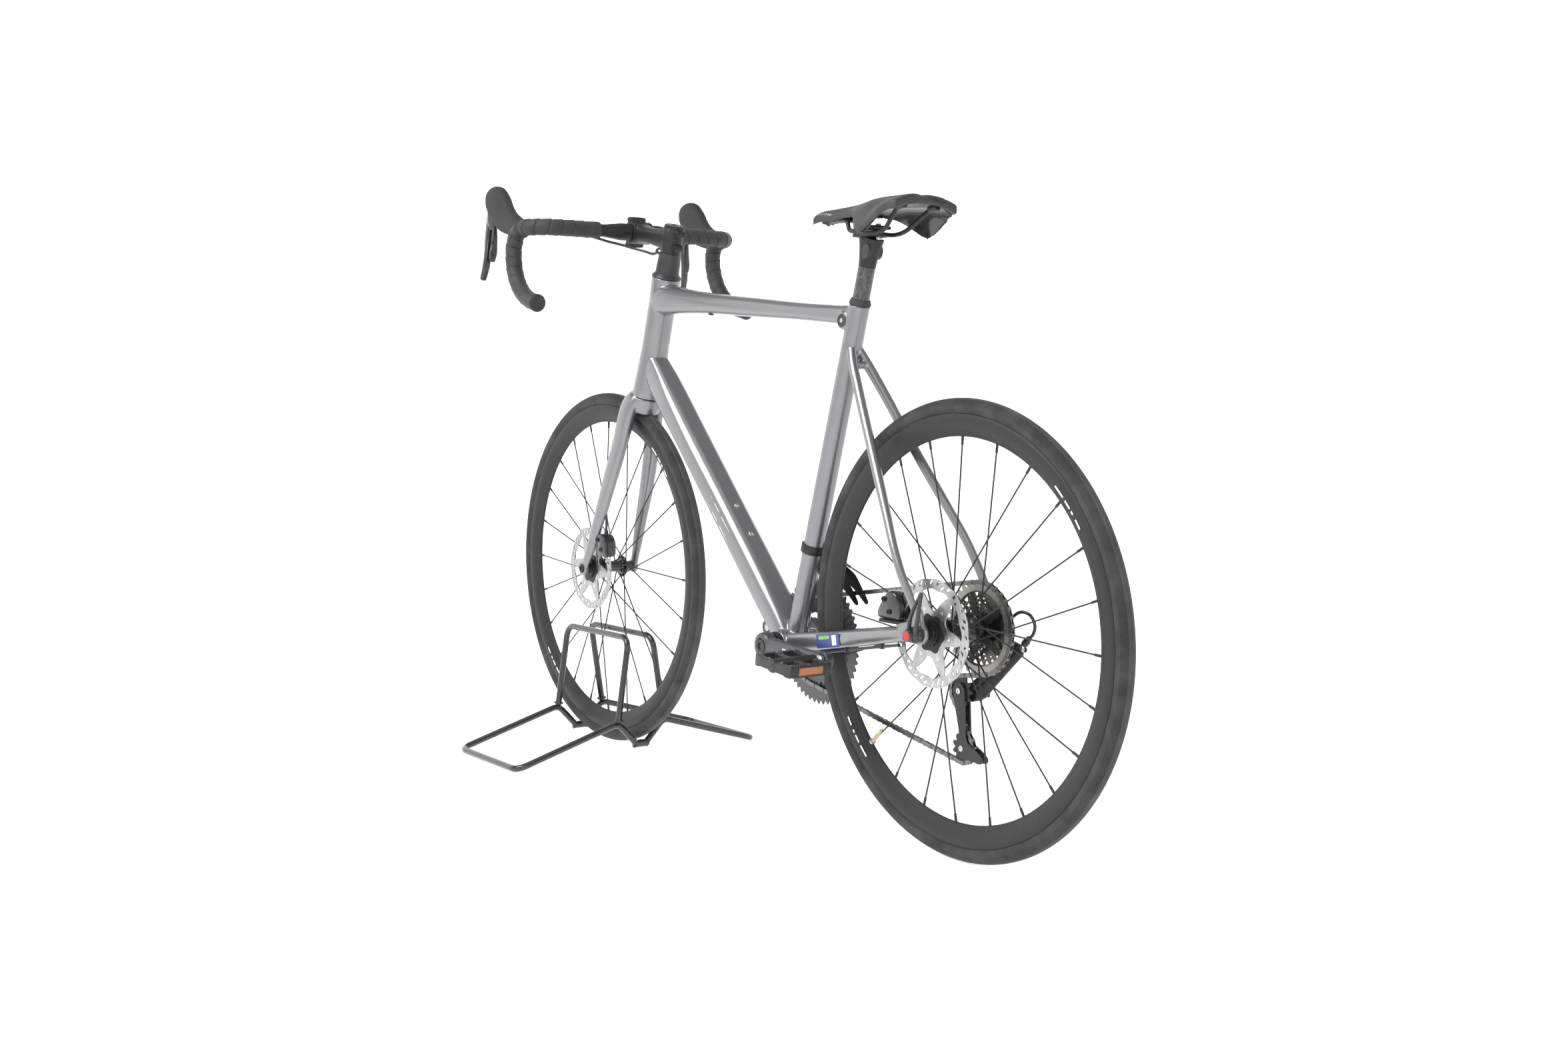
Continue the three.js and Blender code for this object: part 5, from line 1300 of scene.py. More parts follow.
    def hub(self) -> None:
        """Turned hub shell: waisted barrel, flanges, and a stepped rotor seat."""
        left, right, reach, edge = *self.flanges, self.flange_radius, self.half_width - 0.3
        barrel = 12.5 if self.half_width > 60 else 10.5
        profile = [(6.6, -edge), (9, -edge), (9.6, -edge + 0.6), (9.6, -edge + 8),
                   (self.right_barrel, -edge + 9), (self.right_barrel, right - 4), (reach - 3, right - 3),
                   (reach, right - 2.4), (reach, right - 0.6), (reach - 3, right), (barrel + 2.4, right + 2),
                   (barrel, right + 7), (barrel, left - 7), (barrel + 2.4, left - 2), (reach - 3, left),
                   (reach, left + 0.6), (reach, left + 2.4), (reach - 3, left + 3), (16.4, left + 4.5),
                   (16.4, self.rotor_y - 3), (16.4, self.rotor_y + 2), (13, self.rotor_y + 3.4),
                   (9.6, self.rotor_y + 4), (9.6, edge - 0.6), (9, edge), (6.6, edge)]
        shells = [self.ring([*profile, profile[0]], 64)]
        piece(self.name("hub"), joined(shells), GLOSS_PLASTIC, Slot.GLOSS, self.body,
              nodes=[self.prefix + "_hub"], bevel=0.4, angle=40)

    def rotor(self) -> None:
        """Brake rotor: a wavy steel track with slanted slots, on a six-armed steel carrier with a black middle.

        Formula: the plate is a polar grid of radius and angle. The outer edge moves in and out
        twelve times, columns lean forward with the radius, and cells whose place falls in a
        slot are left out.
        """
        columns, waves = 288, 12
        angle = np.linspace(0, TAU, columns, endpoint=False)
        share = np.linspace(0, 1, 15)[:, None]
        outer = self.rotor_radius - 1.3 * (0.5 - 0.5 * np.cos(waves * angle)) ** 1.5
        inner = 64.5 + 1.4 * np.cos(waves * angle + 0.8)
        radius = inner + (outer - inner) * share
        lean = angle + 0.16 * share
        flat = np.stack([radius * np.cos(lean), radius * np.sin(lean)], -1) + self.axle[[0, 2]]
        low = np.insert(flat, 1, self.rotor_y - 0.9, axis=-1)
        high = np.insert(flat, 1, self.rotor_y + 0.9, axis=-1)
        row = np.arange(14)[:, None]
        step = np.arange(columns)[None, :] % 24
        slot_a = (step >= 2) & (step < 5) & (row >= 6) & (row < 12)
        slot_b = (step >= 9) & (step < 12) & (row >= 3) & (row < 9)
        slot_c = (step >= 16) & (step < 19) & (row >= 6) & (row < 12)
        track = pierced(low, high, ~(slot_a | slot_b | slot_c))
        metal = TurnedMetal(self.prefix + "_rotor_steel", centre=self.centre_on_floor())
        piece(self.name("rotor"), track, metal, Slot.STEEL, self.body,
              nodes=[self.prefix + "_rotor"], bevel=0.15, angle=60)
        self.carrier()

    def centre_on_floor(self) -> tuple[float, float]:
        """Axle place in metres, as X and Z."""
        spot = bike_to_floor(self.axle)
        return float(spot[0]), float(spot[2])

    def carrier(self) -> None:
        """Six silver arms from the middle to the track, each with a rivet, on a black middle."""
        angle = np.linspace(0, TAU, 240, endpoint=False)
        star = np.maximum(0.5 + 0.5 * np.cos(6 * angle), 0) ** 1.9
        outer = polar(34 + 31.5 * star, angle + 0.1) + self.axle[[0, 2]]
        inner = polar(26, angle + 0.1) + self.axle[[0, 2]]
        disc = washer(outer, inner, self.rotor_y - 1.1, self.rotor_y + 1.1, 0.3)
        metal = TurnedMetal(self.prefix + "_rotor_steel", centre=self.centre_on_floor())
        piece(self.name("rotor_carrier"), disc, metal, Slot.STEEL, self.body, angle=40)
        petals = polar(27.5 + 2.5 * np.cos(6 * angle), angle + 0.1) + self.axle[[0, 2]]
        middle = washer(petals, polar(16.9, angle) + self.axle[[0, 2]], self.rotor_y - 1.7, self.rotor_y + 1.7, 0.5)
        piece(self.name("rotor_middle"), middle, BLACK_ALLOY, Slot.BLACK, self.body, angle=40)
        teeth = 18.6 - 1.6 * ((np.arange(240) // 10) % 2)
        cap = washer(polar(teeth, angle) + self.axle[[0, 2]], polar(10.2, angle) + self.axle[[0, 2]],
                     self.rotor_y + 1.5, self.rotor_y + 4.2, 0.3)
        piece(self.name("lockring"), cap, BLACK_ALLOY, Slot.BLACK, self.body, angle=40)
        rivets = []
        for k in range(6):
            turn = 0.1 + k * TAU / 6
            spot = self.axle + np.array([38.0 * math.cos(turn), self.rotor_y - 1.6, 38.0 * math.sin(turn)])
            rivets.append(revolved([(1.6, 0), (3.4, 0.2), (3.4, 3.0), (1.6, 3.2)], spot, segments=14))
        piece(self.name("rotor_rivets"), joined(rivets), STEEL, Slot.STEEL, self.body)

    def valve(self) -> None:
        """Presta valve: threaded brass stem, a milled nut, and a thin plunger."""
        c, s = math.cos(self.valve_angle), math.sin(self.valve_angle)
        out = np.array([c, 0.0, s])
        bed = self.rim_outer - self.rim_depth
        thread = [(3.0 + 0.22 * (k % 2), -9 + k * 0.55) for k in range(60)]
        profile = [*thread, (2.3, 24.5), (2.3, 27), (2.9, 27.5), (2.9, 31), (2.0, 31.5), (1.2, 35)]
        place = self.axle + out * bed
        stem = revolved(profile, place, -out, 14)
        nut = revolved([(3.2, 0.2), (5.4, 0.2), (5.4, 2.6), (4.4, 3.2), (3.2, 3.2)], place, -out, 16)
        piece(self.name("valve"), stem, BRASS, Slot.STEEL, self.body)
        piece(self.name("valve_nut"), nut, STEEL, Slot.STEEL, self.body)

    def build(self) -> None:
        """All of the wheel's pieces."""
        self.tyre()
        self.rim()
        self.wires()
        self.hub()
        self.rotor()
        self.valve()


def pierced(low: Array, high: Array, keep: Array, wrap: bool = True) -> Shell:
    """A plate over a grid with some of its cells left out.

    Formula: kept cells get a face on both tables, and each edge between a kept cell and an
    empty one, or the rim of the grid, gets a wall between the tables.

    Args:
        low: (rows, columns, 3) underside.
        high: the same grid on the top side.
        keep: which cells stay, with one row fewer, and one column fewer unless it wraps.
        wrap: whether the last column joins the first.

    Returns:
        The plate's shell.
    """
    rows, cols = low.shape[:2]
    count = rows * cols
    i, j = np.nonzero(keep)
    j1 = (j + 1) % cols
    a, b, c, d = i * cols + j, i * cols + j1, (i + 1) * cols + j1, (i + 1) * cols + j
    faces = [np.stack([a, b, c, d], -1) + count, np.stack([d, c, b, a], -1)]
    padded = np.pad(keep, ((1, 1), (0, 0)))
    left, right = np.roll(keep, 1, 1), np.roll(keep, -1, 1)
    if not wrap:
        left[:, 0] = False
        right[:, -1] = False
    open_edges = [
        (a, b, ~padded[:-2][keep]), (b, c, ~right[keep]), (c, d, ~padded[2:][keep]), (d, a, ~left[keep])
    ]
    for start, end, free in open_edges:
        s, e = start[free], end[free]
        faces.append(np.stack([e + count, s + count, s, e], -1))
    uvs = [np.full((*f.shape, 2), 0.5) for f in faces]
    points = np.concatenate([low.reshape(-1, 3), high.reshape(-1, 3)])
    return Shell(points, faces, uvs).outward()


# ---------------------------------------------------------------- frame and fork
@dataclass
class Frame:
    """Silver welded frame with its bottom bracket, collar, wedge, bolts and labels."""

    down_width: float = 56.0
    down_depth: float = 50.0
    chamfer: float = 16.5
    seat_tube_radius: float = 16.6
    seat_tube_length: float = 574.0
    head_tube: tuple[float, float] = (361.0, 588.0)
    wedge_place: tuple[float, float, float] = (-247.0, 0.0, 795.5)

    @property
    def wedge(self) -> Array:
        """Middle of the eye that holds the seatpost's wedge."""
        return np.array(self.wedge_place)

    def down_tube(self) -> Shell:
        """Chamfered down tube that swells at the head and flattens at the bottom bracket."""
        top, foot = steerer(429), BOTTOM_BRACKET
        rows = [(0.0, 44, 50, 6, 6), (0.06, 48, 53, 8, 8), (0.14, 54, 52, 12, 10), (0.25, 57, 50, 14, 11),
                (0.6, 57, 50, 14, 11), (0.86, 58, 48, 14, 10), (0.95, 58, 43, 9, 8), (1.0, 60, 36, 5, 6)]
        return limb([(*(top + (foot - top) * s), w, d, p, c) for s, w, d, p, c in rows], 64, 48)

    def top_tube(self) -> Shell:
        """Flat-sided top tube that tapers to the seat tube, with a crease along each side."""
        top, foot = steerer(547), seat_tube(556)
        rows = [(0.0, 53, 58, 5, 8), (0.05, 52, 54, 7, 9), (0.13, 47, 46, 9, 9), (0.25, 42, 38, 12, 9),
                (0.5, 38, 33, 12, 8), (0.85, 33, 29, 10, 7), (0.95, 31, 32, 6, 6), (1.0, 30, 38, 4, 5)]
        return limb([(*(top + (foot - top) * s), w, d, p, c) for s, w, d, p, c in rows], 64, 48)

    def tubes(self) -> Shell:
        """Head tube, seat tube, bottom bracket shell and bridge."""
        low, high = self.head_tube
        head = [(15.0, 0), (29, 0.0), (29.5, 1.5), (29.3, 14), (27.6, 45), (25.4, 95), (25.2, high - low - 44),
                (26.4, high - low - 14), (26.6, high - low - 1), (26.0, high - low), (15.0, high - low)]
        seat = [(14.3, 4), (17, 4), (self.seat_tube_radius + 0.4, 440), (self.seat_tube_radius, 574), (14.3, 574)]
        shell = [(19.4, -38), (22.6, -38), (23, -37.5), (23, 37.5), (22.6, 38), (19.4, 38)]
        bridge = seat_tube(self.seat_tube_length - 98) + np.array([-30, 0, 0])
        rung = rod(np.array([bridge + SIDEWAYS * y for y in (-17, 0, 17)]), 6, 20)
        eye = [(0.01, -17.6), (13.2, -17.6), (13.8, -17.0), (13.8, 17.0), (13.2, 17.6), (0.01, 17.6)]
        return joined([
            revolved(eye, self.wedge, SIDEWAYS, 48),
            revolved([*head, head[0]], steerer(low), STEER_UP, 72),
            revolved([*seat, seat[0]], BOTTOM_BRACKET, SEAT_UP, 64),
            revolved([*shell, shell[0]], BOTTOM_BRACKET, SIDEWAYS, 72), rung])

    def seat_stay(self) -> Shell:
        """Slim two-faceted seat stay that leaves the seat tube low and spreads to the dropout."""
        rows = [(-257, 6, 752, 16, 22), (-272, 14, 729, 16, 20), (-298, 23, 690, 16, 19), (-356, 41, 600, 16, 18),
                (-396, 54, 540, 16, 18), (-423, 63, 500, 15, 17), (-449, 71.5, 460, 14, 17),
                (-470, 75, 425, 13, 18), (-496, 75, 384, 10, 18), (-508, 74.8, 362, 8, 17)]
        return limb([(*row[:3], row[3], row[4], 5, 5.5) for row in rows], 60, 28)

    def chain_stay(self) -> Shell:
        """Deep chainstay that leaves the shell beside the tyre and spreads to the dropout."""
        foot = REAR_AXLE + np.array([12, 0, -1])
        rows = [(0.02, 22, 28, 36, 4), (0.1, 24, 20, 35, 5), (0.2, 28.5, 17, 34, 6), (0.38, 41, 16, 31, 6),
                (0.6, 54.5, 16, 28, 6), (0.8, 66, 15, 25, 5), (0.93, 73, 11, 23, 4), (1.0, 74.8, 8, 22, 3)]
        line = [BOTTOM_BRACKET + (foot - BOTTOM_BRACKET) * s for s, *_ in rows]
        return limb([(p[0], r[1], p[2], r[2], r[3], r[4], 5) for p, r in zip(line, rows)], 60, 28)

    def dropout(self, drive_side: bool) -> Shell:
        """Flat end that holds the axle, with the gear hanger on the right."""
        corners = [(48, 11), (48, -12), (24, -14), (6, -16), (-9, -14), (-17, -5), (-17, 6), (-8, 17),
                   (-2, 38), (14, 38), (24, 16)]
        if drive_side:
            corners[3:5] = [(8, -16), (3, -27), (-4, -36), (-14, -34), (-17, -22), (-13, -11)]
        flat = rounded(corners, 6) + REAR_AXLE[[0, 2]]
        plate = slab(flat, 71.4, 78.2)
        return plate.mirrored() if drive_side else plate

    def label(self, along: float, length: float, low: float, high: float, y: float, name: str,
              finish: Finish) -> None:
        """A thin plain label on the left chainstay, between two distances from the bracket."""
        foot = REAR_AXLE + np.array([12, 0, -1])
        run = (foot - BOTTOM_BRACKET) / np.linalg.norm(foot - BOTTOM_BRACKET)
        up = np.cross(SIDEWAYS, run) * -1
        corners = []
        for a, h in ((along, low), (along + length, low), (along + length, high), (along, high)):
            spot = BOTTOM_BRACKET + run * a + up * h
            spread = y + (a - along) * 0.151
            corners.append(spot + np.array([0, spread, 0]))
        loop = np.array(corners)
        outer = loop + np.array([0, 0.25, 0])
        piece(name, sheet(np.stack([loop, outer])), finish, Slot.SILVER, "frame")

    def fittings(self) -> None:
        """Bottom bracket cups, seat collar, wedge, bottle bolts and the top tube's plug."""
        cup = [(12.6, 38.3), (19, 38.3), (21.3, 38.5), (21.5, 41), (21.5, 44), (20.6, 45.6), (12.6, 45.6)]
        ring = revolved([*cup, cup[0]], BOTTOM_BRACKET, SIDEWAYS, 64,)
        piece("bottom_bracket_cups", both_sides(ring), BLACK_ALLOY, Slot.BLACK, "frame",
              nodes=["bottom_bracket"])
        lip = [(14.1, 0.3), (17.4, 0.3), (17.8, 1.2), (17.4, 3), (16.0, 7), (15.2, 9), (14.1, 9.4)]
        piece("seat_collar_boot", revolved([*lip, lip[0]], seat_tube(self.seat_tube_length), SEAT_UP, 56),
              SEAL_RUBBER, Slot.GRIP, "frame", nodes=["seat_collar"])
        plug = revolved([(0.01, 15.0), (10.6, 15.0), (10.6, 17.9), (9.9, 18.5), (8.8, 18.1), (0.01, 17.6)],
                        self.wedge, SIDEWAYS, 40)
        piece("wedge_cover", both_sides(plug), MATT_PLASTIC, Slot.PLASTIC, "frame")
        piece("wedge_bolt", both_sides(bolt(self.wedge + SIDEWAYS * 17.4, (0, 1, 0), 3.4, 1.4)),
              STEEL, Slot.STEEL, "frame")
        run = (steerer(429) - BOTTOM_BRACKET) / np.linalg.norm(steerer(429) - BOTTOM_BRACKET)
        up = np.cross(run, SIDEWAYS)
        up = up if up[2] > 0 else -up
        bolts = []
        for at in (215.0, 279.0):
            bolts.append(bolt(BOTTOM_BRACKET + run * at + up * 24.6, up, 4.6, 2.6))
        ahead = np.cross(SIDEWAYS, SEAT_UP)
        ahead = ahead if ahead[0] > 0 else -ahead
        for at in (250.0, 314.0):
            bolts.append(bolt(seat_tube(at) + ahead * 16.2, ahead, 4.6, 2.6))
        piece("bottle_bolts", joined(bolts), STEEL, Slot.STEEL, "frame")
        under = steerer(547) + (seat_tube(556) - steerer(547)) * 0.3
        plug = revolved([(0.01, -1.0), (5, -1.0), (5, 1.0), (3.8, 1.8), (1.0, 2.0)],
                        under + np.array([0, 8.0, -18.4]), np.array([0, 0.1, -1]), 24)
        piece("top_tube_plug", plug, MATT_PLASTIC, Slot.PLASTIC, "frame")

    def stripes(self) -> None:
        """Plain slanted white bars along the flat left and right faces of the down tube.

        Formula: each bar is a parallelogram in the tube's own length and height, laid on the
        side face and given a thickness of a fifth of a millimetre.
        """
        top, foot = steerer(429), BOTTOM_BRACKET
        run = (top - foot) / np.linalg.norm(top - foot)
        up = np.cross(run, SIDEWAYS)
        up = up if up[2] > 0 else -up
        bars = []
        for at, wide in ((150, 34), (196, 20), (228, 34), (274, 20), (306, 34), (352, 20), (384, 34)):
            low, high = -8.6, 8.6
            corners = [(at, low), (at + wide, low), (at + wide + 7, high), (at + 7, high)]
            flat = np.array([foot + run * a + up * h for a, h in corners])
            bars.append(sheet(np.stack([flat + SIDEWAYS * 27.7, flat + SIDEWAYS * 28.25])))
        piece("down_tube_bars", both_sides(joined(bars)), WHITE_INK, Slot.SILVER, "frame")

    def build(self) -> None:
        """The welded frame and everything fixed to it."""
        parts = [self.down_tube(), self.top_tube(), self.tubes(), both_sides(self.seat_stay()),
                 both_sides(self.chain_stay()), self.dropout(False), self.dropout(True)]
        fused = welded("frame_skin", joined(parts).moved(bike_to_floor), 2.0, 9)
        dressed("frame_skin", fused, PAINT, "frame", ["frame"], angle=60)
        self.fittings()
        self.stripes()
        self.label(122, 74, -11, 11, 45.4, "stay_label", BLUE_LABEL)
        self.label(172, 14, -8, 8, 53.2, "stay_label_block", WHITE_INK)
        self.label(130, 34, -8, -2.5, 46.9, "stay_label_bar", GREEN_LABEL)


@dataclass
class Fork:
    """Silver fork with its crown, blades, axle and front brake."""

    crown: float = 361.0

    def blade(self) -> Shell:
        """Left blade: broad and flat at the crown, bowed beside the tyre, slim at the axle."""
        rows = [(380, -1, 676, 46, 26), (380, 10, 675, 46, 27), (384, 20, 667, 46, 28), (390, 27, 651, 46, 27),
                (398, 30.5, 628, 46, 25), (410, 34, 590, 46, 21), (420.5, 37.5, 558, 45, 20), (435.5, 41, 520, 43, 19),
                (451.5, 44, 480, 39, 18.5), (469, 46.5, 440, 35, 17), (486, 49.5, 400, 31, 15.5),
                (503, 53, 362, 26, 12), (513.5, 55, 339, 25, 9.5), (515.5, 55, 327, 21, 8)]
        return limb([(*row, 4.5, 6) for row in rows], 80, 36, side=np.array([1.0, 0, 0]))

    def crown_shell(self) -> Shell:
        """Flared seat under the head tube."""
        race = [(15, -30), (24, -30), (28.5, -16), (29.4, -4), (29.4, -0.4), (15, -0.4)]
        return revolved([*race, race[0]], steerer(self.crown), STEER_UP, 64)

    def build(self) -> None:
        """Fork, axle, brake and brake hose."""
        parts = [self.crown_shell(), both_sides(self.blade())]
        boss = [(6.5, 50.4), (13.5, 50.4), (13.5, 58.5), (12.5, 59.4), (6.5, 59.4)]
        parts.append(both_sides(revolved([*boss, boss[0]], FRONT_AXLE, SIDEWAYS, 48)))
        fused = welded("fork_skin", joined(parts).moved(bike_to_floor), 1.6, 9)
        dressed("fork_skin", fused, PAINT, "fork", ["fork"], angle=60)
        column = rod(np.array([steerer(s) for s in (600, 680)]), 14.2, 32)
        piece("steerer_column", column, BLACK_ALLOY, Slot.BLACK, "fork")
        seal = [(15, -0.3), (28.6, -0.3), (29.0, 0.0), (28.6, 0.3), (15, 0.3)]
        piece("crown_seal", revolved([*seal, seal[0]], steerer(self.crown), STEER_UP, 56),
              SEAL_RUBBER, Slot.GRIP, "fork")
        left = [(2.5, 57.2), (2.5, 59.8), (5.8, 59.8), (6.2, 60.2), (8, 60.4), (8, 61.4), (6.8, 62.2), (3.2, 62.2),
                (3.2, 60.4)]
        rod_profile = [(0.01, -61), (5.8, -61), (6, -60.5), (6, 59.4), (8.2, 59.6), (8.2, 61.4), (7.2, 62.0),
                       (3.4, 62.0), (3.4, 58.5), (0.01, 58.5)]
        piece("front_axle_pin", revolved(rod_profile, FRONT_AXLE, SIDEWAYS, 40), BLACK_ALLOY, Slot.BLACK,
              "fork", nodes=["front_axle"], angle=30)
        del left
        FrontBrake().build()


@dataclass
class FrontBrake:
    """Front flat-mount caliper on the left blade, and its hose."""

    centre: tuple[float, float, float] = (455.0, 40.0, 387.0)

    def build(self) -> None:
        """Caliper body in two halves, its bridge, bolts and hose."""
        caliper_body("front_caliper_body", [(437, 366), (471, 366), (474, 374), (473, 404), (466, 410), (451, 410),
                     (437, 396)], (27.5, 52.5), 39.6, FRONT_AXLE, "fork", "front_caliper")
        top = np.array([451.0, 42, 409])
        path = spline([top + (0, 0, -3), top + (0, 0, 10), top + (-1, 0, 26), top + (2, 0, 44)], 24)
        piece("front_brake_hose", rod(path, 2.5, 16), HOSE_PLASTIC, Slot.PLASTIC, "fork",
              nodes=["front_caliper_hose"])
        cuff = revolved([(2.7, 0), (4.6, 0), (4.6, 6), (4.0, 8.5), (2.7, 8.5)], top - (0, 0, 1),
                        np.array([0, 0, 1.0]), 16, hexagonal)
        piece("front_hose_nut", cuff, BLACK_ALLOY, Slot.BLACK, "fork")


def caliper_body(
    name: str, outline: Sequence[Sequence[float]], levels: tuple[float, float], rotor_y: float,
    axle: Array, body: str, node: str,
) -> None:
    """A brake caliper: two halves either side of the rotor, joined behind it, with bolts.

    Formula: each half is the rounded outline as a slab with its outer face drawn in, and the
    bridge is the part of the outline outside the rotor's edge.

    Args:
        name: the piece's name.
        outline: corners in X and Z.
        levels: lowest and highest Y.
        rotor_y: middle of the rotor.
        axle: the wheel's centre.
        body: the body that it rides on.
        node: the CAD node that it stands for.
    """
    flat = rounded(outline, 7)
    middle = flat.mean(0)
    halves = []
    for face, lip in ((levels[1], rotor_y + 2.1), (levels[0], rotor_y - 2.1)):
        steps = [(lip, 1.0), (lip + (face - lip) * 0.55, 1.0), (lip + (face - lip) * 0.9, 0.93), (face, 0.8)]
        halves.append(sheet(np.stack([np.insert(middle + (flat - middle) * k, 1, y, axis=1) for y, k in steps])))
    away = flat - axle[[0, 2]]
    reach = np.linalg.norm(away, axis=1, keepdims=True)
    held = np.where(reach < 83.5, away / reach * 83.5, away) + axle[[0, 2]]
    halves.append(slab(held, rotor_y - 2.4, rotor_y + 2.4))
    piece(name, joined(halves), GLOSS_PLASTIC, Slot.GLOSS, body, nodes=[node], bevel=0.8, angle=30)
    spots = middle + np.array([[8.0, 9.0], [-5.0, -9.0]])
    heads = [bolt((x, levels[1] - 0.3, z), (0, 1, 0), 4.2, 3.0) for x, z in spots]
    piece(name + "_bolts", joined(heads), BLACK_ALLOY, Slot.BLACK, body)


# ---------------------------------------------------------------- cockpit
@dataclass
class Cockpit:
    """Drop bar with its tape, plugs, hoods, levers, paddles, stem, cover and hoses."""

    half_width: float = 213.5
    tape_start: float = 92.0
    tape_pitch: float = 21.0
    tape_radius: float = 14.9
    bare_radius: float = 11.6

    def bar_line(self, count: int) -> Array:
        """Centre line of the left half of the bar, from the stem to the end of the drop."""
        rows = [(0, 40, 0), (0, 100, 0), (0, 164, 0), (4, 184, 0), (14.5, 199.5, 0), (30, 209.5, 0),
                (50, 214, 0), (69, 215, -6), (81, 217, -28), (79, 219, -62), (61, 221, -97), (32, 223, -121),
                (-1, 225, -134), (-26, 226, -139)]
        return spline([BAR_CENTRE + np.array(r) for r in rows], count)

    def tape(self) -> Shell:
        """Tape wound round the bar with each turn overlapping the last.

        Formula: the radius grows from one edge of a turn to the other by the tape's thickness
        and drops back at the overlap. The turn is found from the distance along the bar and
        the angle round it.
        """
        line = densified(self.bar_line(400), 1.3)
        line = line[line[:, 1] > self.tape_start]
        sides = 44
        angle = np.linspace(0, TAU, sides, endpoint=False)
        at = np.concatenate([[0.0], np.cumsum(np.linalg.norm(np.diff(line, axis=0), axis=1))])[:, None]
        turn = np.mod(at / self.tape_pitch - angle / TAU, 1.0)
        ridge = 1.0 - np.exp(-((1 - turn) / 0.05)) - 0.55 * turn
        edge = np.clip((at / 3.0), 0, 1) ** 0.4
        radius = (self.tape_radius - 1.2 + 1.9 * ridge) * (0.86 + 0.14 * edge)
        return swept(line, radius * np.cos(angle), radius * np.sin(angle))

    def hood(self) -> Shell:
        """Rubber hood: a long saddle for the palm that rises to a rounded knob."""
        rows = [(50, 0, 32, 32, 2.2, 0), (62, -1, 31.5, 36, 2.3, 0), (80, 5, 29.5, 39, 2.4, 0),
                (102, 13, 29, 46, 2.5, 0), (126, 26, 30.5, 58, 2.6, 0), (146, 43, 32, 66, 2.7, 0),
                (160, 53, 32.5, 65, 2.7, 0), (172, 56, 31, 54, 2.6, 0), (182, 55.5, 26.5, 38, 2.5, 0),
                (188, 54.5, 18, 20, 2.3, 0)]
        line = [(BAR_CENTRE[0] + r[0], self.half_width, BAR_CENTRE[2] + r[1], *r[2:]) for r in rows]
        return limb(line, 56, 44, nose=2.5)

    def lever(self) -> Shell:
        """Brake lever blade that hangs from its pin and hooks forward at the tip."""
        rows = [(1, 0, 9, 11, 13, 3, 0), (3, 0, 0, 13, 18, 3, 0), (8, 1.5, -25, 13, 17, 3, 0), (10, 3, -45, 13, 14, 3, 0),
                (9.5, 4.5, -65, 13, 12, 3, 0), (12, 7, -95, 14, 10.5, 3, 0), (20, 9.5, -119, 13, 8, 2.6, 0)]
        return limb([(*(self.pivot() + np.array(r[:3])), *r[3:]) for r in rows], 48, 28, nose=4)

    def paddle(self) -> Shell:
        """Shift paddle behind the lever."""
        rows = [(-8, -0.5, -14, 9, 9, 3, 0), (-7.5, -1, -35, 10, 8, 3, 0), (-6.5, -0.5, -56, 13, 6, 3, 0),
                (-5, 1, -75, 15, 5, 3, 0), (-3, 2, -87, 11, 4.5, 2.6, 0)]
        return limb([(*(self.pivot() + np.array(r[:3])), *r[3:]) for r in rows], 36, 24, nose=2)

    def pivot(self) -> Array:
        """The left lever's pin."""
        return BAR_CENTRE + np.array([180, self.half_width, 34])

    def sides(self, name: str, shell: Shell, finish: Finish, slot: Slot, body: str = "fork",
              node: str = "", **rest: float) -> None:
        """A left piece and its mirror image. body and node take the side's name after them."""
        for side, form in (("left", shell), ("right", shell.mirrored())):
            rides = body if body == "fork" else f"{body}_{side}"
            nodes = [f"{node}_{side}"] if node else []
            piece(f"{name}_{side}", form, finish, slot, rides, nodes=nodes, **rest)

    def bar(self) -> None:
        """Bare middle of the bar, its thick clamp zone, the tape and the end plugs."""
        left = self.bar_line(120)
        whole = np.concatenate([left[::-1] * np.array([1, -1, 1]), left])
        reach = np.abs(whole[:, 1])
        radius = self.bare_radius + (15.9 - self.bare_radius) * (1 - np.clip((reach - 40) / 34, 0, 1) ** 1.0)
        piece("bar_tube", rod(whole, radius, 36), BLACK_ALLOY, Slot.BLACK, "fork", nodes=["handlebar"])
        self.sides("bar_tape_wrap", self.tape(), TAPE, Slot.GRIP, node="bar_tape", angle=50)
        start = BAR_CENTRE + np.array([0, self.tape_start, 0])
        band = revolved([(12.2, -5), (15.1, -5), (15.6, -2), (15.4, 5), (12.2, 5)], start, SIDEWAYS, 48)
        self.sides("tape_band", band, SEAL_RUBBER, Slot.GRIP)
        end = self.bar_line(200)
        back = end[-1] - end[-2]
        back /= np.linalg.norm(back)
        cap = revolved([(11, -2), (15.6, -2), (16.2, -0.5), (16.2, 1.5), (14.5, 3), (11.0, 3.3), (10.2, 2.4), (4, 2.2)],
                       end[-1], back, 48)
        self.sides("bar_plug", cap, MATT_PLASTIC, Slot.PLASTIC)

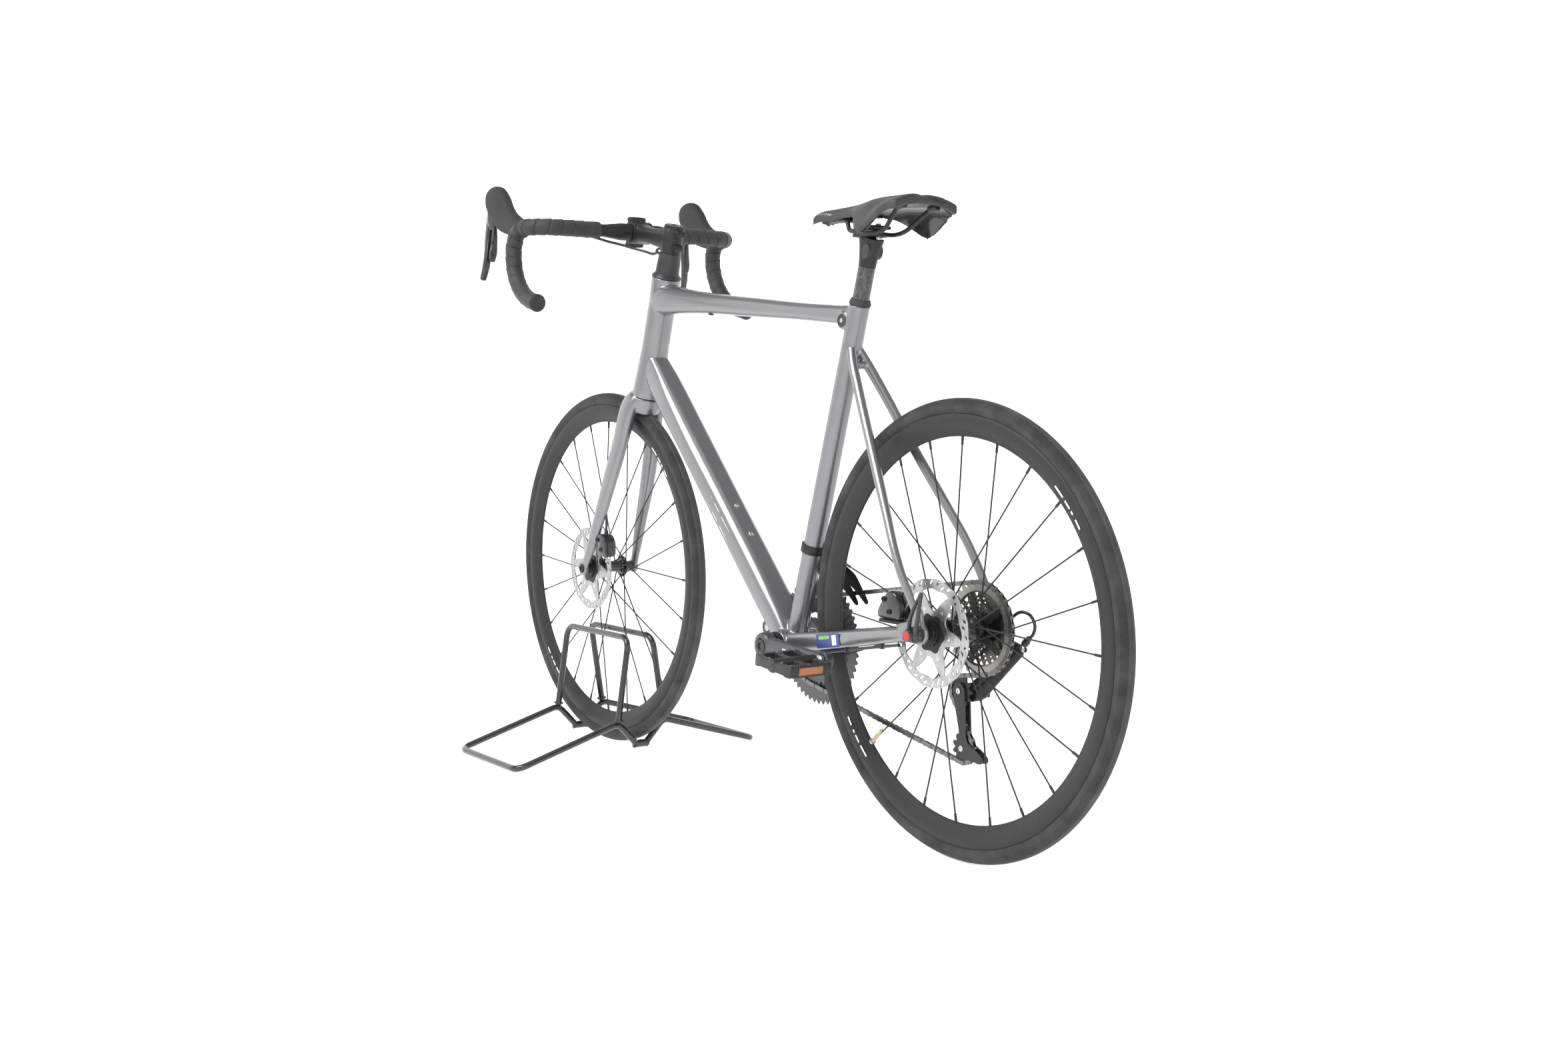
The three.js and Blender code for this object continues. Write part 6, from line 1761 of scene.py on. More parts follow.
    def controls(self) -> None:
        """Hoods, levers and paddles with their small parts."""
        self.sides("hood", self.hood(), HOOD_RUBBER, Slot.GRIP, node="lever_hood")
        self.sides("lever_blade", self.lever(), GLOSS_PLASTIC, Slot.GLOSS, "brake_lever", "brake_lever")
        self.sides("paddle_blade", self.paddle(), GLOSS_PLASTIC, Slot.GLOSS, "shift_paddle", "shift_paddle")
        p = self.pivot()
        rows = [(p[0] - 14, p[1], p[2] + 12, 24, 22, 4, 4), (p[0] - 6, p[1], p[2] - 2, 25, 26, 4, 5),
                (p[0] - 3, p[1], p[2] - 18, 20, 20, 4, 4), (p[0] - 3, p[1] - 0.3, p[2] - 28, 14, 13, 3, 3)]
        self.sides("lever_yoke", limb(rows, 30, 28, nose=2), GLOSS_PLASTIC, Slot.GLOSS)
        pin = rod(np.array([p + SIDEWAYS * y for y in (-9, 0, 9)]), 3, 20)
        self.sides("lever_pin", pin, STEEL, Slot.STEEL)

    def stem(self) -> None:
        """Stem with its two rear clamp bolts, faceplate with four bolts, cap and cover."""
        ahead = np.array([math.cos(math.radians(10.2)), 0, math.sin(math.radians(10.2))])
        up = np.array([-ahead[2], 0, ahead[0]])
        root = steerer(657)
        rows = [(2, 34, 40), (18, 33, 38), (45, 31, 33), (80, 31, 30), (100, 36, 33), (108, 42, 36)]
        body = limb([(*(root + ahead * a), w, d, 3.4, 0) for a, w, d in rows], 40, 40)
        clamp = [(14.6, -23.2), (18.4, -23.2), (19, -22.4), (19, 22.4), (18.4, 23.2), (14.6, 23.2)]
        ring = revolved([*clamp, clamp[0]], root, STEER_UP, 56)
        lug = [(0.01, -8.5), (5.6, -8.5), (6.4, -7.6), (6.4, 7.6), (5.6, 8.5), (0.01, 8.5)]
        ears = joined([revolved(lug, root - ahead * 20.5 + STEER_UP * rise, SIDEWAYS, 28) for rise in (-12.5, 12.5)])
        half = [(16.0, -21), (19.9, -21), (20.6, -20.2), (20.6, 20.2), (19.9, 21), (16.0, 21)]
        barrel = revolved([*half, half[0]], BAR_CENTRE, SIDEWAYS, 64)
        piece("stem_body", joined([body, ring, ears, barrel]), BLACK_ALLOY, Slot.BLACK, "fork", nodes=["stem"],
              bevel=0.5, angle=40)
        heads = []
        for rise in (-12.5, 12.5):
            spot = root - ahead * 20.5 + STEER_UP * rise
            heads.append(bolt(spot + SIDEWAYS * 8.2, (0, 1, 0), 3.9, 3.0))
        piece("stem_clamp_bolts", joined(heads), SPOKE_BLACK, Slot.WIRE, "fork")
        front = BAR_CENTRE + ahead * 12
        face = limb([(*(front + up * a), 41, d, 6, 5) for a, d in ((-27, 12), (-20, 15), (0, 19), (20, 15), (27, 12))],
                    36, 32, nose=1.5)
        piece("stem_face", face, BLACK_ALLOY, Slot.BLACK, "fork", nodes=["stem_faceplate"])
        heads = [bolt(BAR_CENTRE + ahead * 18.5 + up * (k * 23) + SIDEWAYS * y, ahead, 3.6, 2.6)
                 for k in (-1, 1) for y in (-13.5, 13.5)]
        piece("faceplate_bolts", joined(heads), STEEL, Slot.STEEL, "fork")
        cap = [(0.01, 22.6), (17.6, 22.6), (18.2, 23.6), (18.0, 26.4), (16.6, 27.6), (5.4, 28.0), (4.8, 26.6), (0.01, 26.6)]
        piece("steerer_cap", revolved(cap, root, STEER_UP, 56), BLACK_ALLOY, Slot.BLACK, "fork")
        base = 588.3
        cover = [(15, 0), (27, 0), (27.2, 1.2), (25.4, 4), (22.4, 7), (21.6, 12), (21.2, 26), (19.6, 40), (18.4, 45.2),
                 (15, 45.2)]
        piece("headset_cone", revolved([*cover, cover[0]], steerer(base), STEER_UP, 64), MATT_PLASTIC, Slot.PLASTIC,
              "fork", nodes=["headset_cover"])

    def hoses(self) -> None:
        """Control hoses that hug the underside of the bar and stem."""
        foot = steerer(629.7)
        b = BAR_CENTRE
        path = spline([b + (0, 98, -13), b + (-3, 86, -16), b + (-6, 70, -20), b + (-12, 45, -25), b + (-22, 26, -31),
                       b + (-42, 14, -37), b + (-64, 9, -43), foot + (22.5, 8, 4), foot + (16, 7.5, -6)], 90)
        self.sides("bar_hose", rod(path, 2.5, 14), HOSE_PLASTIC, Slot.PLASTIC, node="control_hose")

    def build(self) -> None:
        """Everything at the handlebar."""
        self.bar()
        self.controls()
        self.stem()
        self.hoses()


# ---------------------------------------------------------------- saddle and seatpost
@dataclass
class Saddle:
    """Padded cover, shell with wings, wire rails, clamp and seatpost."""

    length: float = 272.0
    width: float = 141.0
    nose_x: float = -157.9
    rail_level: float = 930.6
    gauge: float = 22.0
    lip: float = 0.85

    def grid(self, along: Array, across: Array, inset: float, rise: float) -> Array:
        """Points of the saddle's top skin.

        Formula: half the width is narrow at the nose and swells smoothly behind a third of the
        length, rounded at both ends. The top is crowned along the length and droops towards
        the edges by a power of the distance across. The rear edge has a notch in its middle.

        Args:
            along: (rows, 1) share of the length from the nose.
            across: (1, columns) share of the half width, from -1 to 1.
            inset: how far the skin is drawn in at the edge.
            rise: height added to the skin.

        Returns:
            (rows, columns, 3) places.
        """
        t = np.clip((along - 0.34) / 0.42, 0, 1)
        spread = t**3 * (t * (t * 6 - 15) + 10)
        front = np.sqrt(np.clip(along / 0.07 + 0.2, 0, 1))
        tail = np.sqrt(np.clip(1 - (np.clip(along - 0.8, 0, 1) / 0.25) ** 2, 0, 1))
        half = (21.0 + (self.width / 2 - 21.0) * spread) * front * (0.62 + 0.38 * tail) - inset
        wing = np.exp(-((along - 0.72) / np.where(along < 0.72, 0.13, 0.15)) ** 2)
        droop = 9 + 3.5 * spread + 34 * wing
        c = np.clip((along - 0.1) / 0.75, 0, 1)
        crown = 40 + 6.5 * c * c * (3 - 2 * c) - 4.5 * np.exp(-((along / 0.06) ** 2))
        dip = 1.6 * np.exp(-((across / 0.16) ** 2)) * np.clip((along - 0.12) / 0.2, 0, 1)
        notch = 9.0 * np.exp(-((across / 0.22) ** 2)) * np.clip((along - 0.8) / 0.2, 0, 1) ** 2
        z = self.rail_level + crown + rise - droop * np.abs(across) ** (2.2 + 1.6 * wing) - dip
        x = self.nose_x - self.length * along + notch + 0 * across
        return np.stack([x, half * across, z + 0 * across], -1)

    def skin(self, thickness: float, inset: float, rise: float, low: float, high: float,
             rows: int, cols: int) -> Shell:
        """A closed sheet under the top skin, between two shares of the length."""
        along = (low + (high - low) * (0.5 - 0.5 * np.cos(np.linspace(0, math.pi, rows))))[:, None]
        across = np.sin(np.linspace(-math.pi / 2, math.pi / 2, cols))[None, :]
        top = self.grid(along, across, inset, rise)
        lip = np.maximum(np.abs(across) ** 6, np.clip((along - 0.78) / 0.2, 0, 1) ** 3)
        edge = 1 + self.lip * lip if thickness > 5 else 1 - 0.35 * np.abs(across) ** 3
        under = self.grid(along, across, inset + 0.6, rise) - np.stack(
            [0 * along * across, 0 * along * across, thickness * edge + 0 * along], -1)
        loop = np.concatenate([top, under[:, ::-1]], axis=1)
        return sheet(loop)

    def pad(self) -> None:
        """The padded cover, blown up a little as cloth so that its edges roll under."""
        start = self.skin(7.2, 1.0, -0.8, 0.003, 0.997, 90, 40)
        mesh = mesh_from("saddle_blank", start.moved(bike_to_floor))
        obj = bpy.data.objects.new("saddle_cover", mesh)
        bpy.context.scene.collection.objects.link(obj)
        puff(obj, 2.6, 1.2)
        shade(obj.data, 70)
        obj.data.materials.clear()
        nose = bike_to_floor(np.array([self.nose_x, 0, 960]))
        obj.data.materials.append(SaddleCover("saddle_cover_skin", tuple(float(v) for v in nose)).material())
        soft = obj.modifiers.new("soft", "SUBSURF")
        soft.levels = soft.render_levels = 1
        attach(obj, "frame")
        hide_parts("saddle_pad")

    def base(self) -> None:
        """Glossy shell under the pad with its side wings, and the rails."""
        shell = self.skin(2.2, 5.0, -8.2, 0.05, 0.93, 70, 36)
        piece("saddle_base", shell, GLOSS_PLASTIC, Slot.GLOSS, "frame", nodes=["saddle_shell"], angle=50)
        g, z = self.gauge, self.rail_level
        back = [self.nose_x - self.length * s for s in (0.95, 0.89, 0.8, 0.74, 0.45, 0.4, 0.36, 0.25, 0.165)]
        left = [(back[0], 32, z + 28), (back[1], 31, z + 26), (back[2], 26, z + 11), (back[3], g, z), (back[4], g, z),
                (back[5], 19, z + 3), (back[6], 15, z + 16), (back[7], 9, z + 22), (back[8], 0, z + 22)]
        right = [(x, -y, h) for x, y, h in left[:-1]][::-1]
        piece("rail_wire", rod(spline(left + right, 160), 3.5, 18), BLACK_ALLOY, Slot.BLACK, "frame",
              nodes=["saddle_rails"])
        seats = [limb([(back[1] + 2, s * 31, z + 27, 13, 11, 4, 3), (back[0] + 3, s * 32, z + 30, 15, 12, 4, 3)],
                      8, 20, nose=2) for s in (1, -1)]
        nose = limb([(back[7] - 8, 0, z + 23, 24, 9, 4, 3), (back[8] + 6, 0, z + 24, 14, 9, 4, 3)], 8, 20, nose=2)
        piece("rail_seats", joined([*seats, nose]), MATT_PLASTIC, Slot.PLASTIC, "frame")

    def post(self) -> None:
        """Seatpost with its forged head, a dark oval of painted shade in place of its window, clamp plates and bolts.
        """
        foot, neck = seat_tube(460), seat_tube(634)
        piece("seatpost_tube", rod(densified(np.stack([foot, neck]), 8), 13.6, 48), CARBON, Slot.BLACK, "frame",
              nodes=["seatpost"])
        head = np.array([-298.9, 0, 915.6])
        ahead = np.cross(SIDEWAYS, SEAT_UP)
        ahead = ahead if ahead[0] > 0 else -ahead
        rows, cols = 15, 24
        high = np.linspace(0, 1, rows)[:, None]
        angle = np.linspace(0, TAU, 48, endpoint=False)[None, :]
        centre = neck + (head + np.array([1, 0, 6]) - neck) * high[..., None]
        deep = 13.6 + 9.5 * high**1.3
        wide = 13.6 - 0.8 * np.sin(math.pi * high)
        power = 2 + 1.2 * high
        reach = (np.abs(np.cos(angle)) ** power + np.abs(np.sin(angle)) ** power) ** (-1 / power)
        body = centre + (wide * reach * np.cos(angle))[..., None] * SIDEWAYS + (deep * reach * np.sin(angle))[..., None] * ahead
        piece("seatpost_head", sheet(body), BLACK_ALLOY, Slot.BLACK, "frame", bevel=0.8)
        oval = np.linspace(0, TAU, cols * 2, endpoint=False)
        middle = neck + (head - neck) * 0.62 - ahead * 6
        rim = []
        for y, k in ((-14.2, 1.0), (-14.2, 0.82), (14.2, 0.82), (14.2, 1.0)):
            rim.append(middle + SIDEWAYS * y + k * (10.0 * np.cos(oval)[:, None] * ahead + 14 * np.sin(oval)[:, None] * SEAT_UP))
        # The window is not cut through the head: this dark oval is painted shade standing in for its recess.
        piece("head_window_painted_shade", sheet(np.stack(rim[1:3])), SEAL_RUBBER, Slot.BLACK, "frame")
        z = self.rail_level
        plates = [limb([(head[0] - 21, 0, z - 6.0, 52, 7, 6, 3), (head[0], 0, z - 6.6, 53, 8.5, 6, 3),
                        (head[0] + 21, 0, z - 6.0, 52, 7, 6, 3)], 20, 28, nose=1.5),
                  limb([(head[0] - 20, 0, z + 4.6, 52, 6, 6, 3), (head[0], 0, z + 5.2, 53, 7.4, 6, 3),
                        (head[0] + 20, 0, z + 4.6, 52, 6, 6, 3)], 20, 28, nose=1.5)]
        piece("rail_clamp", joined(plates), BLACK_ALLOY, Slot.BLACK, "frame", nodes=["saddle_clamp"])
        heads = [bolt((head[0] + k * 15, 0, z - 10), (k * 0.18, 0, -1), 4.2, 5) for k in (-1, 1)]
        heads += [bolt((head[0] + k * 15, 0, z + 7.6), (0, 0, 1), 4.2, 3) for k in (-1, 1)]
        piece("rail_clamp_bolts", joined(heads), STEEL, Slot.STEEL, "frame")

    def build(self) -> None:
        """Saddle, rails, clamp and post."""
        self.pad()
        self.base()
        self.post()


def puff(obj: bpy.types.Object, voxel: float, cap: float) -> None:
    """Blows a closed mesh up as cloth under pressure, and keeps the result as its mesh.

    Formula: each point moves to its place after twenty frames of cloth under pressure, but no
    further than the cap.

    Args:
        obj: the mesh object, which is changed.
        voxel: size of the remesh, in millimetres.
        cap: the furthest that a point may move, in millimetres.
    """
    remesh = obj.modifiers.new("grid", "REMESH")
    remesh.mode = "VOXEL"
    remesh.voxel_size = voxel * MM
    graph = bpy.context.evaluated_depsgraph_get()
    even = bpy.data.meshes.new_from_object(obj.evaluated_get(graph))
    obj.modifiers.clear()
    obj.data = even
    rest = np.empty(len(even.vertices) * 3, np.float32)
    even.vertices.foreach_get("co", rest)
    cloth = obj.modifiers.new("air", "CLOTH")
    cloth.settings.use_pressure = True
    cloth.settings.uniform_pressure_force = 4.0
    cloth.settings.effector_weights.gravity = 0.0
    cloth.settings.quality = 6
    scene = bpy.context.scene
    for frame_number in range(1, 21):
        scene.frame_set(frame_number)
    graph = bpy.context.evaluated_depsgraph_get()
    blown = np.empty_like(rest)
    obj.evaluated_get(graph).data.vertices.foreach_get("co", blown)
    obj.modifiers.clear()
    move = (blown - rest).reshape(-1, 3)
    far = np.linalg.norm(move, axis=1, keepdims=True)
    move *= np.minimum(1.0, cap * MM / np.maximum(far, 1e-9))
    even.vertices.foreach_set("co", (rest.reshape(-1, 3) + move).reshape(-1))
    even.update()
    scene.frame_set(1)


# ---------------------------------------------------------------- drivetrain
def pitch_radius(teeth: int) -> float:
    """Radius on which a chain's pins lie round a number of teeth."""
    return CHAIN_PITCH / (2 * math.sin(math.pi / teeth))


def toothed(teeth: int, inner: float, half: float, y: float, centre: Array, phase: float = 0.0) -> Shell:
    """A toothed ring.

    Formula: the outline's radius rises from the root to the tip and back over each tooth as a
    flattened cosine, and its edges are chamfered.

    Args:
        teeth: number of teeth.
        inner: radius of the hole.
        half: half of the thickness.
        y: level of its middle.
        centre: the axle.
        phase: turn, in teeth.

    Returns:
        The ring's shell.
    """
    steps = 8 if teeth > 20 else 10
    angle = np.linspace(0, TAU, teeth * steps, endpoint=False)
    wave = np.cos(teeth * angle + TAU * phase)
    root, tip = pitch_radius(teeth) - 4.0, pitch_radius(teeth) + 2.4
    lift = np.clip(0.5 + 0.75 * wave, 0, 1)
    radius = root + (tip - root) * lift
    flat = centre[[0, 2]]
    low, high = y - half, y + half
    lip = np.minimum(radius, tip - 2.2)
    rings = [(polar(inner, angle), low), (polar(lip, angle), low), (polar(radius, angle), y - half * 0.35),
             (polar(radius, angle), y + half * 0.35), (polar(lip, angle), high), (polar(inner, angle), high)]
    return sheet(np.stack([np.insert(p + flat, 1, level, axis=1) for p, level in rings]), wrap_u=True)


@dataclass
class Drivetrain:
    """Chain, cassette, derailleurs and pulleys."""

    chain_y: float = -39.5
    front_teeth: int = 36
    cogs: tuple[int, ...] = (11, 12, 13, 14, 16, 18, 20, 23, 26, 30, 34)
    cog_spacing: float = 2.75
    cog_y: float = -38.5
    guide: Array = field(default_factory=lambda: REAR_AXLE + np.array([38.0, 0, -98.0]))
    tension: Array = field(default_factory=lambda: REAR_AXLE + np.array([30.0, 0, -184.0]))

    def route(self) -> Array:
        """Closed line of the chain's pins, in X and Z.

        Formula: between two wheels the chain leaves along the line that touches both, found
        from the difference of their signed radii over their distance. Round a wheel it follows
        an arc. The guide pulley turns the other way, so its radius is negative.
        """
        wheels = [(BOTTOM_BRACKET, pitch_radius(self.front_teeth)), (REAR_AXLE, pitch_radius(self.cogs[-1])),
                  (self.guide, -pitch_radius(11)), (self.tension, pitch_radius(11))]
        heading = []
        for k, (here, radius) in enumerate(wheels):
            there, next_radius = wheels[(k + 1) % 4]
            away = (there - here)[[0, 2]]
            heading.append(math.atan2(away[1], away[0])
                           + math.asin((radius - next_radius) / float(np.linalg.norm(away))))
        line = []
        for k, (here, radius) in enumerate(wheels):
            start, end = heading[k - 1], heading[k]
            sweep = (end - start) % TAU if radius > 0 else -((start - end) % TAU)
            turn = start + np.linspace(0, sweep, 60)
            line.append(here[[0, 2]] + radius * np.stack([np.sin(turn), -np.cos(turn)], -1))
        loop = np.concatenate(line)
        return np.concatenate([loop, loop[:1]])

    def chain(self) -> None:
        """Links with waisted plates and rollers, spaced evenly along the route.

        Formula: a plate's outline is two circles joined by a narrower waist. It is set between
        each pair of pins, and inner and outer plates alternate.
        """
        loop = self.route()
        step = np.linalg.norm(np.diff(loop, axis=0), axis=1)
        at = np.concatenate([[0.0], np.cumsum(step)])
        count = 2 * int(round(at[-1] / CHAIN_PITCH / 2))
        here = np.arange(count + 1) * at[-1] / count
        pins = np.stack([np.interp(here, at, loop[:, k]) for k in range(2)], -1)
        a, b = pins[:-1], pins[1:]
        ahead = (b - a) / np.linalg.norm(b - a, axis=1, keepdims=True)
        up = np.stack([-ahead[:, 1], ahead[:, 0]], -1)
        angle = np.radians([110, 160, 200, 250])
        half = 4.0
        left = np.stack([half * np.cos(angle), half * np.sin(angle)], -1)
        waist = np.array([[CHAIN_PITCH / 2, -2.9]])
        outline = np.concatenate([left, waist, -left + [CHAIN_PITCH, 0], waist * [1, -1]])
        flat = (a[:, None] + outline[None, :, :1] * ahead[:, None] + outline[None, :, 1:] * up[:, None])
        shells = []
        for odd, gap in ((0, 1.75), (1, 2.55)):
            for side in (-1, 1):
                ys = sorted((self.chain_y + side * gap, self.chain_y + side * (gap + 0.75)))
                shells.append(prisms(flat[odd::2], *ys))
        turn = np.linspace(0, TAU, 8, endpoint=False)
        roller = a[:, None] + 3.8 * np.stack([np.cos(turn), np.sin(turn)], -1)
        shells.append(prisms(roller, self.chain_y - 1.7, self.chain_y + 1.7))
        pin = a[:, None] + 1.7 * np.stack([np.cos(turn), np.sin(turn)], -1)
        shells.append(prisms(pin, self.chain_y - 3.5, self.chain_y + 3.5))
        piece("chain_links", joined(shells), CHAIN_STEEL, Slot.STEEL, "frame", nodes=["chain"])

    def cassette(self) -> None:
        """Eleven toothed cogs on a black carrier, with a lockring; the smaller cogs are darker as painted shade."""
        rings, spacers = [], []
        for k, teeth in enumerate(self.cogs):
            y = self.cog_y - (len(self.cogs) - 1 - k) * self.cog_spacing
            inner = max(18.6, pitch_radius(teeth) - (13 if teeth == self.cogs[-1] else 7.2))
            rings.append(toothed(teeth, inner, 0.8, y, REAR_AXLE, 0.25 * k))
            if k < len(self.cogs) - 1:
                tube = [(18.2, y + 0.9), (22.0, y + 0.9), (22.0, y + 1.9), (18.2, y + 1.9)]
                spacers.append(revolved([*tube, tube[0]], REAR_AXLE, SIDEWAYS, 40))
        piece("cassette_cogs", joined(rings[-1:]), COGS, Slot.STEEL, "cassette", nodes=["cassette"])
        # Painted shade: the smaller cogs are darker because they lie deeper, behind the largest cog.
        piece("cassette_small_cogs", joined(rings[:-1]), SHADED_SMALL_COGS, Slot.STEEL, "cassette")
        angle = np.linspace(0, TAU, 200, endpoint=False)
        star = 22 + 34 * np.maximum(np.cos(5 * angle), 0) ** 2.2
        flat = REAR_AXLE[[0, 2]]
        spacers.append(washer(polar(star, angle) + flat, polar(18.4, angle) + flat, self.cog_y + 0.9, self.cog_y + 2.3))
        piece("cassette_carrier", joined(spacers), BLACK_ALLOY, Slot.BLACK, "cassette")
        lock = [(12, -68.6), (17.5, -68.6), (18, -68.0), (18, -66.8), (12, -66.8)]
        piece("cassette_lockring", revolved([*lock, lock[0]], REAR_AXLE, SIDEWAYS, 48), STEEL, Slot.STEEL, "cassette")

    def pulleys(self) -> None:
        """Toothed pulleys with a bushing."""
        for name, centre in (("guide_pulley", self.guide), ("tension_pulley", self.tension)):
            wheel = toothed(11, 4.6, 1.7, self.chain_y, centre, 0.5)
            piece(name + "_wheel", wheel, MATT_PLASTIC, Slot.PLASTIC, name, nodes=[name])
            bush = [(2.7, -2.4), (5.4, -2.4), (5.6, -2.0), (5.6, 2.0), (5.4, 2.4), (2.7, 2.4)]
            hub = revolved([*bush, bush[0]], centre + SIDEWAYS * self.chain_y, SIDEWAYS, 28)
            piece(name + "_bush", hub, STEEL, Slot.STEEL, name)

    def rear_derailleur(self) -> None:
        """Cage plates, knuckles, link and body of the rear derailleur, with its cable."""
        g, t, y = self.guide[[0, 2]], self.tension[[0, 2]], self.chain_y
        tip = t + (-44, -14)
        corners = [g + (-13, 6), g + (-2, 15), g + (12, 8), g + (12, -10), t + (6, 26), t + (9, 0), t + (4, -13),
                   tip + (0, -4), tip + (-5, 4), tip + (4, 12), t + (-10, 12), g + (-15, -22)]
        outer = slab(rounded(corners, 9), y - 6.6, y - 4.0)
        inner = slab(rounded(np.array(corners) * 0.995 + np.array([-2.4, 1.0]), 9), y + 4.0, y + 5.8)
        pins = [rod(np.array([[p[0], y + k, p[1]] for k in (-6.4, 0, 6.2)]), 2.4, 16) for p in (g, t)]
        piece("cage_plates", joined([outer, inner, *pins]), MATT_PLASTIC, Slot.PLASTIC, "frame",
              nodes=["derailleur_cage"], bevel=0.5, angle=40)
        heads = [bolt((p[0], y + 5.7, p[1]), (0, 1, 0), 4.6, 1.6) for p in (g, t)]
        heads += [bolt((p[0], y - 6.5, p[1]), (0, -1, 0), 4.6, 1.6) for p in (g, t)]
        piece("pulley_bolts", joined(heads), STEEL, Slot.STEEL, "frame")
        hang = REAR_AXLE + np.array([-5, 0, -27])
        knuckle = np.array([self.guide[0] - 14, 0, self.guide[2] - 2])
        upper = hang + np.array([-24, -90, -6])
        lower = np.array([knuckle[0] - 6, -59, knuckle[2]])
        mount = revolved([(5, -78.8), (13, -78.8), (13.4, -79.4), (13.4, -90), (11.5, -92.6), (5, -92.6)],
                         hang, SIDEWAYS, 40)
        reach = limb([(*(hang + (0, -86, 0)), 12, 22, 4, 4), (*(hang + (-12, -88.5, -2)), 15, 22, 4, 5),
                      (*upper, 17, 23, 4, 5)], 20, 28, nose=3)
        arm = limb([(*upper, 21, 25, 4, 6), (*(upper * 0.55 + lower * 0.45), 23, 25, 4, 7), (*lower, 24, 27, 4, 7)],
                   28, 32, nose=5)
        plate = limb([(*(upper + (6, 13, -4)), 5, 16, 5, 3), (*(lower + (4, 13, 8)), 5, 17, 5, 3)], 14, 20, nose=3)
        drum = revolved([(3, -46.2), (13, -46.2), (13.6, -47), (13.6, -64), (12, -66.4), (3, -66.4)],
                        knuckle, SIDEWAYS, 40)
        piece("derailleur_body", joined([mount, reach, arm, plate, drum]), BLACK_ALLOY, Slot.BLACK, "frame",
              nodes=["rear_derailleur"], bevel=0.5, angle=40)
        heads = [bolt(hang - SIDEWAYS * 92, (0, -1, 0), 6, 2.4), bolt(upper + (-3, -11.5, 0), (0, -1, 0), 4, 2),
                 bolt(upper + (-13, 4, 3), (-1, 0, 0.1), 3, 2), bolt(lower + (-5, -12, -4), (0, -1, 0), 4, 2)]
        piece("derailleur_bolts", joined(heads), STEEL, Slot.STEEL, "frame")
        start = REAR_AXLE + np.array([-19.5, -74.8, 4])
        barrel = hang + np.array([-38, -90.3, 6])
        hub = REAR_AXLE
        path = spline([start, hub + (-31, -76, 18), hub + (-46.5, -79, 27), hub + (-60, -83, 23.5),
                       hub + (-66, -87, 10), hub + (-61, -89.6, -4), hub + (-52, -90.3, -13), barrel], 90)
        piece("shift_cable_loop", rod(path, 2.5, 16), HOSE_PLASTIC, Slot.PLASTIC, "frame",
              nodes=["rear_shift_cable"])
        collar = revolved([(2.7, -3), (5.2, -3), (5.6, -2), (5.6, 6), (4.4, 8), (4.4, 13), (2.7, 13)], barrel,
                          np.array([-9.0, 0.0, 9.0]), 20, lambda a: 1 + 0.03 * np.cos(10 * a))
        piece("barrel_adjuster", collar, MATT_PLASTIC, Slot.PLASTIC, "frame")
        sleeve = revolved([(2.7, -4), (4.4, -4), (4.4, 4), (3.6, 6), (2.7, 6)], start, np.array([-0.58, -0.06, 0.81]), 18)
        piece("cable_ferrule", sleeve, BLACK_ALLOY, Slot.BLACK, "frame")

    def front_derailleur(self) -> None:
        """Band, body and cage of the front derailleur."""
        clamp = seat_tube(168)
        band = [(17.4, -7), (19.9, -7), (20.3, -6.4), (20.3, 6.4), (19.9, 7), (17.4, 7)]
        ring = revolved([*band, band[0]], clamp, SEAT_UP, 56)
        top = BOTTOM_BRACKET[2] + pitch_radius(52) + 4.2
        x = clamp[0]
        body = limb([(x - 12, -20, clamp[2] - 4, 26, 26, 5, 5), (x - 14, -34, clamp[2] - 10, 28, 25, 5, 6),
                     (x - 13, -45, clamp[2] - 14, 24, 22, 5, 5)], 16, 28, side=np.array([1.0, 0, 0]), nose=3)
        corners = [(20, 4), (20, 24), (-14, 23), (-42, 10), (-78, -32), (-72, -38), (-48, -20), (-14, 0)]
        flat = rounded(corners, 8) + np.array([x, top])
        plates = [slab(flat, -34.7, -33.2), slab(flat, -55.0, -53.4)]
        bridge = slab(rounded([(x - 20, top + 24), (x + 10, top + 24), (x + 10, top + 29), (x - 20, top + 29)], 2),
                      -54, -34)
        piece("front_derailleur_body", joined([ring, body, *plates, bridge]), BLACK_ALLOY, Slot.BLACK, "frame",
              nodes=["front_derailleur"], bevel=0.4, angle=40)

    def build(self) -> None:
        """Everything that the chain runs on."""
        self.chain()
        self.cassette()
        self.pulleys()
        self.rear_derailleur()
        self.front_derailleur()


def prisms(outlines: Array, low: float, high: float) -> Shell:
    """Many flat plates at once.

    Formula: each outline gives a face at the low level, a face at the high level and a wall
    between them.

    Args:
        outlines: (plates, corners, 2) places in X and Z.
        low: lower Y.
        high: upper Y.

    Returns:
        One shell of all the plates, facing outwards.
    """
    many, corners = outlines.shape[:2]
    below = np.insert(outlines, 1, low, axis=2)
    above = np.insert(outlines, 1, high, axis=2)
    points = np.concatenate([below, above], axis=1).reshape(-1, 3)
    base = np.arange(many)[:, None] * 2 * corners
    ring = np.arange(corners)[None, :]
    nxt = (ring + 1) % corners
    wall = np.stack([base + ring, base + nxt, base + nxt + corners, base + ring + corners], -1).reshape(-1, 4)
    faces = [base + ring[:, ::-1], base + ring + corners, wall]
    uvs = [np.full((*f.shape, 2), 0.5) for f in faces]
    return Shell(points, faces, uvs).outward()


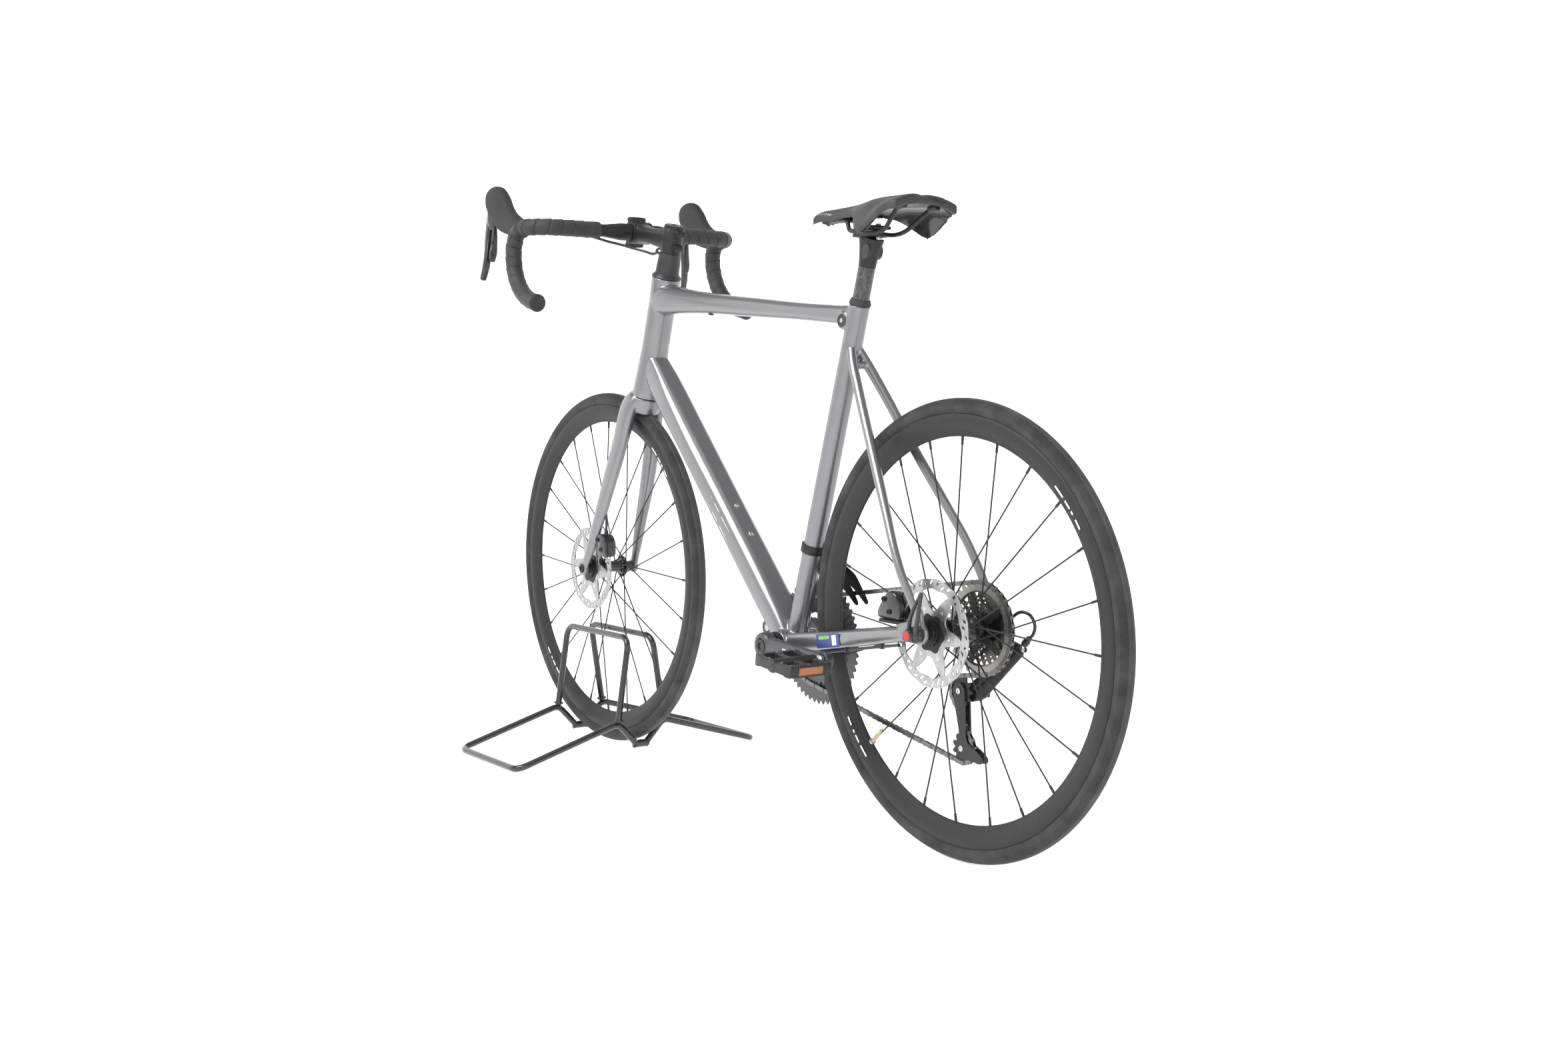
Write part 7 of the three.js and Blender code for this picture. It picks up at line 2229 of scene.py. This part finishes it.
@dataclass
class Crankset:
    """Crank arms, chainrings and spindle, and the pedals."""

    length: float = 172.5
    pedal_tilt: float = 5.5
    large: int = 52
    small: int = 36
    ring_inner: float = 48.0

    def arm(self, sign: float) -> Shell:
        """One arm from the spindle's boss to the pedal's, waisted between.

        Args:
            sign: 1 for the left arm, which points back, and -1 for the right, which points
                forward.

        Returns:
            The arm's shell.
        """
        rows = [(-2, 59.5, 21, 44), (20, 61, 19, 39), (60, 63.5, 16.5, 35), (115, 67, 14.5, 30), (150, 68.6, 13.6, 28),
                (172.5, 69, 13.5, 29)]
        blade = limb([(BOTTOM_BRACKET[0] - sign * d, sign * y, BOTTOM_BRACKET[2], w, h, 3.4, 5.5)
                      for d, y, w, h in rows], 60, 36, nose=4)
        boss = [(13, 50.4), (20.5, 50.4), (21.6, 51.6), (22.4, 56), (22.4, 65), (21, 68.4), (18, 70.2), (13, 70.4)]
        eye = [(6.9, 61.8), (13.4, 61.8), (14.6, 63), (14.6, 73.6), (13.4, 75), (6.9, 75)]
        axis = SIDEWAYS * sign
        return joined([blade, revolved([*boss, boss[0]], BOTTOM_BRACKET, axis, 56),
                       revolved([*eye, eye[0]], self.pedal_centre(sign), axis, 48)])

    def pedal_centre(self, sign: float) -> Array:
        """Place of a pedal's axle in the middle plane."""
        return BOTTOM_BRACKET + np.array([-sign * self.length, 0, 0])

    def arms(self) -> None:
        """Arms, bolts, cap and the marks on the left arm."""
        for side, sign in (("left", 1.0), ("right", -1.0)):
            shells = [self.arm(sign)]
            if sign < 0:
                shells.append(self.spider())
            piece(f"crank_{side}", joined(shells), DARK_ALLOY, Slot.DARK, "crank",
                  nodes=[f"crank_arm_{side}"], bevel=0.5, angle=40)
            cap = [(0.01, 66), (9.6, 66), (10.4, 68.6), (11.6, 70.6), (11, 71.8), (6.4, 72.0), (5.6, 69.5), (0.01, 69.5)]
            piece(f"crank_cap_{side}", revolved(cap, BOTTOM_BRACKET, SIDEWAYS * sign, 48), MATT_PLASTIC,
                  Slot.PLASTIC, "crank")
        pinch = [bolt(BOTTOM_BRACKET + np.array([-26 - 7 * k, 61, -19.2 if k else -19.8]), (0, 0, -1), 4.0, 2.4)
                 for k in (0, 1.6)]
        piece("crank_pinch_bolts", joined(pinch), STEEL, Slot.STEEL, "crank")
        bars = []
        for at, wide in ((62, 10), (76, 5), (85, 10), (99, 5), (108, 10)):
            y = 63.9 + (at - 60) * 0.0635 + 8.0 - (at - 60) * 0.019
            x = BOTTOM_BRACKET[0] - at
            z = BOTTOM_BRACKET[2]
            flat = np.array([[x, y, z - 4.2], [x - wide, y + wide * 0.045, z - 4.2],
                             [x - wide - 1.5, y + wide * 0.045, z + 4.2], [x - 1.5, y, z + 4.2]])
            bars.append(sheet(np.stack([flat - SIDEWAYS * 0.4, flat + SIDEWAYS * 0.1])))
        piece("crank_marks", joined(bars), WHITE_INK, Slot.DARK, "crank")
        middle = rod(np.array([BOTTOM_BRACKET + SIDEWAYS * y for y in (-62, 0, 62)]), 12.0, 40)
        piece("crank_spindle", middle, BLACK_ALLOY, Slot.BLACK, "crank")

    def spider(self) -> Shell:
        """Four-armed spider of the right crank."""
        angle = np.linspace(0, TAU, 160, endpoint=False)
        lobes = np.maximum(np.cos(4 * (angle - math.pi / 4 - 0.12)), 0) ** 1.1
        outer = polar(26 + 33 * lobes, angle) * np.array([-1, 1]) + BOTTOM_BRACKET[[0, 2]]
        inner = polar(14, angle) * np.array([-1, 1]) + BOTTOM_BRACKET[[0, 2]]
        return washer(outer, inner, -55.8, -50.8, 0.8)

    def rings(self) -> None:
        """Both chainrings, and the bolts that hold them."""
        big = toothed(self.large, self.ring_inner, 1.0, -49.5, BOTTOM_BRACKET)
        piece("ring_large", big, DARK_ALLOY, Slot.DARK, "crank", nodes=["chainring_large"])
        little = toothed(self.small, self.ring_inner, 1.0, -41, BOTTOM_BRACKET)
        piece("ring_small", little, DARK_ALLOY, Slot.DARK, "crank", nodes=["chainring_small"])
        bolts = []
        for k in range(4):
            turn = math.pi / 4 + 0.12 + k * math.pi / 2
            spot = BOTTOM_BRACKET + np.array([-52 * math.cos(turn), 0, 52 * math.sin(turn)])
            bolts.append(revolved([(3.4, -57.0), (5.0, -56.8), (5.0, -39.8), (3.4, -39.6)], spot, SIDEWAYS, 20))
        piece("ring_bolts", joined(bolts), STEEL, Slot.STEEL, "crank")

    def pedal(self, side: str, sign: float) -> None:
        """One platform pedal: caged body with windows, pins, end cap and reflectors.

        Formula: the body is a grid of length and width between two curved faces that thicken
        at the rails. Cells inside the windows are left out.

        Args:
            side: "left" or "right".
            sign: 1 or -1 to match.
        """
        c, s = math.cos(math.radians(self.pedal_tilt)), math.sin(math.radians(self.pedal_tilt))
        centre = self.pedal_centre(sign)

        def placed(points: Array) -> Array:
            """Pedal millimetres, from its axle, to bicycle millimetres."""
            x, y, z = points[..., 0], points[..., 1] * sign, points[..., 2]
            return np.stack([x * c - z * s, y, x * s + z * c], -1) + centre

        along = np.array([-47, -45.5, -38, -30, -22, -12, -9, 0, 9, 12, 22, 30, 38, 45.5, 47])[:, None]
        across = np.array([91, 93, 100, 112, 124, 130, 136, 148, 160, 168, 170.6])[None, :]
        trim = 1 - 0.075 * (np.clip(np.abs(along) / 47, 0, 1) ** 6) * np.sign(across - 131)
        y = 131 + (across - 131) * np.where(across > 131, np.minimum(trim, 1), np.maximum(trim, 1) * 0 + 1)
        thick = 7.6 + 1.9 * (np.abs(along) > 36) + 0 * across
        thick = thick - 2.2 * (np.abs(along) > 46)
        low = np.stack([along + 0 * y, y + 0 * along, -thick], -1)
        high = np.stack([along + 0 * y, y + 0 * along, thick], -1)
        keep = np.ones((len(along) - 1, across.shape[1] - 1), bool)
        for rows in (slice(2, 5), slice(9, 12)):
            keep[rows, 2:4] = False
            keep[rows, 6:8] = False
        body = pierced(low, high, keep, wrap=False)
        barrel = revolved([(5.6, 88.5), (10.5, 88.5), (11, 90), (11, 168), (9.5, 171.5), (3, 172)],
                          np.zeros(3), SIDEWAYS, 36)
        shell = joined([body, barrel]).moved(placed).outward()
        piece(f"pedal_body_{side}", shell, MATT_PLASTIC, Slot.PLASTIC, f"pedal_{side}",
              nodes=[f"pedal_{side}"], bevel=1.1, angle=40)
        pins = []
        for x in (-41.5, -16, 16, 41.5):
            for yy in (99, 131, 163):
                for up in (-1, 1):
                    z = 8.6 if abs(x) > 36 else 7.4
                    if abs(x) < 36 and yy == 131:
                        continue
                    pins.append(rod(np.array([[x, yy, up * z], [x, yy, up * (z + 1.3)]]), 1.7, 8))
        piece(f"pedal_pins_{side}", joined(pins).moved(placed).outward(), STEEL, Slot.STEEL, f"pedal_{side}")
        teeth = []
        for x in (-46.2, 46.2):
            for yy in np.linspace(101, 161, 13):
                teeth.append(rod(np.array([[x, yy, -9.4], [x, yy, 9.4]]), 1.3, 6))
        piece(f"pedal_serration_{side}", joined(teeth).moved(placed).outward(), MATT_PLASTIC, Slot.PLASTIC,
              f"pedal_{side}")
        glass = []
        for x in (-1, 1):
            yy = np.linspace(108, 152, 12)
            strip = [np.stack([np.full(12, x * d), yy, np.full(12, h)], -1) for d, h in
                     ((45.6, -6.2), (47.6, -5.6), (47.9, 0.0), (47.6, 5.6), (45.6, 6.2))]
            glass.append(sheet(np.stack(strip, 1)))
        piece(f"pedal_reflectors_{side}", joined(glass).moved(placed).outward(), AMBER, Slot.PLASTIC, f"pedal_{side}")
        pin = revolved([(3.0, 62), (6.3, 62), (6.3, 75.4), (8.8, 75.6), (9, 76), (9, 80), (6.4, 81.5), (5, 84), (5, 160),
                        (3.0, 160)], np.zeros(3), SIDEWAYS, 32)
        piece(f"pedal_pin_{side}", pin.moved(placed).outward(), STEEL, Slot.STEEL, "crank",
              nodes=[f"pedal_axle_{side}"])

    def build(self) -> None:
        """Crankset and pedals."""
        self.arms()
        self.rings()
        self.pedal("left", 1.0)
        self.pedal("right", -1.0)


@dataclass
class RearEnd:
    """Rear brake, through axle with its lever, the tag, and the housing under the chainstay."""

    def build(self) -> None:
        """Everything fixed round the left dropout."""
        caliper_body("rear_caliper_body", [(-457, 350), (-404, 350), (-402, 356), (-404, 364), (-424, 391),
                     (-432, 394), (-446, 390), (-457, 372)], (40, 65), 53, REAR_AXLE, "frame", "rear_caliper")
        shelf = limb([(-455, 57, 347.5, 17, 6, 6, 2), (-430, 55, 346.8, 19, 6.5, 6, 2), (-402, 52, 346, 17, 6, 6, 2)],
                     14, 24, nose=1.5)
        piece("rear_brake_shelf", shelf, BLACK_ALLOY, Slot.BLACK, "frame", bevel=0.4)
        head = [(6.4, 78.9), (12, 78.9), (12.4, 79.6), (12.4, 87), (11.0, 92), (9.2, 96), (9, 100.6), (7.8, 101.2),
                (6.4, 101.2)]
        rod_profile = [(0.01, -79), (5.7, -79), (6, -78.4), (6, 78.6), *head[1:-1], (0.01, 101.0)]
        levers = []
        for k in (-1, 1):
            rows = [(k * 6, 91.5, -4, 9, 6, 5, 2), (k * 8 - 4, 90.5, 22, 8, 5.5, 5, 2), (k * 3 - 12, 88.5, 50, 7.5, 5, 5, 2),
                    (-16, 87.5, 61, 7.5, 6, 4, 2)]
            levers.append(limb([(REAR_AXLE[0] + r[0], r[1], REAR_AXLE[2] + r[2], *r[3:]) for r in rows], 30, 22, nose=2))
        shaft = revolved(rod_profile, REAR_AXLE, SIDEWAYS, 44)
        piece("rear_axle_lever", joined([shaft, *levers]), GLOSS_PLASTIC, Slot.BLACK, "frame", nodes=["rear_axle"])
        dot = revolved([(0.01, 100.6), (7.2, 100.8), (7.2, 101.1), (5.5, 101.5), (0.01, 101.6)], REAR_AXLE, SIDEWAYS, 36)
        piece("axle_dot", dot, RED_CAP, Slot.PLASTIC, "frame")
        foot = REAR_AXLE + np.array([12, 0, -1])
        run = foot - BOTTOM_BRACKET
        rows = [(0.12, 24.5, -20.5), (0.2, 28.5, -19.6), (0.38, 41.0, -17.8), (0.6, 54.5, -16.2), (0.78, 64.5, -15),
                (0.9, 71, -14.5)]
        path = spline([BOTTOM_BRACKET + run * s * np.array([1, 0, 1]) + np.array([0, y, z]) for s, y, z in rows], 60)
        piece("brake_hose_under_stay", rod(path, 2.5, 14), HOSE_PLASTIC, Slot.PLASTIC, "frame")
        clips = [revolved([(2.6, -4), (3.9, -4), (3.9, 4), (2.6, 4)], path[k], path[k + 1] - path[k], 16) for k in (6, 30, 50)]
        piece("hose_clips", joined(clips), MATT_PLASTIC, Slot.PLASTIC, "frame")
        tag = limb([(-500, 30, 366, 13, 2.2, 5, 0.5), (-505, 30, 357, 13, 2.2, 5, 0.5)], 8, 16)
        piece("hub_tag", tag, AMBER_TAG, Slot.PLASTIC, "rear_wheel")


# ---------------------------------------------------------------- wheel stand
@dataclass
class WheelStand:
    """Stand of bent rod: two feet, two upright hoops, sleeves and weld beads."""

    rod_radius: float = 6.0
    half_length: float = 120.0
    joint: tuple[float, float] = (50.0, 68.0)
    foot_y: float = 261.0
    hoop_top: tuple[float, float] = (26.0, 229.0)
    bend: float = 22.0
    cradle_z: float = 27.9
    sleeve_half: float = 13.0

    def rods(self) -> None:
        """Left and right feet and hoops."""
        x, (jy, jz), r = self.half_length, self.joint, self.rod_radius
        flat = r * 0.93
        foot = bent([(x, 12, self.cradle_z - 0.6), (x, jy, jz), (x, self.foot_y, flat), (-x, self.foot_y, flat),
                     (-x, jy, jz), (-x, 12, self.cradle_z - 0.6)], self.bend * 0.9, 9)
        hoop = bent([(x, jy, jz + 2), (x, *self.hoop_top), (-x, *self.hoop_top), (-x, jy, jz + 2)], self.bend, 10)
        for side, flip in (("left", False), ("right", True)):
            for name, path in (("foot", foot), ("hoop", hoop)):
                shell = rod(densified(path, 7), r, 24)
                shell = shell.mirrored() if flip else shell
                piece(f"{name}_rod_{side}", shell, STAND_PAINT, Slot.STAND, "stand", stand_to_floor,
                      nodes=[f"stand_{name}_{side}"], angle=50)

    def welds(self) -> None:
        """Lumpy beads where hoops meet feet, and at the sleeves."""
        x, (jy, jz) = self.half_length, self.joint
        lean = np.array([0.0, self.hoop_top[0] - jy, self.hoop_top[1] - jz])
        lean /= np.linalg.norm(lean)
        beads = []
        for end in (-1, 1):
            for side in (-1, 1):
                spot = np.array([end * x, jy, jz]) + lean * 6.2
                up = lean.copy()
                spot[1] *= side
                up[1] *= side
                beads.append(weld_bead(spot, up, 7.2, 1.9))
        for end in (-1, 1):
            for side in (-1, 1):
                spot = np.array([end * x, side * (self.sleeve_half + 0.5), self.cradle_z - 2.4])
                beads.append(weld_bead(spot, np.array([0, 1.0, 0.3]), 6.7, 1.3))
        piece("stand_welds", joined(beads), STAND_PAINT, Slot.STAND, "stand", stand_to_floor)
        sleeves = []
        for end in (-1, 1):
            spot = np.array([end * x, 0, self.cradle_z - 2.4])
            h = self.sleeve_half
            tube = [(5.2, -h), (6.8, -h), (7.2, -h + 0.5), (7.2, h - 0.5), (6.8, h), (5.2, h)]
            sleeves.append(revolved([*tube, tube[0]], spot, SIDEWAYS, 36))
        piece("stand_sleeves", joined(sleeves), STAND_PAINT, Slot.STAND, "stand", stand_to_floor,
              nodes=["stand_coupler_front", "stand_coupler_rear"])

    def build(self) -> None:
        """The stand."""
        self.rods()
        self.welds()


def weld_bead(centre: Array, axis: Array, radius: float, size: float) -> Shell:
    """A ring of weld metal with overlapping ripples.

    Formula: a torus whose own radius swells and shrinks eighteen times round the ring.

    Args:
        centre: middle of the ring.
        axis: direction through it.
        radius: from the middle to the bead's centre line.
        size: radius of the bead.

    Returns:
        The bead's shell.
    """
    axis = np.asarray(axis, float) / np.linalg.norm(axis)
    first = np.cross(axis, [1.0, 0.2, 0.1])
    first /= np.linalg.norm(first)
    second = np.cross(axis, first)
    turn = np.linspace(0, TAU, 72, endpoint=False)[:, None, None]
    over = np.linspace(0, TAU, 10, endpoint=False)[None, :, None]
    swell = size * (1 + 0.16 * np.cos(18 * turn) + 0.07 * np.cos(5 * turn))
    out = np.cos(turn) * first + np.sin(turn) * second
    points = centre + (radius + swell * np.cos(over)) * out + swell * np.sin(over) * axis
    return sheet(points, wrap_u=True)


# ---------------------------------------------------------------- studio
@dataclass
class Studio:
    """Pale floor, soft lights and the camera."""

    eye: tuple[float, float, float] = (-2351.4, 1625.9, 686.9)
    yaw: float = -0.61975
    pitch: float = -0.07858
    roll: float = 0.00882
    lens: float = 38.71

    def camera(self) -> None:
        """Camera behind and to the left of the bicycle, at the height of its frame."""
        cp, sp, cy, sy = math.cos(self.pitch), math.sin(self.pitch), math.cos(self.yaw), math.sin(self.yaw)
        ahead = np.array([cp * cy, cp * sy, sp])
        right = np.cross(ahead, [0, 0, 1.0])
        right /= np.linalg.norm(right)
        up = np.cross(right, ahead)
        c, s = math.cos(self.roll), math.sin(self.roll)
        axes = np.stack([right * c + up * s, up * c - right * s, -ahead])
        place = bike_to_floor(np.array(self.eye))
        turned = (bike_to_floor(axes * 1000 + REAR_AXLE) - bike_to_floor(REAR_AXLE)).T
        matrix = Matrix(turned.tolist()).to_4x4()
        matrix.translation = Vector(place.tolist())
        data = bpy.data.cameras.new("camera")
        data.lens = self.lens
        data.sensor_width = 36.0
        data.clip_end = 60.0
        camera = bpy.data.objects.new("camera", data)
        camera.matrix_world = matrix
        bpy.context.scene.collection.objects.link(camera)
        bpy.context.scene.camera = camera

    def floor(self) -> None:
        """Floor that curves up into a wall far behind the bicycle on every side.

        Formula: height is zero out to a radius and then rises as the square of the distance
        beyond it.
        """
        radius = np.array([0.02, 0.5, 1.5, 3, 5, 7, 9, 10.5, 12, 13.5])[:, None]
        angle = np.linspace(0, TAU, 64, endpoint=False)[None, :]
        height = np.clip(radius - 7, 0, None) ** 2 * 0.22
        points = np.stack([radius * np.cos(angle), radius * np.sin(angle), height + 0 * angle], -1)
        shell = sheet(points, capped=False)
        shell.faces.append(np.arange(64).reshape(1, -1))
        shell.uvs.append(np.full((1, 64, 2), 0.5))
        flipped = [f if k else f[:, ::-1] for k, f in enumerate(shell.faces)]
        mesh = mesh_from("floor", Shell(shell.points, flipped, shell.uvs))
        shade(mesh, 60)
        obj = bpy.data.objects.new("floor", mesh)
        mesh.materials.append(FLOOR.material())
        bpy.context.scene.collection.objects.link(obj)

    def lamp(self, name: str, place: Sequence[float], aim: Sequence[float], size: float, power: float) -> None:
        """A square soft light that faces a point."""
        data = bpy.data.lights.new(name, "AREA")
        data.shape = "SQUARE"
        data.size = size
        data.energy = power
        light = bpy.data.objects.new(name, data)
        toward = Vector(aim) - Vector(place)
        light.matrix_world = Matrix.Translation(Vector(place)) @ toward.to_track_quat("-Z", "Y").to_matrix().to_4x4()
        bpy.context.scene.collection.objects.link(light)

    def build(self) -> None:
        """Camera, floor, lights and an even pale surround."""
        self.camera()
        self.floor()
        self.lamp("upper_left_box", (0.2, 2.3, 3.0), (0.0, 0.0, 0.5), 1.7, 100.0)
        self.lamp("near_box", (-3.3, 2.1, 1.5), (0.0, 0.0, 0.6), 1.1, 26.0)
        self.lamp("overhead", (0.0, 0.0, 3.8), (0.0, 0.0, 0.4), 1.6, 16.0)
        world = bpy.data.worlds.new("surround")
        world.use_nodes = True
        world.node_tree.nodes["Background"].inputs[0].default_value = (1.0, 1.0, 1.0, 1.0)
        world.node_tree.nodes["Background"].inputs[1].default_value = 0.34
        bpy.context.scene.world = world
        bpy.context.scene.view_settings.view_transform = "Standard"


# ---------------------------------------------------------------- main
def main() -> None:
    """Builds the studio and every assembly."""
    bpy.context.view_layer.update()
    Studio().build()
    wheels = [
        Wheel("front", FRONT_AXLE, "front_wheel", (17, -28), 21, 50, 39.6, 9.6, math.radians(100),
              math.radians(-46)),
        Wheel("rear", REAR_AXLE, "rear_wheel", (30, -19), 24, 71, 53, 16.6, math.radians(-45),
              math.radians(139)),
    ]
    assemblies = [*wheels, Frame(), Fork(), Cockpit(), Saddle(), Drivetrain(), Crankset(), RearEnd(), WheelStand()]
    for assembly in assemblies:
        LOG.info("building %s", type(assembly).__name__)
        assembly.build()


if __name__ == "__main__":
    logging.basicConfig(level=logging.INFO, format="%(name)s: %(message)s")
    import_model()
    main()
